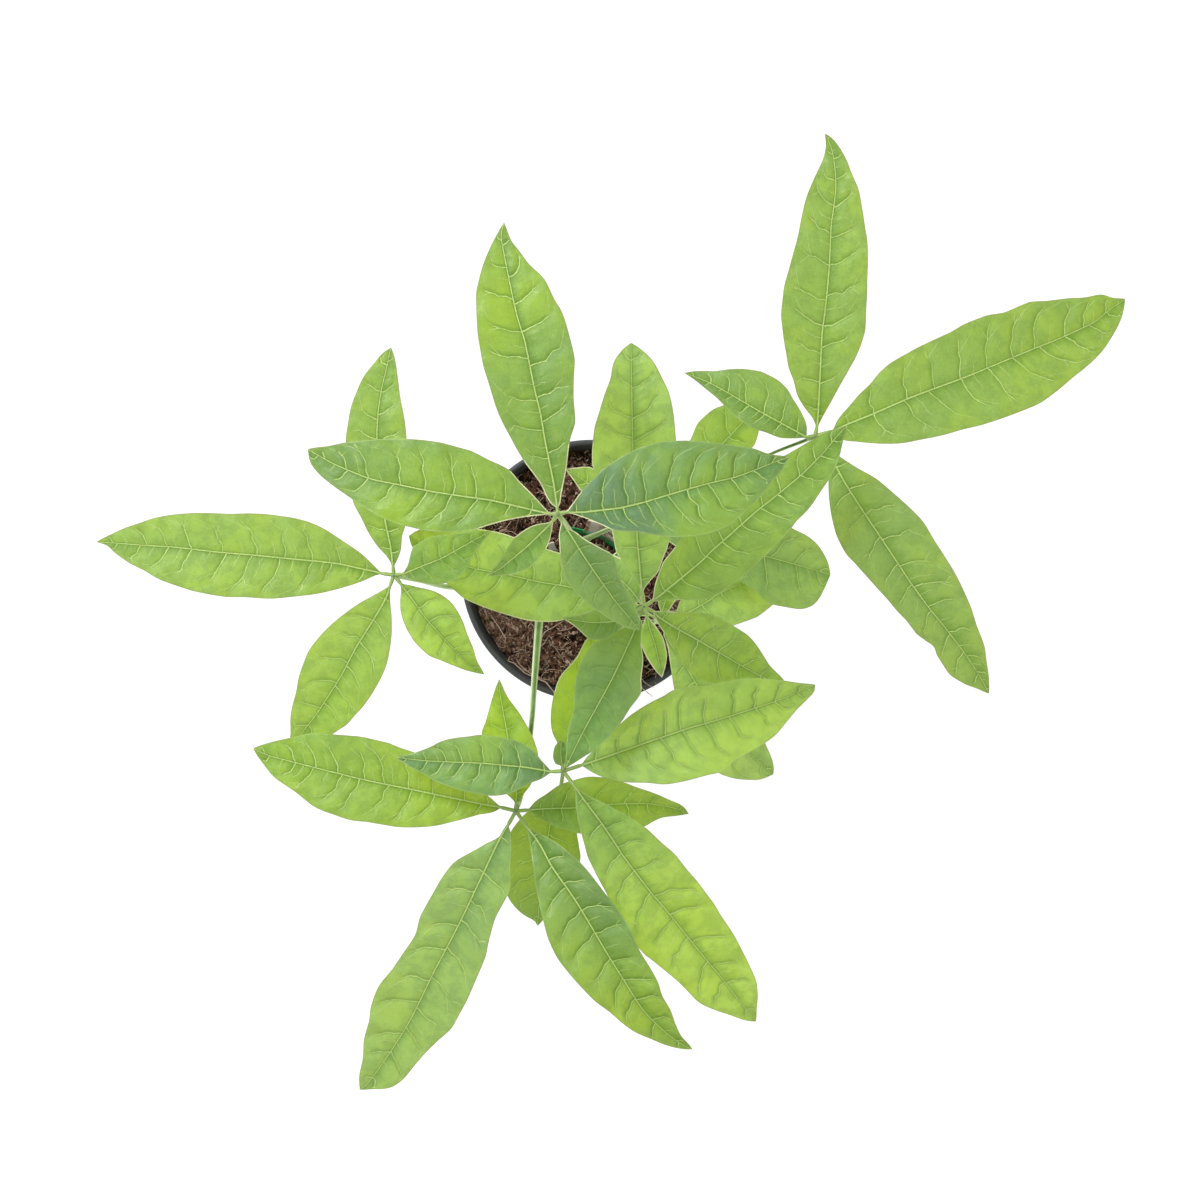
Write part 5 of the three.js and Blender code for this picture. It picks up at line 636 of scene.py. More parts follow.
    relief = mul(lines, -0.30)
    relief = k.math("MULTIPLY_ADD", near_vein, -0.35, relief)
    relief = k.math("MULTIPLY_ADD", net, -0.15, relief)
    relief = k.math("MULTIPLY_ADD", fine, -0.06, relief)
    relief = k.math("MULTIPLY_ADD", rib, 0.70, relief)
    relief = k.math("MULTIPLY_ADD", groove, -0.30, relief)
    relief = k.math("MULTIPLY_ADD", streak, -0.35, relief)
    relief = k.math("MULTIPLY_ADD", mottle, 0.9, relief)
    relief = k.math("MULTIPLY_ADD", grain, 0.25, relief)
    normal = k.bump(relief, 0.0008, 0.8)
    rough = k.step(mottle, 0.3, 0.7, 0.34, 0.50)
    rough = k.math("MULTIPLY_ADD", under, 0.2, rough)
    front = k.principled(blade, rough, normal, specular=0.8, coat=0.22, coat_rough=0.34)
    back_side = k.tree.nodes.new("ShaderNodeBsdfTranslucent")
    k.put(back_side.inputs["Color"], glow)
    both = k.tree.nodes.new("ShaderNodeMixShader")
    solid = k.math("MAXIMUM", mul(k.math("MAXIMUM", rib, mul(lines, 0.85)), 0.36), mul(rim_highlight, k.math("MULTIPLY_ADD", ground, 0.14, 0.42)))
    solid = k.math("MAXIMUM", solid, mul(own, 0.34))
    k.put(both.inputs[0], sub(0.6, solid))
    k.tree.links.new(front, both.inputs[1])
    k.tree.links.new(back_side.outputs[0], both.inputs[2])
    return k.finish(both.outputs[0])


# ---- leaflets ---------------------------------------------------------------
def side_turns(rng, rows_x, cols_t, length, mid, edge, pairs):
    """The side veins of one half blade: a coordinate that is whole on each vein."""
    def width(v):
        v = np.clip(v, 0.0, 1.0)
        return np.maximum(np.abs(edge(v) - mid(v)), 0.4)

    n = pairs
    share = np.linspace(0.055, 0.93, n) + rng.uniform(-0.22, 0.22, n) * 0.875 / n
    places = np.concatenate([[2 * share[0] - share[1], *share], [2 * share[-1] - share[-2], 3 * share[-1] - 2 * share[-2]]]) * length
    places = np.concatenate([[places[0] - 0.3 * length], places, [places[-1] + 0.3 * length]])
    index = np.concatenate([[-4.0], np.arange(n + 3), [n + 6.0]])
    total = len(places)
    angle = np.radians(np.interp(places / length, [0, 0.5, 1], [82, 74, 60]) + rng.uniform(-7, 7, total))
    lean, hook = 1 / np.tan(angle), rng.uniform(0.12, 0.50, total)
    breaks = np.array([0, 0.2, 0.38, 0.56, 0.74, 0.9, 1.0])
    kink = rng.uniform(-0.055, 0.055, (total, len(breaks)))
    kink[:, 0] = 0
    x0 = np.linspace(places[0], places[-1], 900)
    turn = np.interp(x0, places, index)
    w = width(x0 / length)
    out = np.zeros((len(rows_x), len(cols_t)))
    for j, t in enumerate(cols_t):
        bend = np.array([np.interp(t, breaks, row) for row in kink])
        x = x0 + w * (np.interp(x0, places, lean) * t + np.interp(x0, places, hook) * t ** 3 + np.interp(x0, places, bend))
        out[:, j] = np.interp(rows_x, np.maximum.accumulate(x), turn)
    return out


def seen_outline(spec):
    """A leaflet's outline as seen from the camera's height, on the pot's plane."""
    base, tip = np.array(spec["base"], float), np.array(spec["tip"], float)
    ahead = tip[:2] - base[:2]
    length = float(np.hypot(*ahead))
    ahead /= length
    across = np.array([-ahead[1], ahead[0]])
    v = np.linspace(0.01, 0.99, 40)
    z = base[2] + (tip[2] - base[2]) * v + spec["arch"] * 4 * v * (1 - v)
    both = []
    for side, order in ((spec["left"], 1), (spec["right"], -1)):
        off = curve_through([(0, 0), *side, (1, 0)])(v)
        p = base[:2] + ahead * (v * length)[:, None] + across * off[:, None]
        both.append(flat_view(np.column_stack([p, z]))[::order])
    return np.concatenate(both), z.mean()


def flat_view(p):
    eye = np.array([3.85, -13.84])
    return eye + (p[..., :2] - eye) * (1255.0 / (1255.0 - p[..., 2:3]))


def inside(points, polygon):
    x, y = points[:, 0:1], points[:, 1:2]
    x0, y0 = polygon[:, 0][None], polygon[:, 1][None]
    x1, y1 = np.roll(x0, -1, 1), np.roll(y0, -1, 1)
    crosses = ((y0 > y) != (y1 > y)) & (x < (x1 - x0) * (y - y0) / np.where(y1 == y0, 1e-9, y1 - y0) + x0)
    return crosses.sum(1) % 2 == 1


OUTLINES = {n.split("_")[1]: seen_outline(q) for n, q in LEAFLETS.items()}


def over_field(name, points):
    """1 where the pot or the soil lies behind this place, less over another leaf, 0 over the table."""
    flat = flat_view(points).reshape(-1, 2)
    rim = flat_view(np.array([[0.0, 0.0, 103.0]]))[0]
    hit = (np.hypot(flat[:, 0] - rim[0], flat[:, 1] - rim[1]) < 62 * 1255 / 1152 - 1).astype(float)
    own = OUTLINES[name][1]
    for other, (polygon, height) in OUTLINES.items():
        if other != name and height < own + 2:
            low, high = polygon.min(0), polygon.max(0)
            near = np.all((flat > low) & (flat < high), axis=1)
            if near.any():
                index = np.flatnonzero(near)
                hit[index[inside(flat[index], polygon)]] = 0.40
    return hit


def leaflet(name, spec, material, seed):
    rng = np.random.default_rng(seed)
    tone, quilt, wave, pairs = LOOK[name]
    quilt, wave = 0.88 * quilt, 0.88 * wave
    base, tip, hub = (np.array(q, float) for q in (spec["base"], spec["tip"], HUBS[spec["hub"]]))
    ahead = tip[:2] - base[:2]
    length = float(np.hypot(*ahead))
    ahead /= length
    across = np.array([-ahead[1], ahead[0]])
    mid = curve_through([(0, 0), *spec["mid"], (1, 0)])
    left = curve_through([(0, 0), *spec["left"], (1, 0)])
    right = curve_through([(0, 0), *spec["right"], (1, 0)])
    fold, arch = spec["fold"], spec["arch"]

    rows = int(np.clip(length / 1.0, 22, 124))
    u = np.linspace(0, 1, rows + 1)
    v = 0.8 * u + 0.2 * (0.5 - 0.5 * np.cos(np.pi * u))
    m = mid(v)
    floor = np.interp(v, [0, 0.97, 1], [0.55, 0.3, 0.12])
    lw, rw = np.maximum(left(v) - m, floor), np.maximum(m - right(v), floor)
    half = int(np.clip(max(lw.max(), rw.max()) / 1.0, 6, 19))
    s = np.linspace(-1, 1, 2 * half + 1)
    s = np.sign(s) * np.abs(s) ** 1.1
    reach_w = np.where(s[None] >= 0, lw[:, None], rw[:, None])
    off = m[:, None] + s[None] * reach_w
    x = np.repeat((v * length)[:, None], len(s), 1)
    t = np.abs(s)[None] * np.ones_like(x)

    def field(edge_curve, this_side):
        cols = np.where(s >= 0, s, 0) if this_side > 0 else np.where(s <= 0, -s, 0)
        turn = side_turns(rng, v * length, cols, length, mid, edge_curve, pairs)
        xs, ys = v * length, off
        dv = np.gradient(turn, xs, axis=0)
        ds = np.gradient(turn, axis=1) / np.maximum(np.gradient(ys, axis=1), 1e-3)
        dx = dv - ds * np.gradient(ys, xs, axis=0)
        size = np.maximum(np.hypot(dx, ds), 1e-4)
        gap = np.minimum(1 / size, 40.0)
        lit = (dx * (ahead @ LIGHT_FROM) + ds * (across @ LIGHT_FROM)) / size
        return turn, gap, lit

    turn_a, gap_a, lit_a = field(left, 1)
    turn_b, gap_b, lit_b = field(right, -1)
    on_left = s[None] >= 0
    turn, gap = np.where(on_left, turn_a, turn_b), np.where(on_left, gap_a, gap_b)
    to_main = np.abs(turn - np.round(turn)) * gap
    to_rib = np.abs(off - m[:, None])
    to_edge = (1 - t) * reach_w
    inner = np.minimum(np.minimum(to_main, to_rib * 0.9), to_edge * 0.8 + 0.4)
    puff = smooth(0.0, 3.6, inner)
    ends = smooth(0, 0.07, v)[:, None] * smooth(0, 0.05, 1 - v)[:, None]

    z = (base[2] + (tip[2] - base[2]) * v + arch * 4 * v * (1 - v))[:, None]
    z = z + fold * reach_w * (1.3 * t - 0.4 * t * t)
    turns = length / rng.uniform(19, 27)
    phases = rng.uniform(0, 6.28, 4)
    ripple = np.where(s[None] >= 0,
                      np.sin(2 * np.pi * turns * v[:, None] + phases[0]) + 0.5 * np.sin(2 * np.pi * turns * 1.7 * v[:, None] + phases[1]),
                      np.sin(2 * np.pi * turns * 0.93 * v[:, None] + phases[2]) + 0.5 * np.sin(2 * np.pi * turns * 1.6 * v[:, None] + phases[3]))
    z = z + wave * ends * ripple * t ** 2.2
    soft = fractal(np.column_stack([x.ravel() / 9.0 + seed, off.ravel() / 7.0]), seed, 2).reshape(x.shape)
    z = z + ends * (quilt * (puff - 0.35) * (1 + 0.35 * soft) + 0.35 * soft * t)

    # the leaflet's own stalk, from the knot where the leaflets meet
    away = base - hub
    reach = float(np.linalg.norm(away))
    away /= reach
    flatdir = away[:2] if np.hypot(*away[:2]) > 0.3 else ahead
    stalk_side = np.array([-flatdir[1], flatdir[0]]) / np.hypot(*flatdir)
    if stalk_side @ across < 0:
        stalk_side = across
    begin = 0.35
    count = max(int((reach - begin) / 1.2), 1) if reach > begin + 0.6 else 0
    steps = [begin + (reach - begin) * i / count for i in range(count)] if count else []

    xyz, upper, lower = [], [], []
    for d in steps:
        c = hub + away * d
        xyz.append(np.column_stack([c[0] + stalk_side[0] * s * 0.80, c[1] + stalk_side[1] * s * 0.80, np.full(len(s), c[2])]))
        upper.append(0.5 * np.sqrt(1 - s * s) + 0.06)
        lower.append(0.6 * np.sqrt(1 - s * s) + 0.06)
    fade = np.exp(-v * length / 3.5)[:, None]
    rib_w = np.interp(v, [0, 0.25, 0.7, 1], [0.44, 0.38, 0.30, 0.20])[:, None] * min(1.0, 0.6 + length / 200)
    round_ = np.sqrt(np.clip(1 - t * t, 0, 1))
    up = 0.15 + fade * 0.34 * round_ + 0.25 * rib_w * np.exp(-(to_rib / (rib_w * 1.5)) ** 2)
    down = 0.17 + fade * 0.42 * round_ + 1.8 * rib_w * np.exp(-(to_rib / (rib_w * 2.1)) ** 2) + 0.14 * ends * np.exp(-(to_main / 0.5) ** 2)
    blade = np.stack([base[0] + ahead[0] * x + across[0] * off, base[1] + ahead[1] * x + across[1] * off, z], -1)
    n_stalk, n_cols = len(steps), len(s)
    top = np.concatenate([np.array(xyz).reshape(-1, n_cols, 3), blade]) if xyz else blade.copy()
    bottom = top.copy()
    up = np.concatenate([np.array(upper).reshape(-1, n_cols), up])
    down = np.concatenate([np.array(lower).reshape(-1, n_cols), down])
    top[..., 2] += up
    bottom[..., 2] -= down
    n_rows = len(top)

    def grow(field, value):
        return np.concatenate([np.full((n_stalk, n_cols), value), field * np.ones_like(x)]).ravel()

    stalk_s = np.repeat((s * 0.80)[None], n_stalk, 0)
    patch = np.zeros_like(x)
    for pv, ps, pr, amount in PATCHES.get(name, ()):
        d = np.hypot((v[:, None] - pv) * length, (s[None] - ps) * reach_w * 1.0) / (pr * length)
        patch = patch + amount * np.exp(-d * d)
    def all_rows(value):
        return grow(np.full_like(x, value), value)

    fields = {
        "turn_a": grow(turn_a, 0.5), "turn_b": grow(turn_b, 0.5), "gap_a": grow(gap_a, 1.0), "gap_b": grow(gap_b, 1.0),
        "lit": grow(np.where(on_left, lit_a, lit_b), 0.0), "across": grow(t, 1.0), "patch": grow(np.clip(patch, -1, 1), 0.0),
        "rib_s": np.concatenate([stalk_s.reshape(-1, n_cols), off - m[:, None]]).ravel(), "rib_w": grow(rib_w, 0.6),
        "edge": grow(to_edge + 0.02, 2.0), "along": grow(x, 0.0), "bulge": grow(puff * ends, 0.0), "tone": all_rows(tone),
        "over": over_field(name, np.concatenate([np.array(xyz).reshape(-1, n_cols, 3), blade]) if xyz else blade),
        "stalk": grow(np.exp(-((x / 1.6) ** 2)) * 0.7, 1.0), "veins": all_rows(VEINS.get(name, 1.0)),
        "quilt": all_rows(min(1.0, quilt)), "leaf_id": all_rows(float(seed % 100)), "sheen_blue": all_rows(SHEEN_BLUE.get(name, 0.0)), "facing": all_rows(float(across @ LIGHT_FROM)),
    }
    n = n_rows * n_cols
    grid = np.arange(n).reshape(n_rows, n_cols)
    a, b, c, d = grid[:-1, :-1], grid[1:, :-1], grid[1:, 1:], grid[:-1, 1:]
    up_faces = np.stack([a, d, c, b], -1).reshape(-1, 4)
    rim = np.concatenate([grid[0, :], grid[1:, -1], grid[-1, -2::-1], grid[-2:0:-1, 0]])
    nxt = np.roll(rim, -1)
    side_faces = np.stack([rim, rim + n, nxt + n, nxt], -1)
    faces = np.concatenate([up_faces, up_faces[:, ::-1] + n, side_faces])
    verts = np.concatenate([top.reshape(-1, 3), bottom.reshape(-1, 3)])
    p = verts[faces]
    volume = (np.einsum("ij,ij->i", p[:, 0], np.cross(p[:, 1], p[:, 2])) + np.einsum("ij,ij->i", p[:, 0], np.cross(p[:, 2], p[:, 3]))).sum()
    if volume < 0:
        faces = faces[:, ::-1]
    attributes = {key: np.concatenate([data, data]) for key, data in fields.items()}
    attributes["under"] = np.concatenate([np.zeros(n), np.ones(n)])
    ob = make_mesh("leaf_" + name, verts, faces, attributes, sharp=(rim, rim + n))
    return settle(ob, "leaf", material, "leaflet_" + name)


# ---- round stems ------------------------------------------------------------
def centripetal(points, samples):
    """Points spread evenly along a smooth curve through the control points, as the CAD has it."""
    p = np.array(points, float)
    q = np.vstack([2 * p[0] - p[1], p, 2 * p[-1] - p[-2]])
    out = []
    for i in range(len(p) - 1):
        p0, p1, p2, p3 = q[i], q[i + 1], q[i + 2], q[i + 3]
        t = [0.0]
        for e, f in ((p0, p1), (p1, p2), (p2, p3)):
            t.append(t[-1] + max(float(np.linalg.norm(f - e)), 1e-6) ** 0.5)
        for k in range(24):
            w = t[1] + (t[2] - t[1]) * k / 24
            a1 = (t[1] - w) / (t[1] - t[0]) * p0 + (w - t[0]) / (t[1] - t[0]) * p1
            a2 = (t[2] - w) / (t[2] - t[1]) * p1 + (w - t[1]) / (t[2] - t[1]) * p2
            a3 = (t[3] - w) / (t[3] - t[2]) * p2 + (w - t[2]) / (t[3] - t[2]) * p3
            b1 = (t[2] - w) / (t[2] - t[0]) * a1 + (w - t[0]) / (t[2] - t[0]) * a2
            b2 = (t[3] - w) / (t[3] - t[1]) * a2 + (w - t[1]) / (t[3] - t[1]) * a3
            out.append((t[2] - w) / (t[2] - t[1]) * b1 + (w - t[1]) / (t[2] - t[1]) * b2)
    out.append(p[-1])
    out = np.array(out)
    run = np.concatenate([[0], np.cumsum(np.linalg.norm(np.diff(out, axis=0), axis=1))])
    s = np.linspace(0, run[-1], samples)
    return np.column_stack([np.interp(s, run, out[:, k]) for k in range(3)]), s


def tube(name, centres, radii, sides, relief=None, extra=None, squash=1.0):
    """A closed round stem. relief(ring, angle) gives extra radius in mm."""
    centres = np.asarray(centres, float)
    n = len(centres)
    tangent = np.gradient(centres, axis=0)
    tangent /= np.linalg.norm(tangent, axis=1)[:, None]
    normal = np.zeros_like(centres)
    seed = np.array([1.0, 0, 0]) if abs(tangent[0][0]) < 0.9 else np.array([0, 1.0, 0])
    normal[0] = np.cross(tangent[0], np.cross(seed, tangent[0]))
    normal[0] /= np.linalg.norm(normal[0])
    for i in range(1, n):
        w = normal[i - 1] - tangent[i] * (normal[i - 1] @ tangent[i])
        normal[i] = w / np.linalg.norm(w)
    binormal = np.cross(tangent, normal)
    angle = np.linspace(0, 2 * np.pi, sides, endpoint=False)
    r = np.asarray(radii, float)[:, None] * np.ones(sides)[None]
    if relief is not None:
        r = r + relief(np.arange(n)[:, None] * np.ones(sides)[None], angle[None] * np.ones(n)[:, None])
    ring = centres[:, None] + r[..., None] * (np.cos(angle)[None, :, None] * normal[:, None] + squash * np.sin(angle)[None, :, None] * binormal[:, None])
    verts = ring.reshape(-1, 3)
    first, last = centres[0] - tangent[0] * radii[0] * 0.35, centres[-1] + tangent[-1] * radii[-1] * 0.5
    verts = np.vstack([verts, first, last])
    grid = np.arange(n * sides).reshape(n, sides)
    nxt = np.roll(grid, -1, 1)
    faces = np.stack([grid[:-1], nxt[:-1], nxt[1:], grid[1:]], -1).reshape(-1, 4).tolist()
    k = n * sides
    faces += [[int(nxt[0, j]), int(grid[0, j]), k] for j in range(sides)]
    faces += [[int(grid[-1, j]), int(nxt[-1, j]), k + 1] for j in range(sides)]
    around = np.concatenate([(angle[None] * np.ones(n)[:, None]).ravel(), [0, 0]])
    run = np.concatenate([[0], np.cumsum(np.linalg.norm(np.diff(centres, axis=0), axis=1))])
    along = np.concatenate([(run[:, None] * np.ones(sides)[None]).ravel(), [0, run[-1]]])
    share = np.concatenate([((run / run[-1])[:, None] * np.ones(sides)[None]).ravel(), [0, 1]])
    skyward = (np.cos(angle)[None] * normal[:, 2:3] + np.sin(angle)[None] * binormal[:, 2:3]).ravel()
    attributes = {"around": around, "along": along, "share": share, "skyward": np.concatenate([skyward, [0.5, 0.5]])}
    attributes.update(extra(verts) if extra else {})
    return make_mesh(name, verts, faces, attributes)


def stalk_material():
    """Smooth green stalk with pale flanks of painted highlight and reddish-brown flecks at the foot."""
    k = Nodes("green_stalk")
    mm = k.scaled(1000.0, 1000.0, 1000.0)
    share, sky = k.attr("share"), k.attr("skyward")
    streak = k.noise(mm, 0.8, 4.0, 0.65)
    patch = k.noise(mm, 0.15, 2.0)
    fleck = k.step(k.noise(mm, 1.6, 2.0, 0.6), 0.60, 0.72)
    green = k.mix(k.step(streak, 0.3, 0.7), (0.11, 0.215, 0.045), (0.21, 0.335, 0.095))
    green = k.mix(k.step(patch, 0.4, 0.7, 0.0, 0.45), green, (0.27, 0.40, 0.14))
    # painted highlight: pale flanks, green along the top and the underside
    pale = k.mix(k.step(streak, 0.35, 0.7), (0.62, 0.77, 0.38), (0.84, 0.94, 0.58))
    wobble = k.math("MULTIPLY_ADD", k.math("SUBTRACT", streak, 0.5), 0.20, sky)
    colour = k.mix(k.math("MULTIPLY", k.step(wobble, 0.79, 0.60), k.step(share, 0.03, 0.22)), green, pale)
    colour = k.mix(k.step(sky, 0.1, -0.5, 0.0, 0.7), colour, (0.20, 0.34, 0.10))
    colour = k.mix(k.step(share, 0.955, 0.985, 0.0, 0.85), colour, (0.19, 0.30, 0.08))
    foot = k.step(share, 0.14, 0.0)
    colour = k.mix(k.math("MULTIPLY", foot, 0.45), colour, (0.30, 0.33, 0.13))
    colour = k.mix(k.math("MULTIPLY", k.math("MULTIPLY", foot, fleck), 0.7), colour, (0.26, 0.11, 0.06))
    normal = k.bump(k.noise(mm, 1.2, 3.0), 0.0004, 0.5)
    front = k.principled(colour, k.step(streak, 0.3, 0.7, 0.34, 0.48), normal, specular=0.45)
    back = k.tree.nodes.new("ShaderNodeBsdfTranslucent")
    back.inputs["Color"].default_value = (0.5, 0.72, 0.2, 1)
    both = k.tree.nodes.new("ShaderNodeMixShader")
    both.inputs[0].default_value = 0.08
    k.tree.links.new(front, both.inputs[1])
    k.tree.links.new(back.outputs[0], both.inputs[2])
    return k.finish(both.outputs[0])


def bark_material():
    """Grey-brown bark with dark fissures of painted shade and pale corky spots, turning green up the shoot."""
    k = Nodes("trunk_bark")
    mm = k.scaled(1000.0, 1000.0, 1000.0)
    tall = k.scaled(1000.0, 1000.0, 260.0)
    height = k.attr("height")
    age = k.math("MULTIPLY_ADD", k.math("SUBTRACT", k.noise(mm, 0.07, 2.0), 0.5), 60.0, height)
    young = k.step(age, 172.0, 214.0)
    grain = k.noise(tall, 0.9, 5.0, 0.65)
    patch = k.noise(mm, 0.16, 3.0)
    crack = k.step(k.voronoi(tall, 0.55, "DISTANCE_TO_EDGE"), 0.10, 0.02)
    cork = k.step(k.voronoi(mm, 0.42, "F1"), 0.24, 0.12)
    old = k.mix(k.step(grain, 0.3, 0.72), (0.11, 0.078, 0.042), (0.34, 0.27, 0.165))
    old = k.mix(k.step(patch, 0.42, 0.68, 0.0, 0.55), old, (0.22, 0.235, 0.10))
    # painted shade darkens the fissures
    old = k.mix(k.math("MULTIPLY", crack, 0.55), old, (0.075, 0.052, 0.03))
    old = k.mix(k.math("MULTIPLY", cork, 0.6), old, (0.46, 0.39, 0.27))
    green = k.mix(k.step(grain, 0.3, 0.7), (0.10, 0.21, 0.045), (0.22, 0.36, 0.10))
    green = k.mix(k.math("MULTIPLY", cork, 0.3), green, (0.45, 0.47, 0.26))
    scar = k.attr("scar")
    green = k.mix(scar, green, (0.17, 0.13, 0.07))
    colour = k.mix(young, old, green)
    lines = k.math("MULTIPLY_ADD", crack, -0.9, k.math("MULTIPLY_ADD", cork, 0.5, grain))
    normal = k.bump(lines, 0.0007, 0.8)
    rough = k.step(young, 0.0, 1.0, 0.88, 0.5)
    return k.finish(k.principled(colour, rough, normal, specular=0.3))


TRUNK_RADIUS = 4.3
BRAID_CENTRE = (-4.85, -3.24)
BRAID_PITCH, BRAID_BOTTOM, BRAID_TOP = 130.0, 68.0, 165.0
BRAID_HALF_WIDTH, BRAID_HALF_DEPTH = 10.0, 6.7
STRAND_PHASE = {"trunk_1": 30, "trunk_2": 270, "trunk_3": 150}
SHOOTS = {
    "trunk_1": [(-6.05, 8.96, 186, 3.3), (-6.65, 10.86, 204, 2.7), (-6.25, 10.16, 232, 2.4), (-5.95, 9.46, 262, 2.0)],
    "trunk_2": [(-19.45, -6.74, 178, 3.4), (-20.25, -11.64, 190.5, 2.8)],
    "trunk_3": [(1.65, -10.74, 184, 3.3), (3.45, -22.94, 205, 2.5), (5.15, -24.04, 225, 2.3), (12.85, -22.04, 256, 2.0), (19.55, -17.84, 281, 1.5), (21.35, -16.64, 288, 1.5)],
}
PETIOLES = {
    "petiole_A": ("A", [(-6.45, 9.96, 265.2, 1.7), (-9.05, 14.66, 305, 1.25)]),
    "petiole_B": ("B", [(-21.3, -9.8, 190, 1.7), (-26.5, -7.6, 194.5, 1.5), (-39.45, -7.64, 200, 1.3), (-59.85, -8.24, 213, 1.15), (-72.05, -5.64, 227, 1.05), (-79.45, -4.04, 236.4, 1.1)]),
    "petiole_C": ("C", [(-21.15, -15.04, 193.5, 2.1), (-22.35, -23.34, 205, 1.85), (-23.75, -45.24, 220, 1.4), (-25.05, -66.84, 231.5, 1.15), (-27.95, -90.24, 237, 1), (-29.75, -97.84, 241.5, 1.1)]),
    "petiole_D": ("D", [(3.25, -27.64, 217.5, 1.6), (-0.35, -37.04, 227, 1.4), (-4.45, -55.34, 243, 1.15), (-9.05, -74.84, 253, 1.05), (-10.65, -81.44, 258, 1.1)]),
    "petiole_G": ("G", [(-3, 11.41, 233.6, 1.15), (7.8, 15.81, 243, 0.85), (44.85, 32.06, 258, 0.7), (73.55, 45.66, 266.5, 0.68), (87.55, 50.96, 271.6, 0.8)]),
    "petiole_H": ("K", [(6.45, -19.34, 197.1, 1.2), (11.55, -22.04, 198.6, 1.15), (18.55, -23.54, 199.4, 1.1), (27.35, -23.24, 201.6, 1.1)]),
    "petiole_I": ("I", [(-3.15, 8.36, 206, 1.2), (2.05, 5.16, 210.5, 1.05), (8.95, 4.36, 216, 1), (15.35, 9.96, 222, 1), (19.45, 16.56, 227.4, 1.1)]),
}


def chord_radii(points, samples_run):
    p = np.array([q[:3] for q in points], float)
    run = np.concatenate([[0], np.cumsum(np.linalg.norm(np.diff(p, axis=0), axis=1))])
    radius = curve_through([(a / run[-1], q[3]) for a, q in zip(run, points)])
    return radius(samples_run / samples_run[-1])


def petiole(name, hub_name, points, material, seed):
    hub = np.array(HUBS[hub_name], float)
    last = np.array(points[-1][:3], float)
    d = (hub - last) / np.linalg.norm(hub - last)
    p0, p1 = np.array(points[0][:3], float), np.array(points[1][:3], float)
    back = (p0 - p1) / np.linalg.norm(p0 - p1)
    start = [(*(p0 + back * 2.6), points[0][3] * 1.25), (*(p0 + back * 0.6), points[0][3] * 1.22)]
    knob = [(*(hub + d * k), HUB_RADIUS * r) for k, r in ((-2.6, 0.62), (-1.1, 0.68), (0.0, 0.72), (0.6, 0.52))]
    pts = start + [q for q in points[1:]] + knob
    length = sum(math.dist(a[:3], b[:3]) for a, b in zip(pts, pts[1:]))
    centres, run = centripetal([q[:3] for q in pts], int(length / 0.9) + 8)
    radii = chord_radii(pts, run)
    rng = np.random.default_rng(seed)
    phase = rng.uniform(0, 6, 3)

    def relief(i, angle):
        s = run[i.astype(int)]
        return 0.05 * np.sin(3 * angle + phase[0]) + 0.06 * np.sin(s / 7 + phase[1]) * np.cos(angle + phase[2])

    ob = tube("stalk_" + name[-1], centres, radii, 14, relief)
    return settle(ob, "green_stem", material, name)


def trunk_points(name):
    points = []
    n = round((BRAID_TOP - BRAID_BOTTOM) / 7)
    for i in range(n + 1):
        z = BRAID_BOTTOM + (BRAID_TOP - BRAID_BOTTOM) * i / n
        flare = math.exp(-max(z - 88, 0) / 22)
        r = TRUNK_RADIUS + 1.1 * flare
        taper = 0.45 + 0.55 * (z - BRAID_BOTTOM) / (88 - BRAID_BOTTOM) if z < 88 else 1
        wide = r / TRUNK_RADIUS
        a = math.radians(STRAND_PHASE[name] + 360 * (z - BRAID_TOP) / BRAID_PITCH)
        points.append((BRAID_CENTRE[0] + BRAID_HALF_WIDTH * wide * math.sin(a), BRAID_CENTRE[1] + BRAID_HALF_DEPTH * wide * math.sin(2 * a), z, r * taper))
    return points + SHOOTS[name]


def trunk(name, material, seed):
    pts = trunk_points(name)
    length = sum(math.dist(a[:3], b[:3]) for a, b in zip(pts, pts[1:]))
    centres, run = centripetal([q[:3] for q in pts], int(length / 1.15))
    radii = chord_radii(pts, run)
    rng = np.random.default_rng(seed)
    nodes = []
    at = run[-1] - 3.0
    while centres[np.searchsorted(run, at).clip(0, len(run) - 1)][2] > 120:
        nodes.append((at, rng.uniform(0, 2 * math.pi)))
        at -= rng.uniform(9, 19)
    sides = 30

    def relief(i, angle):
        i = i.astype(int)
        s = run[i]
        out = 0.0
        for place, turn in nodes:
            out = out + 0.42 * np.exp(-((s - place) / 1.5) ** 2) * (0.35 + 0.65 * np.clip(np.cos(angle - turn), 0, 1))
        p = np.column_stack([np.cos(angle).ravel() * 1.5, np.sin(angle).ravel() * 1.5, s.ravel() / 16])
        rough = np.clip((205 - centres[i][..., 2]) / 50, 0.15, 1)
        out = out + 0.42 * rough * fractal(p, seed, 3).reshape(angle.shape)
        q = np.column_stack([np.cos(angle).ravel() * 5, np.sin(angle).ravel() * 5, s.ravel() / 3.2])
        return out + 0.20 * rough * fractal(q, seed + 9, 2).reshape(angle.shape)

    def extra(verts):
        ring = np.minimum(np.arange(len(verts)) // sides, len(run) - 1)
        s = run[ring]
        turn = np.concatenate([np.tile(np.linspace(0, 2 * np.pi, sides, endpoint=False), len(run)), [0, 0]])
        scar = np.zeros(len(verts))
        for place, way in nodes:
            scar = np.maximum(scar, np.exp(-((s - place) / 1.0) ** 2) * (0.25 + 0.75 * np.clip(np.cos(turn - way), 0, 1)))
        return {"height": verts[:, 2], "scar": scar * 0.8}

    ob = tube("stem_" + name[-1], centres, radii, sides, relief, extra)
    return settle(ob, "bark", material, name)


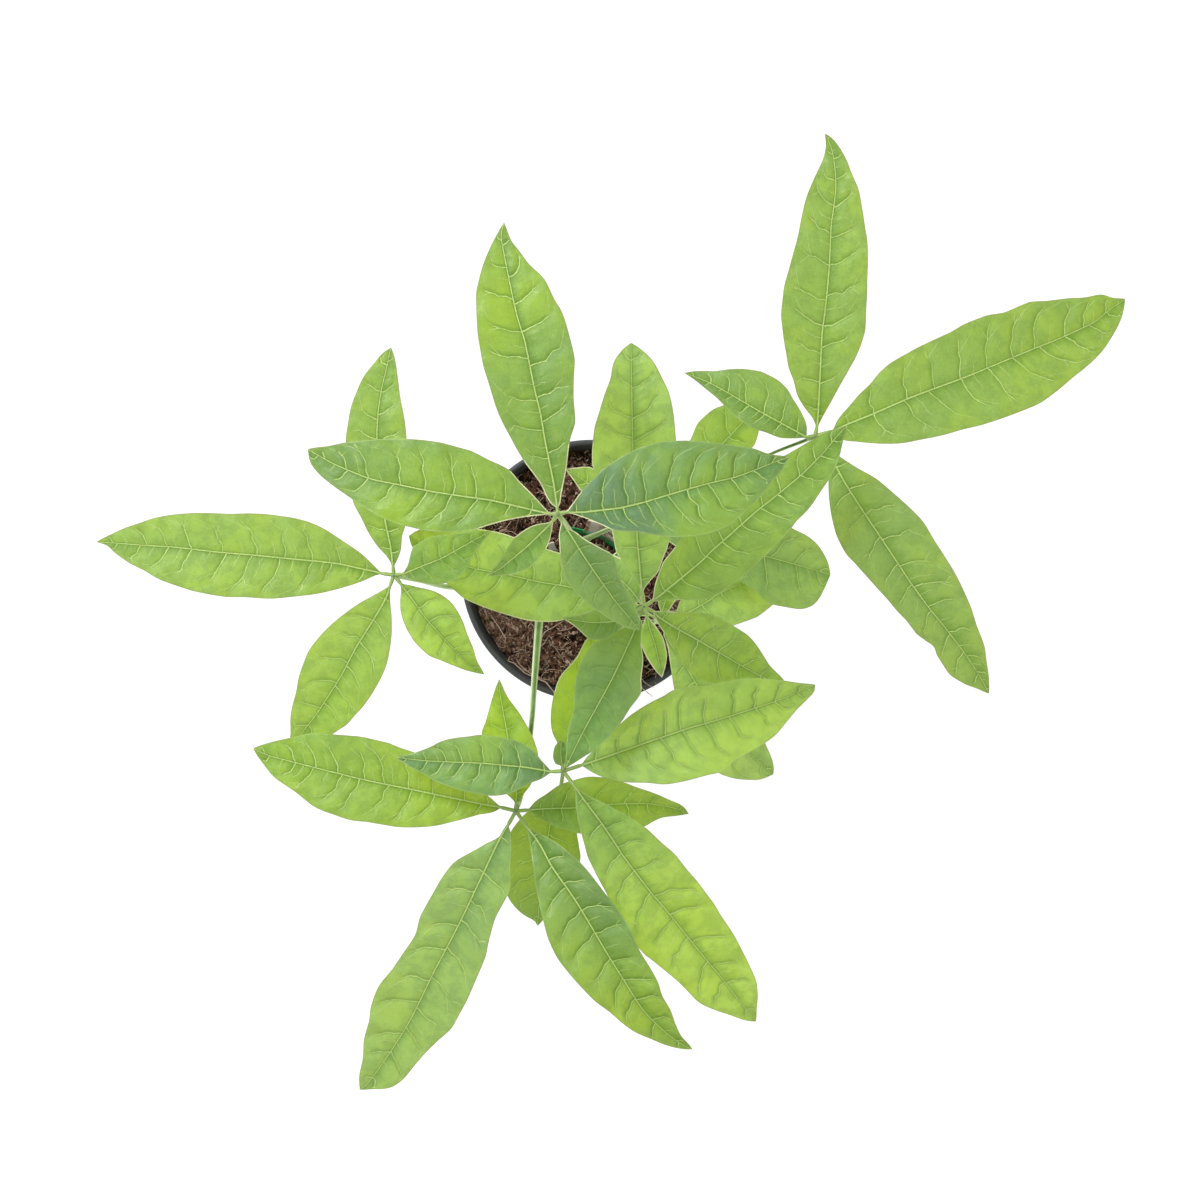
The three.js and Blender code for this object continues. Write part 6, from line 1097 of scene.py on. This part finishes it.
# ---- potting mix ------------------------------------------------------------
def soil_height(x, y):
    p = np.column_stack([np.atleast_1d(x), np.atleast_1d(y)])
    h = 96.4 + 0.9 * fractal(p / 16, 3, 2) + 1.15 * fractal(p / 4.2, 11, 2) + 0.75 * fractal(p / 1.7, 23, 2)
    trunks = np.hypot(p[:, 0] + 4.85, p[:, 1] + 3.24)
    h = h + 1.6 * np.exp(-(trunks / 17) ** 2)
    r = np.hypot(p[:, 0], p[:, 1])
    return h - 0.9 * smooth(51, 57, r)


def soil_lit_patch(verts):
    """1 on the side of the pot where painted light brightens the mix, 0 where it is dark."""
    v = np.asarray(verts, float)
    return smooth(-32.0, -62.0, v[:, 0] + 0.45 * v[:, 1])


def pits(verts):
    """1 in the low places of the mix, where painted shade darkens it, 0 on its lumps."""
    p = np.asarray(verts, float)[:, :2]
    return smooth(0.10, -0.32, 0.55 * fractal(p / 4.2, 11, 2) + 0.75 * fractal(p / 1.7, 23, 2))


def soil_material():
    k = Nodes("potting_mix")
    mm = k.scaled(1000.0, 1000.0, 1000.0)
    shade = k.attr("shade")
    kind = k.attr("fibre")
    coarse = k.noise(mm, 0.45, 4.0, 0.7)
    fine = k.noise(mm, 2.4, 4.0, 0.75)
    split = k.tree.nodes.new("ShaderNodeSeparateColor")
    k.put(split.inputs[0], k.voronoi(mm, 1.1, "F1", out="Color"))
    # the mix itself: dark peat with lighter crumbs
    peat = k.mix(k.step(coarse, 0.36, 0.66), (0.014, 0.006, 0.005), (0.25, 0.108, 0.070))
    peat = k.mix(k.step(split.outputs[0], 0.5, 1.0, 0.0, 0.85), peat, (0.42, 0.205, 0.14))
    peat = k.mix(k.step(split.outputs[1], 0.84, 0.93, 0.0, 0.85), peat, (0.80, 0.60, 0.47))
    peat = k.mix(k.step(fine, 0.35, 0.65, 0.0, 0.5), peat, (0.030, 0.016, 0.010))
    # loose lumps, each with its own shade
    lump = k.mix(k.step(shade, 0.0, 0.5), (0.014, 0.006, 0.005), (0.25, 0.108, 0.070))
    lump = k.mix(k.step(shade, 0.45, 1.0), lump, (0.88, 0.60, 0.48))
    lump = k.mix(k.step(fine, 0.35, 0.65, 0.0, 0.4), lump, (0.045, 0.024, 0.016))
    straw = k.mix(shade, (0.15, 0.060, 0.042), (1.0, 0.75, 0.61))
    straw = k.mix(k.step(fine, 0.3, 0.7, 0.0, 0.35), straw, (0.20, 0.105, 0.07))
    colour = k.mix(k.step(kind, 0.1, 0.4), peat, lump)
    colour = k.mix(k.step(kind, 0.6, 0.9), colour, straw)
    # painted light: pale and dark specks brighten the mix on the lit side of the pot
    colour = k.mix(k.math("MULTIPLY", k.attr("soil_lit_patch"), 0.42), colour, k.mix(k.step(fine, 0.44, 0.60), (0.07, 0.032, 0.022), (0.90, 0.58, 0.44)))
    # painted shade in the low places of the mix
    colour = k.mix(k.math("MULTIPLY", k.attr("pit_shade"), 0.88), colour, (0.010, 0.006, 0.004))
    normal = k.bump(k.math("MULTIPLY_ADD", coarse, 1.0, fine), 0.0011, 0.9)
    return k.finish(k.principled(colour, 0.92, normal, specular=0.08))


def soil_piece(material):
    turns, rings = 420, 72
    edge = 57.7
    radius = edge * (np.linspace(0, 1, rings + 1)[1:]) ** 0.92
    angle = np.linspace(0, 2 * np.pi, turns, endpoint=False)
    verts = [[0.0, 0.0, float(soil_height(0, 0)[0])]]
    for r in radius:
        x, y = r * np.cos(angle), r * np.sin(angle)
        verts += np.column_stack([x, y, soil_height(x, y)]).tolist()
    profile = [(57.2, 94.3), (56.4, 92.0), (49.4, 50.0), (42.2, 6.0), (40.5, 2.6)]
    for r, z in profile:
        verts += np.column_stack([r * np.cos(angle), r * np.sin(angle), np.full(turns, z)]).tolist()
    verts.append([0.0, 0.0, 2.5])
    n_rings = rings + len(profile)
    grid = 1 + np.arange(n_rings * turns).reshape(n_rings, turns)
    nxt = np.roll(grid, -1, 1)
    faces = [[0, int(grid[0, j]), int(nxt[0, j])] for j in range(turns)]
    faces += np.stack([grid[:-1], grid[1:], nxt[1:], nxt[:-1]], -1).reshape(-1, 4).tolist()
    last = len(verts) - 1
    faces += [[last, int(nxt[-1, j]), int(grid[-1, j])] for j in range(turns)]
    ob = make_mesh("potting_mix", verts, faces, {"shade": np.zeros(len(verts)), "fibre": np.zeros(len(verts)), "soil_lit_patch": soil_lit_patch(verts), "pit_shade": pits(verts)})
    return settle(ob, "soil", material, "soil")


def strand(points, radius, sides=4):
    """Vertices and faces of one thin closed strand."""
    p = np.asarray(points, float)
    n = len(p)
    tangent = np.gradient(p, axis=0)
    tangent /= np.maximum(np.linalg.norm(tangent, axis=1)[:, None], 1e-9)
    up = np.tile([0.0, 0.0, 1.0], (n, 1))
    side = np.cross(tangent, up)
    size = np.linalg.norm(side, axis=1)[:, None]
    side = np.where(size > 0.05, side / np.maximum(size, 1e-9), [1.0, 0.0, 0.0])
    up = np.cross(side, tangent)
    r = radius * np.interp(np.linspace(0, 1, n), [0, 0.12, 0.8, 1], [0.45, 1, 0.9, 0.3])
    a = np.linspace(0, 2 * np.pi, sides, endpoint=False) + 0.4
    ring = p[:, None] + r[:, None, None] * (np.cos(a)[None, :, None] * side[:, None] + np.sin(a)[None, :, None] * up[:, None])
    verts = ring.reshape(-1, 3)
    grid = np.arange(n * sides).reshape(n, sides)
    nxt = np.roll(grid, -1, 1)
    faces = np.stack([grid[:-1], nxt[:-1], nxt[1:], grid[1:]], -1).reshape(-1, 4).tolist()
    faces.append(grid[0, ::-1].tolist())
    faces.append(grid[-1].tolist())
    return verts, faces


def outwards(verts, faces):
    """The same faces, turned outwards as one closed shape."""
    v = np.asarray(verts)
    total = 0.0
    for f in faces:
        for i in range(1, len(f) - 1):
            total += float(np.dot(v[f[0]], np.cross(v[f[i]], v[f[i + 1]])))
    return faces if total > 0 else [f[::-1] for f in faces]


def fibres(material):
    rng = np.random.default_rng(41)
    verts, faces, shade, count = [], [], [], 0

    def put(points, radius, tone, sides=4):
        nonlocal count
        v, f = strand(points, radius, sides)
        f = outwards(v - v.mean(0), f)
        verts.append(v)
        faces.extend([[q + count for q in face] for face in f])
        shade.append(np.full(len(v), tone))
        count += len(v)

    for i in range(3000):
        r, a = 57 * math.sqrt(rng.random()), rng.uniform(0, 2 * math.pi)
        x, y = r * math.cos(a), r * math.sin(a)
        long = i < 420
        length = rng.uniform(7, 20) if long else rng.uniform(1.2, 4.2)
        n = 9 if long else 4
        heading, bend = rng.uniform(0, 2 * math.pi), rng.normal(0, 0.25 if long else 0.35)
        pts = []
        for _ in range(n):
            pts.append((x, y))
            heading += bend + rng.normal(0, 0.25)
            x, y = x + length / n * math.cos(heading), y + length / n * math.sin(heading)
        pts = np.array(pts)
        far = np.hypot(pts[:, 0], pts[:, 1])
        pts *= np.minimum(1, 57.0 / np.maximum(far, 1e-6))[:, None]
        h = soil_height(pts[:, 0], pts[:, 1])
        h = np.convolve(np.pad(h, 1, mode="edge"), [0.25, 0.5, 0.25], "valid") if long else h
        t = np.linspace(0, 1, n)
        rise = rng.uniform(0.0, 2.0) * np.sin(np.pi * t) ** 2 if long else rng.uniform(-0.2, 1.1) * t
        radius = rng.uniform(0.14, 0.24) if long else rng.uniform(0.14, 0.34)
        tone = rng.uniform(0.65, 1.0) if rng.random() < 0.42 else rng.uniform(0.0, 0.35)
        put(np.column_stack([pts, h + 0.15 + rise]), radius, tone)
    # a few long pale ones that reach over the rim
    put([(-39.0, -40.6, 97.4), (-39.9, -42.8, 98.6), (-37.0, -43.8, 99.4), (-31.7, -48.5, 101), (-26.0, -51.0, 103), (-21.7, -52.6, 105.2), (-17.9, -57.3, 106.4), (-16.6, -60.6, 105.9)], 0.34, 1.0)
    put([(-36.0, -41.5, 97.0), (-34.2, -44.6, 99.0), (-29.0, -48.9, 100.6), (-24.6, -50.9, 101.8), (-19.6, -52.0, 102.2)], 0.24, 1.0)
    put([(-26.6, -50.4, 99.6), (-23.4, -51.5, 101.0), (-20.4, -51.2, 101.2)], 0.30, 0.42)
    put([(20.5, -47.5, 97.8), (23.3, -50.8, 101), (24.7, -52.6, 104.6), (27.0, -54.2, 106.2), (29.4, -55.2, 106.2)], 0.22, 1.0)
    put([(21.6, -52.5, 98.6), (23.7, -55.4, 105.9), (26.4, -57.6, 106.5), (28.9, -59.6, 105.4)], 0.22, 1.0)
    put([(30.0, -46.6, 97.4), (30.5, -48.6, 100.5), (30.0, -51.6, 104.0), (30.4, -54.1, 106.0)], 0.20, 0.95)
    put([(24.6, -46.2, 98.0), (26.6, -45.0, 99.4), (28.1, -43.8, 98.6)], 0.24, 1.0)
    put([(-48, -21, 97.4), (-44, -27, 99.2), (-41, -32, 99.6), (-41.4, -36, 98.2)], 0.26, 1.0)
    # pale husk beside the label
    for i in range(34):
        x, y = 1.0 + 8.6 * rng.random(), 7.6 + 5.2 * rng.random()
        y -= 0.55 * max(x - 3.9, 0.0)
        turn, long = rng.normal(-0.6, 0.7), rng.uniform(2.0, 5.0)
        line = [(x + long * (t - 0.5) * math.cos(turn + 0.4 * t), y + long * (t - 0.5) * math.sin(turn + 0.4 * t), 98.2 + rng.uniform(0.0, 1.8) + 1.2 * t * (1 - t)) for t in (0.0, 0.3, 0.6, 1.0)]
        put(line, rng.uniform(0.22, 0.48), rng.uniform(0.75, 1.0) if i % 3 else rng.uniform(0.1, 0.3))
    verts = np.concatenate(verts)
    ob = make_mesh("coir_fibres", verts, faces, {"shade": np.concatenate(shade), "fibre": np.ones(len(verts)), "soil_lit_patch": 0.5 * soil_lit_patch(verts), "pit_shade": np.zeros(len(verts))})
    return settle(ob, "soil", material)


def crumbs(material):
    """Loose lumps of peat and bark lying on the mix."""
    rng = np.random.default_rng(97)
    t = (1 + 5 ** 0.5) / 2
    ico = np.array([(-1, t, 0), (1, t, 0), (-1, -t, 0), (1, -t, 0), (0, -1, t), (0, 1, t), (0, -1, -t), (0, 1, -t), (t, 0, -1), (t, 0, 1), (-t, 0, -1), (-t, 0, 1)], float)
    ico /= np.linalg.norm(ico[0])
    tri = [(0, 11, 5), (0, 5, 1), (0, 1, 7), (0, 7, 10), (0, 10, 11), (1, 5, 9), (5, 11, 4), (11, 10, 2), (10, 7, 6), (7, 1, 8), (3, 9, 4), (3, 4, 2), (3, 2, 6), (3, 6, 8), (3, 8, 9), (4, 9, 5), (2, 4, 11), (6, 2, 10), (8, 6, 7), (9, 8, 1)]
    pts, cells, known = ico.tolist(), [], {}

    def middle(a, b):
        key = (min(a, b), max(a, b))
        if key not in known:
            m = (np.array(pts[a]) + np.array(pts[b])) / 2
            pts.append((m / np.linalg.norm(m)).tolist())
            known[key] = len(pts) - 1
        return known[key]

    for a, b, c in tri:
        x, y, z = middle(a, b), middle(b, c), middle(c, a)
        cells += [(a, x, z), (x, b, y), (z, y, c), (x, y, z)]
    ball, rough_ball, rough_cells = np.array(pts), ico, tri
    verts, faces, shade, kind, count = [], [], [], [], 0
    for i in range(3100):
        r, a = 56.4 * math.sqrt(rng.random()), rng.uniform(0, 2 * math.pi)
        x, y = r * math.cos(a), r * math.sin(a)
        big = i < 420
        shape, parts = (ball, cells) if big else (rough_ball, rough_cells)
        size = rng.uniform(0.7, 1.7) if big else rng.uniform(0.25, 0.70)
        stretch = np.array([rng.uniform(0.7, 1.8), rng.uniform(0.5, 1.0), rng.uniform(0.3, 0.8)])
        spin = rng.uniform(0, 2 * math.pi)
        v = shape * (1 + 0.34 * fractal(shape * 1.7 + i * 3.1, 5, 2))[:, None] * size * stretch
        c, s = math.cos(spin), math.sin(spin)
        v = np.column_stack([c * v[:, 0] - s * v[:, 1], s * v[:, 0] + c * v[:, 1], v[:, 2]])
        v += (x, y, float(soil_height(x, y)[0]) + 0.3 * size + 0.1)
        verts.append(v)
        faces += [[q + count for q in f] for f in parts]
        light = rng.random() < (0.12 if big else 0.33)
        shade.append(np.full(len(v), rng.uniform(0.6, 1.0) if light else rng.uniform(0.0, 0.45)))
        kind.append(np.full(len(v), 0.5))
        count += len(v)
    verts = np.concatenate(verts)
    ob = make_mesh("crumbs", verts, faces, {"shade": np.concatenate(shade), "fibre": np.concatenate(kind), "soil_lit_patch": soil_lit_patch(verts), "pit_shade": np.zeros(len(verts))})
    return settle(ob, "soil", material)


# ---- pot --------------------------------------------------------------------
def pot_material():
    k = Nodes("pot_plastic")
    mm = k.scaled(1000.0, 1000.0, 1000.0)
    flat = k.scaled(300.0, 300.0, 2500.0)
    cloud = k.noise(mm, 0.05, 4.0, 0.6)
    grain = k.noise(mm, 1.6, 3.0, 0.6)
    hoops = k.noise(flat, 0.35, 3.0, 0.6)
    dust = k.step(k.noise(mm, 0.35, 5.0, 0.75), 0.56, 0.72)
    high = k.step(k.attr("height"), 60.0, 104.0)
    colour = k.mix(cloud, (0.045, 0.046, 0.050), (0.075, 0.077, 0.083))
    colour = k.mix(k.step(grain, 0.45, 0.8, 0.0, 0.35), colour, (0.11, 0.11, 0.115))
    colour = k.mix(k.math("MULTIPLY", k.math("MULTIPLY", dust, high), 0.30), colour, (0.17, 0.13, 0.105))
    rough = k.step(cloud, 0.3, 0.7, 0.44, 0.6)
    rough = k.math("MULTIPLY_ADD", dust, 0.15, rough)
    normal = k.bump(k.math("MULTIPLY_ADD", hoops, 0.6, grain), 0.00018, 0.6)
    return k.finish(k.principled(colour, rough, normal, specular=0.45))


def pot_piece(material):
    def arc(cx, cz, r, a0, a1, n):
        return [(cx + r * math.cos(math.radians(a)), cz + r * math.sin(math.radians(a))) for a in np.linspace(a0, a1, n)]

    outline = [(0, 0), (15, 0), (30, 0), (36, 0), (39.4, 0)] + [(40.2, 0.05), (40.8, 0.55), (41.4, 0.6), (41.9, 0.15)] + arc(42.2, 1.3, 1.3, -90, -10, 6)
    for z in np.linspace(4, 91.6, 26):
        outline.append((43.5 + 15.0 * (z - 1.2) / 91.8, float(z)))
    outline += [(58.6, 92.9), (59.3, 93.4), (60.4, 93.9), (61.0, 94.4), (61.35, 95.4)]
    for z in np.linspace(96.6, 102.6, 5):
        outline.append((61.4 + 0.55 * (z - 96.4) / 7.2, float(z)))
    outline += arc(60.6, 103.6, 1.4, 0, 90, 8)
    outline += [(60.1, 104.95), (59.6, 104.6), (59.25, 103.9), (59.0, 102.6), (58.7, 100.0), (58.4, 97.0), (57.8, 95.0), (57.1, 93.4)]
    for z in np.linspace(90, 6, 12):
        outline.append((42.2 + 14.9 * (z - 3.2) / 90.3, float(z)))
    outline += [(42.2, 3.2), (41.7, 2.4), (41, 2.0), (30, 2.0), (15, 2.0), (0, 2.0)]
    turns = 160
    angle = np.linspace(0, 2 * np.pi, turns, endpoint=False)
    verts, ids = [], []
    for r, z in outline:
        if r == 0:
            ids.append([len(verts)] * turns)
            verts.append((0.0, 0.0, z))
        else:
            ids.append(list(range(len(verts), len(verts) + turns)))
            verts += [(r * math.cos(a), r * math.sin(a), z) for a in angle]
    faces = []
    for low, high in zip(ids, ids[1:]):
        for j in range(turns):
            k = (j + 1) % turns
            face = []
            for q in (low[j], low[k], high[k], high[j]):
                if q not in face:
                    face.append(q)
            faces.append(face)
    ob = make_mesh("nursery_pot", verts, faces)
    cut_verts, cut_faces = [], []
    for i in range(8):
        a = (i + 0.5) / 8 * 2 * math.pi
        cx, cy, n = 30 * math.cos(a), 30 * math.sin(a), 32
        start = len(cut_verts)
        for z in (-3.0, 5.0):
            cut_verts += [(cx + 4.2 * math.cos(t), cy + 4.2 * math.sin(t), z) for t in np.linspace(0, 2 * math.pi, n, endpoint=False)]
        cut_faces += [[start + j, start + (j + 1) % n, start + n + (j + 1) % n, start + n + j] for j in range(n)]
        cut_faces.append([start + j for j in reversed(range(n))])
        cut_faces.append([start + n + j for j in range(n)])
    drill = make_mesh("drill", cut_verts, cut_faces)
    cut = ob.modifiers.new("holes", "BOOLEAN")
    cut.operation = "DIFFERENCE"
    cut.solver = "EXACT"
    cut.object = drill
    bpy.context.view_layer.update()
    done = bpy.data.meshes.new_from_object(ob.evaluated_get(bpy.context.evaluated_depsgraph_get()))
    ob.modifiers.clear()
    ob.data = done
    bpy.data.objects.remove(drill)
    done.polygons.foreach_set("use_smooth", [True] * len(done.polygons))
    done.set_sharp_from_angle(angle=math.radians(38))
    layer = done.attributes.new("height", "FLOAT", "POINT")
    layer.data.foreach_set("value", [v.co.z * 1000 for v in done.vertices])
    return settle(ob, "pot", material, "pot")


# ---- plant label ------------------------------------------------------------
LABEL_LOW, LABEL_HIGH, LABEL_LEAN, LABEL_END_LEAN = 93.5, 114.0, 8.0, 1.65
LABEL_PATH = [(11.7, 6.6), (8.6, 10.4), (3.9, 13.4), (-1.2, 15.2), (-6, 16.3), (-10.8, 17), (-13.4, 14), (-14.2, 10.6), (-16, 8.6), (-20.4, 8.2)]
LABEL_TOP = [(0, 114), (0.45, 114), (0.475, 104), (0.635, 104), (0.67, 96.0), (0.86, 96.0), (0.9, 103.5), (1, 103.5)]


def label_material():
    """Plain plastic: pale face, a glossy green band low on it with painted highlights and painted shade at its foot,
    earth smears.
    """
    k = Nodes("label_plastic")
    mm = k.scaled(1000.0, 1000.0, 1000.0)
    level, run = k.attr("level"), k.attr("run")
    end = k.step(run, 0.80, 0.82)
    here = k.math("SUBTRACT", 1.0, end)
    band = k.math("MULTIPLY", k.math("MULTIPLY", k.step(level, 2.2, 2.5), k.step(level, 11.0, 10.7)), here)
    line = k.math("MULTIPLY", k.math("MULTIPLY", k.step(level, 10.8, 11.0), k.step(level, 12.6, 12.3)), here)
    smear = k.noise(mm, 0.5, 4.0, 0.7)
    earth = k.noise(mm, 0.30, 4.0, 0.7)
    pale = k.mix(k.step(smear, 0.4, 0.75), (0.98, 0.89, 0.87), (0.86, 0.75, 0.72))
    pale = k.mix(line, pale, (0.95, 0.93, 0.91))
    crust = k.mix(k.step(k.noise(mm, 0.9, 3.0, 0.7), 0.40, 0.60), (0.16, 0.085, 0.05), (0.78, 0.66, 0.50))
    pale = k.mix(k.math("MULTIPLY", k.step(run, 0.36, 0.28), k.step(earth, 0.36, 0.50)), pale, crust)
    pale = k.mix(k.math("MULTIPLY", k.step(run, 0.405, 0.44), k.step(earth, 0.42, 0.52)), pale, (0.46, 0.22, 0.12))
    grey = k.mix(k.step(smear, 0.35, 0.7), (0.78, 0.85, 0.78), (0.93, 0.95, 0.92))
    grey = k.mix(k.step(level, 8.9, 9.5), grey, (0.96, 0.80, 0.76))
    pale = k.mix(end, pale, grey)
    low = k.math("MULTIPLY_ADD", k.math("SUBTRACT", smear, 0.5), 3.0, level)
    # painted shade: the band runs from near black at its foot to emerald above
    green = k.mix(k.step(low, 4.0, 8.5), (0.004, 0.045, 0.016), (0.010, 0.36, 0.115))
    # painted highlights: mint glints on the glossy band
    band_highlight = k.math("MULTIPLY", k.math("MULTIPLY", k.step(run, 0.50, 0.44), k.step(run, 0.30, 0.36)), k.step(low, 7.0, 9.0))
    band_highlight = k.math("MAXIMUM", band_highlight, k.math("MULTIPLY", k.step(run, 0.16, 0.08), k.step(low, 4.6, 3.4)))
    green = k.mix(band_highlight, green, (0.42, 0.85, 0.60))
    colour = k.mix(band, pale, green)
    clod = k.math("MULTIPLY", k.step(run, 0.34, 0.30), k.step(earth, 0.50, 0.56))
    colour = k.mix(k.math("MULTIPLY", clod, band), colour, (0.13, 0.08, 0.05))
    colour = k.mix(k.math("MULTIPLY", k.math("MULTIPLY", k.step(level, 3.6, 2.4), k.step(smear, 0.35, 0.6)), here), colour, (0.13, 0.08, 0.05))
    normal = k.bump(k.noise(mm, 0.25, 2.0), 0.0012, 0.5)
    return k.finish(k.principled(colour, k.step(band, 0.0, 1.0, 0.4, 0.2), normal, specular=0.5, coat=0.3))


def label_piece(material):
    across, up = 120, 18
    low_path, _ = centripetal([(x, y, 0.0) for x, y in LABEL_PATH], across + 1)
    tangent = np.gradient(low_path, axis=0)
    tangent /= np.linalg.norm(tangent, axis=1)[:, None]
    out = np.column_stack([-tangent[:, 1], tangent[:, 0], np.zeros(across + 1)])
    flip = ((low_path - np.array([-4.85, -3.24, 0.0])) * out).sum(1) < 0
    out[flip] *= -1
    u = np.linspace(0, 1, across + 1)
    top = curve_through(LABEL_TOP)(u)
    round_off = 1.6 * (np.clip((0.05 - u) / 0.05, 0, 1) ** 2 + np.clip((u - 0.96) / 0.04, 0, 1) ** 2)
    verts, level, run = [], [], []
    for face in (-0.5, 0.5):
        for j in range(up + 1):
            v = j / up
            z = LABEL_LOW + (top - LABEL_LOW - round_off * (v > 0.8)) * v
            lean = LABEL_LEAN * (1 + (LABEL_END_LEAN - 1) * smooth(0.84, 0.9, u)) * ((z - LABEL_LOW) / (LABEL_HIGH - LABEL_LOW)) ** 1.3
            p = low_path + out * (lean + face * 0.5)[:, None]
            verts.append(np.column_stack([p[:, 0], p[:, 1], z]))
            level.append(z - LABEL_LOW)
            run.append(u)
    verts, level, run = np.concatenate(verts), np.concatenate(level), np.concatenate(run)
    n = (up + 1) * (across + 1)
    grid = np.arange(n).reshape(up + 1, across + 1)
    a, b, c, d = grid[:-1, :-1], grid[:-1, 1:], grid[1:, 1:], grid[1:, :-1]
    front = np.stack([a, b, c, d], -1).reshape(-1, 4)
    rim = np.concatenate([grid[0, :], grid[1:, -1], grid[-1, -2::-1], grid[-2:0:-1, 0]])
    nxt = np.roll(rim, -1)
    faces = np.concatenate([front, front[:, ::-1] + n, np.stack([nxt, rim, rim + n, nxt + n], -1)]).tolist()
    faces = outwards(verts - verts.mean(0), faces)
    ob = make_mesh("plant_label", verts, faces, {"level": level, "run": run}, sharp=(rim, rim + n))
    return settle(ob, "label", material, "label")


# ---- build ------------------------------------------------------------------
leaf = leaf_material()
for i, (name, spec) in enumerate(LEAFLETS.items()):
    leaflet(name.split("_")[1], spec, leaf, 100 + i)
stalk = stalk_material()
for i, (name, (hub_name, points)) in enumerate(PETIOLES.items()):
    petiole(name, hub_name, points, stalk, 300 + i)
bark = bark_material()
for i, name in enumerate(SHOOTS):
    trunk(name, bark, 400 + i)
mix = soil_material()
soil_piece(mix)
fibres(mix)
crumbs(mix)
pot_piece(pot_material())
label_piece(label_material())

# ---- stage and light --------------------------------------------------------
floor_mesh = bpy.data.meshes.new("floor")
floor_mesh.from_pydata([(-30, -30, 0), (30, -30, 0), (30, 30, 0), (-30, 30, 0)], [], [(0, 1, 2, 3)])
floor = bpy.data.objects.new("floor", floor_mesh)
scene.collection.objects.link(floor)
k = Nodes("floor_white")
paper = k.tree.nodes.new("ShaderNodeBsdfDiffuse")
paper.inputs["Color"].default_value = (0.30, 0.30, 0.30, 1)
lit = k.tree.nodes.new("ShaderNodeEmission")
lit.inputs["Color"].default_value = (1, 1, 1, 1)
lit.inputs["Strength"].default_value = 0.88
sum_ = k.tree.nodes.new("ShaderNodeAddShader")
k.tree.links.new(paper.outputs[0], sum_.inputs[0])
k.tree.links.new(lit.outputs[0], sum_.inputs[1])
floor_mesh.materials.append(k.finish(sum_.outputs[0]))

world = bpy.data.worlds.new("studio")
scene.world = world
world.use_nodes = True
sky = world.node_tree.nodes.get("Background") or world.node_tree.nodes.new("ShaderNodeBackground")
sky.inputs["Color"].default_value = (1, 1, 1, 1)
sky.inputs["Strength"].default_value = 0.52


def area(name, place, aim, size, power):
    data = bpy.data.lights.new(name, "AREA")
    data.shape = "SQUARE"
    data.size = size
    data.energy = power
    ob = bpy.data.objects.new(name, data)
    ob.location = place
    ob.rotation_euler = (Vector(aim) - Vector(place)).to_track_quat("-Z", "Y").to_euler()
    scene.collection.objects.link(ob)


area("key", (-1.15, 1.15, 1.55), (0, 0, 0.2), 0.8, 30.0)
area("fill", (1.3, -0.9, 1.7), (0, 0, 0.2), 1.4, 3.0)
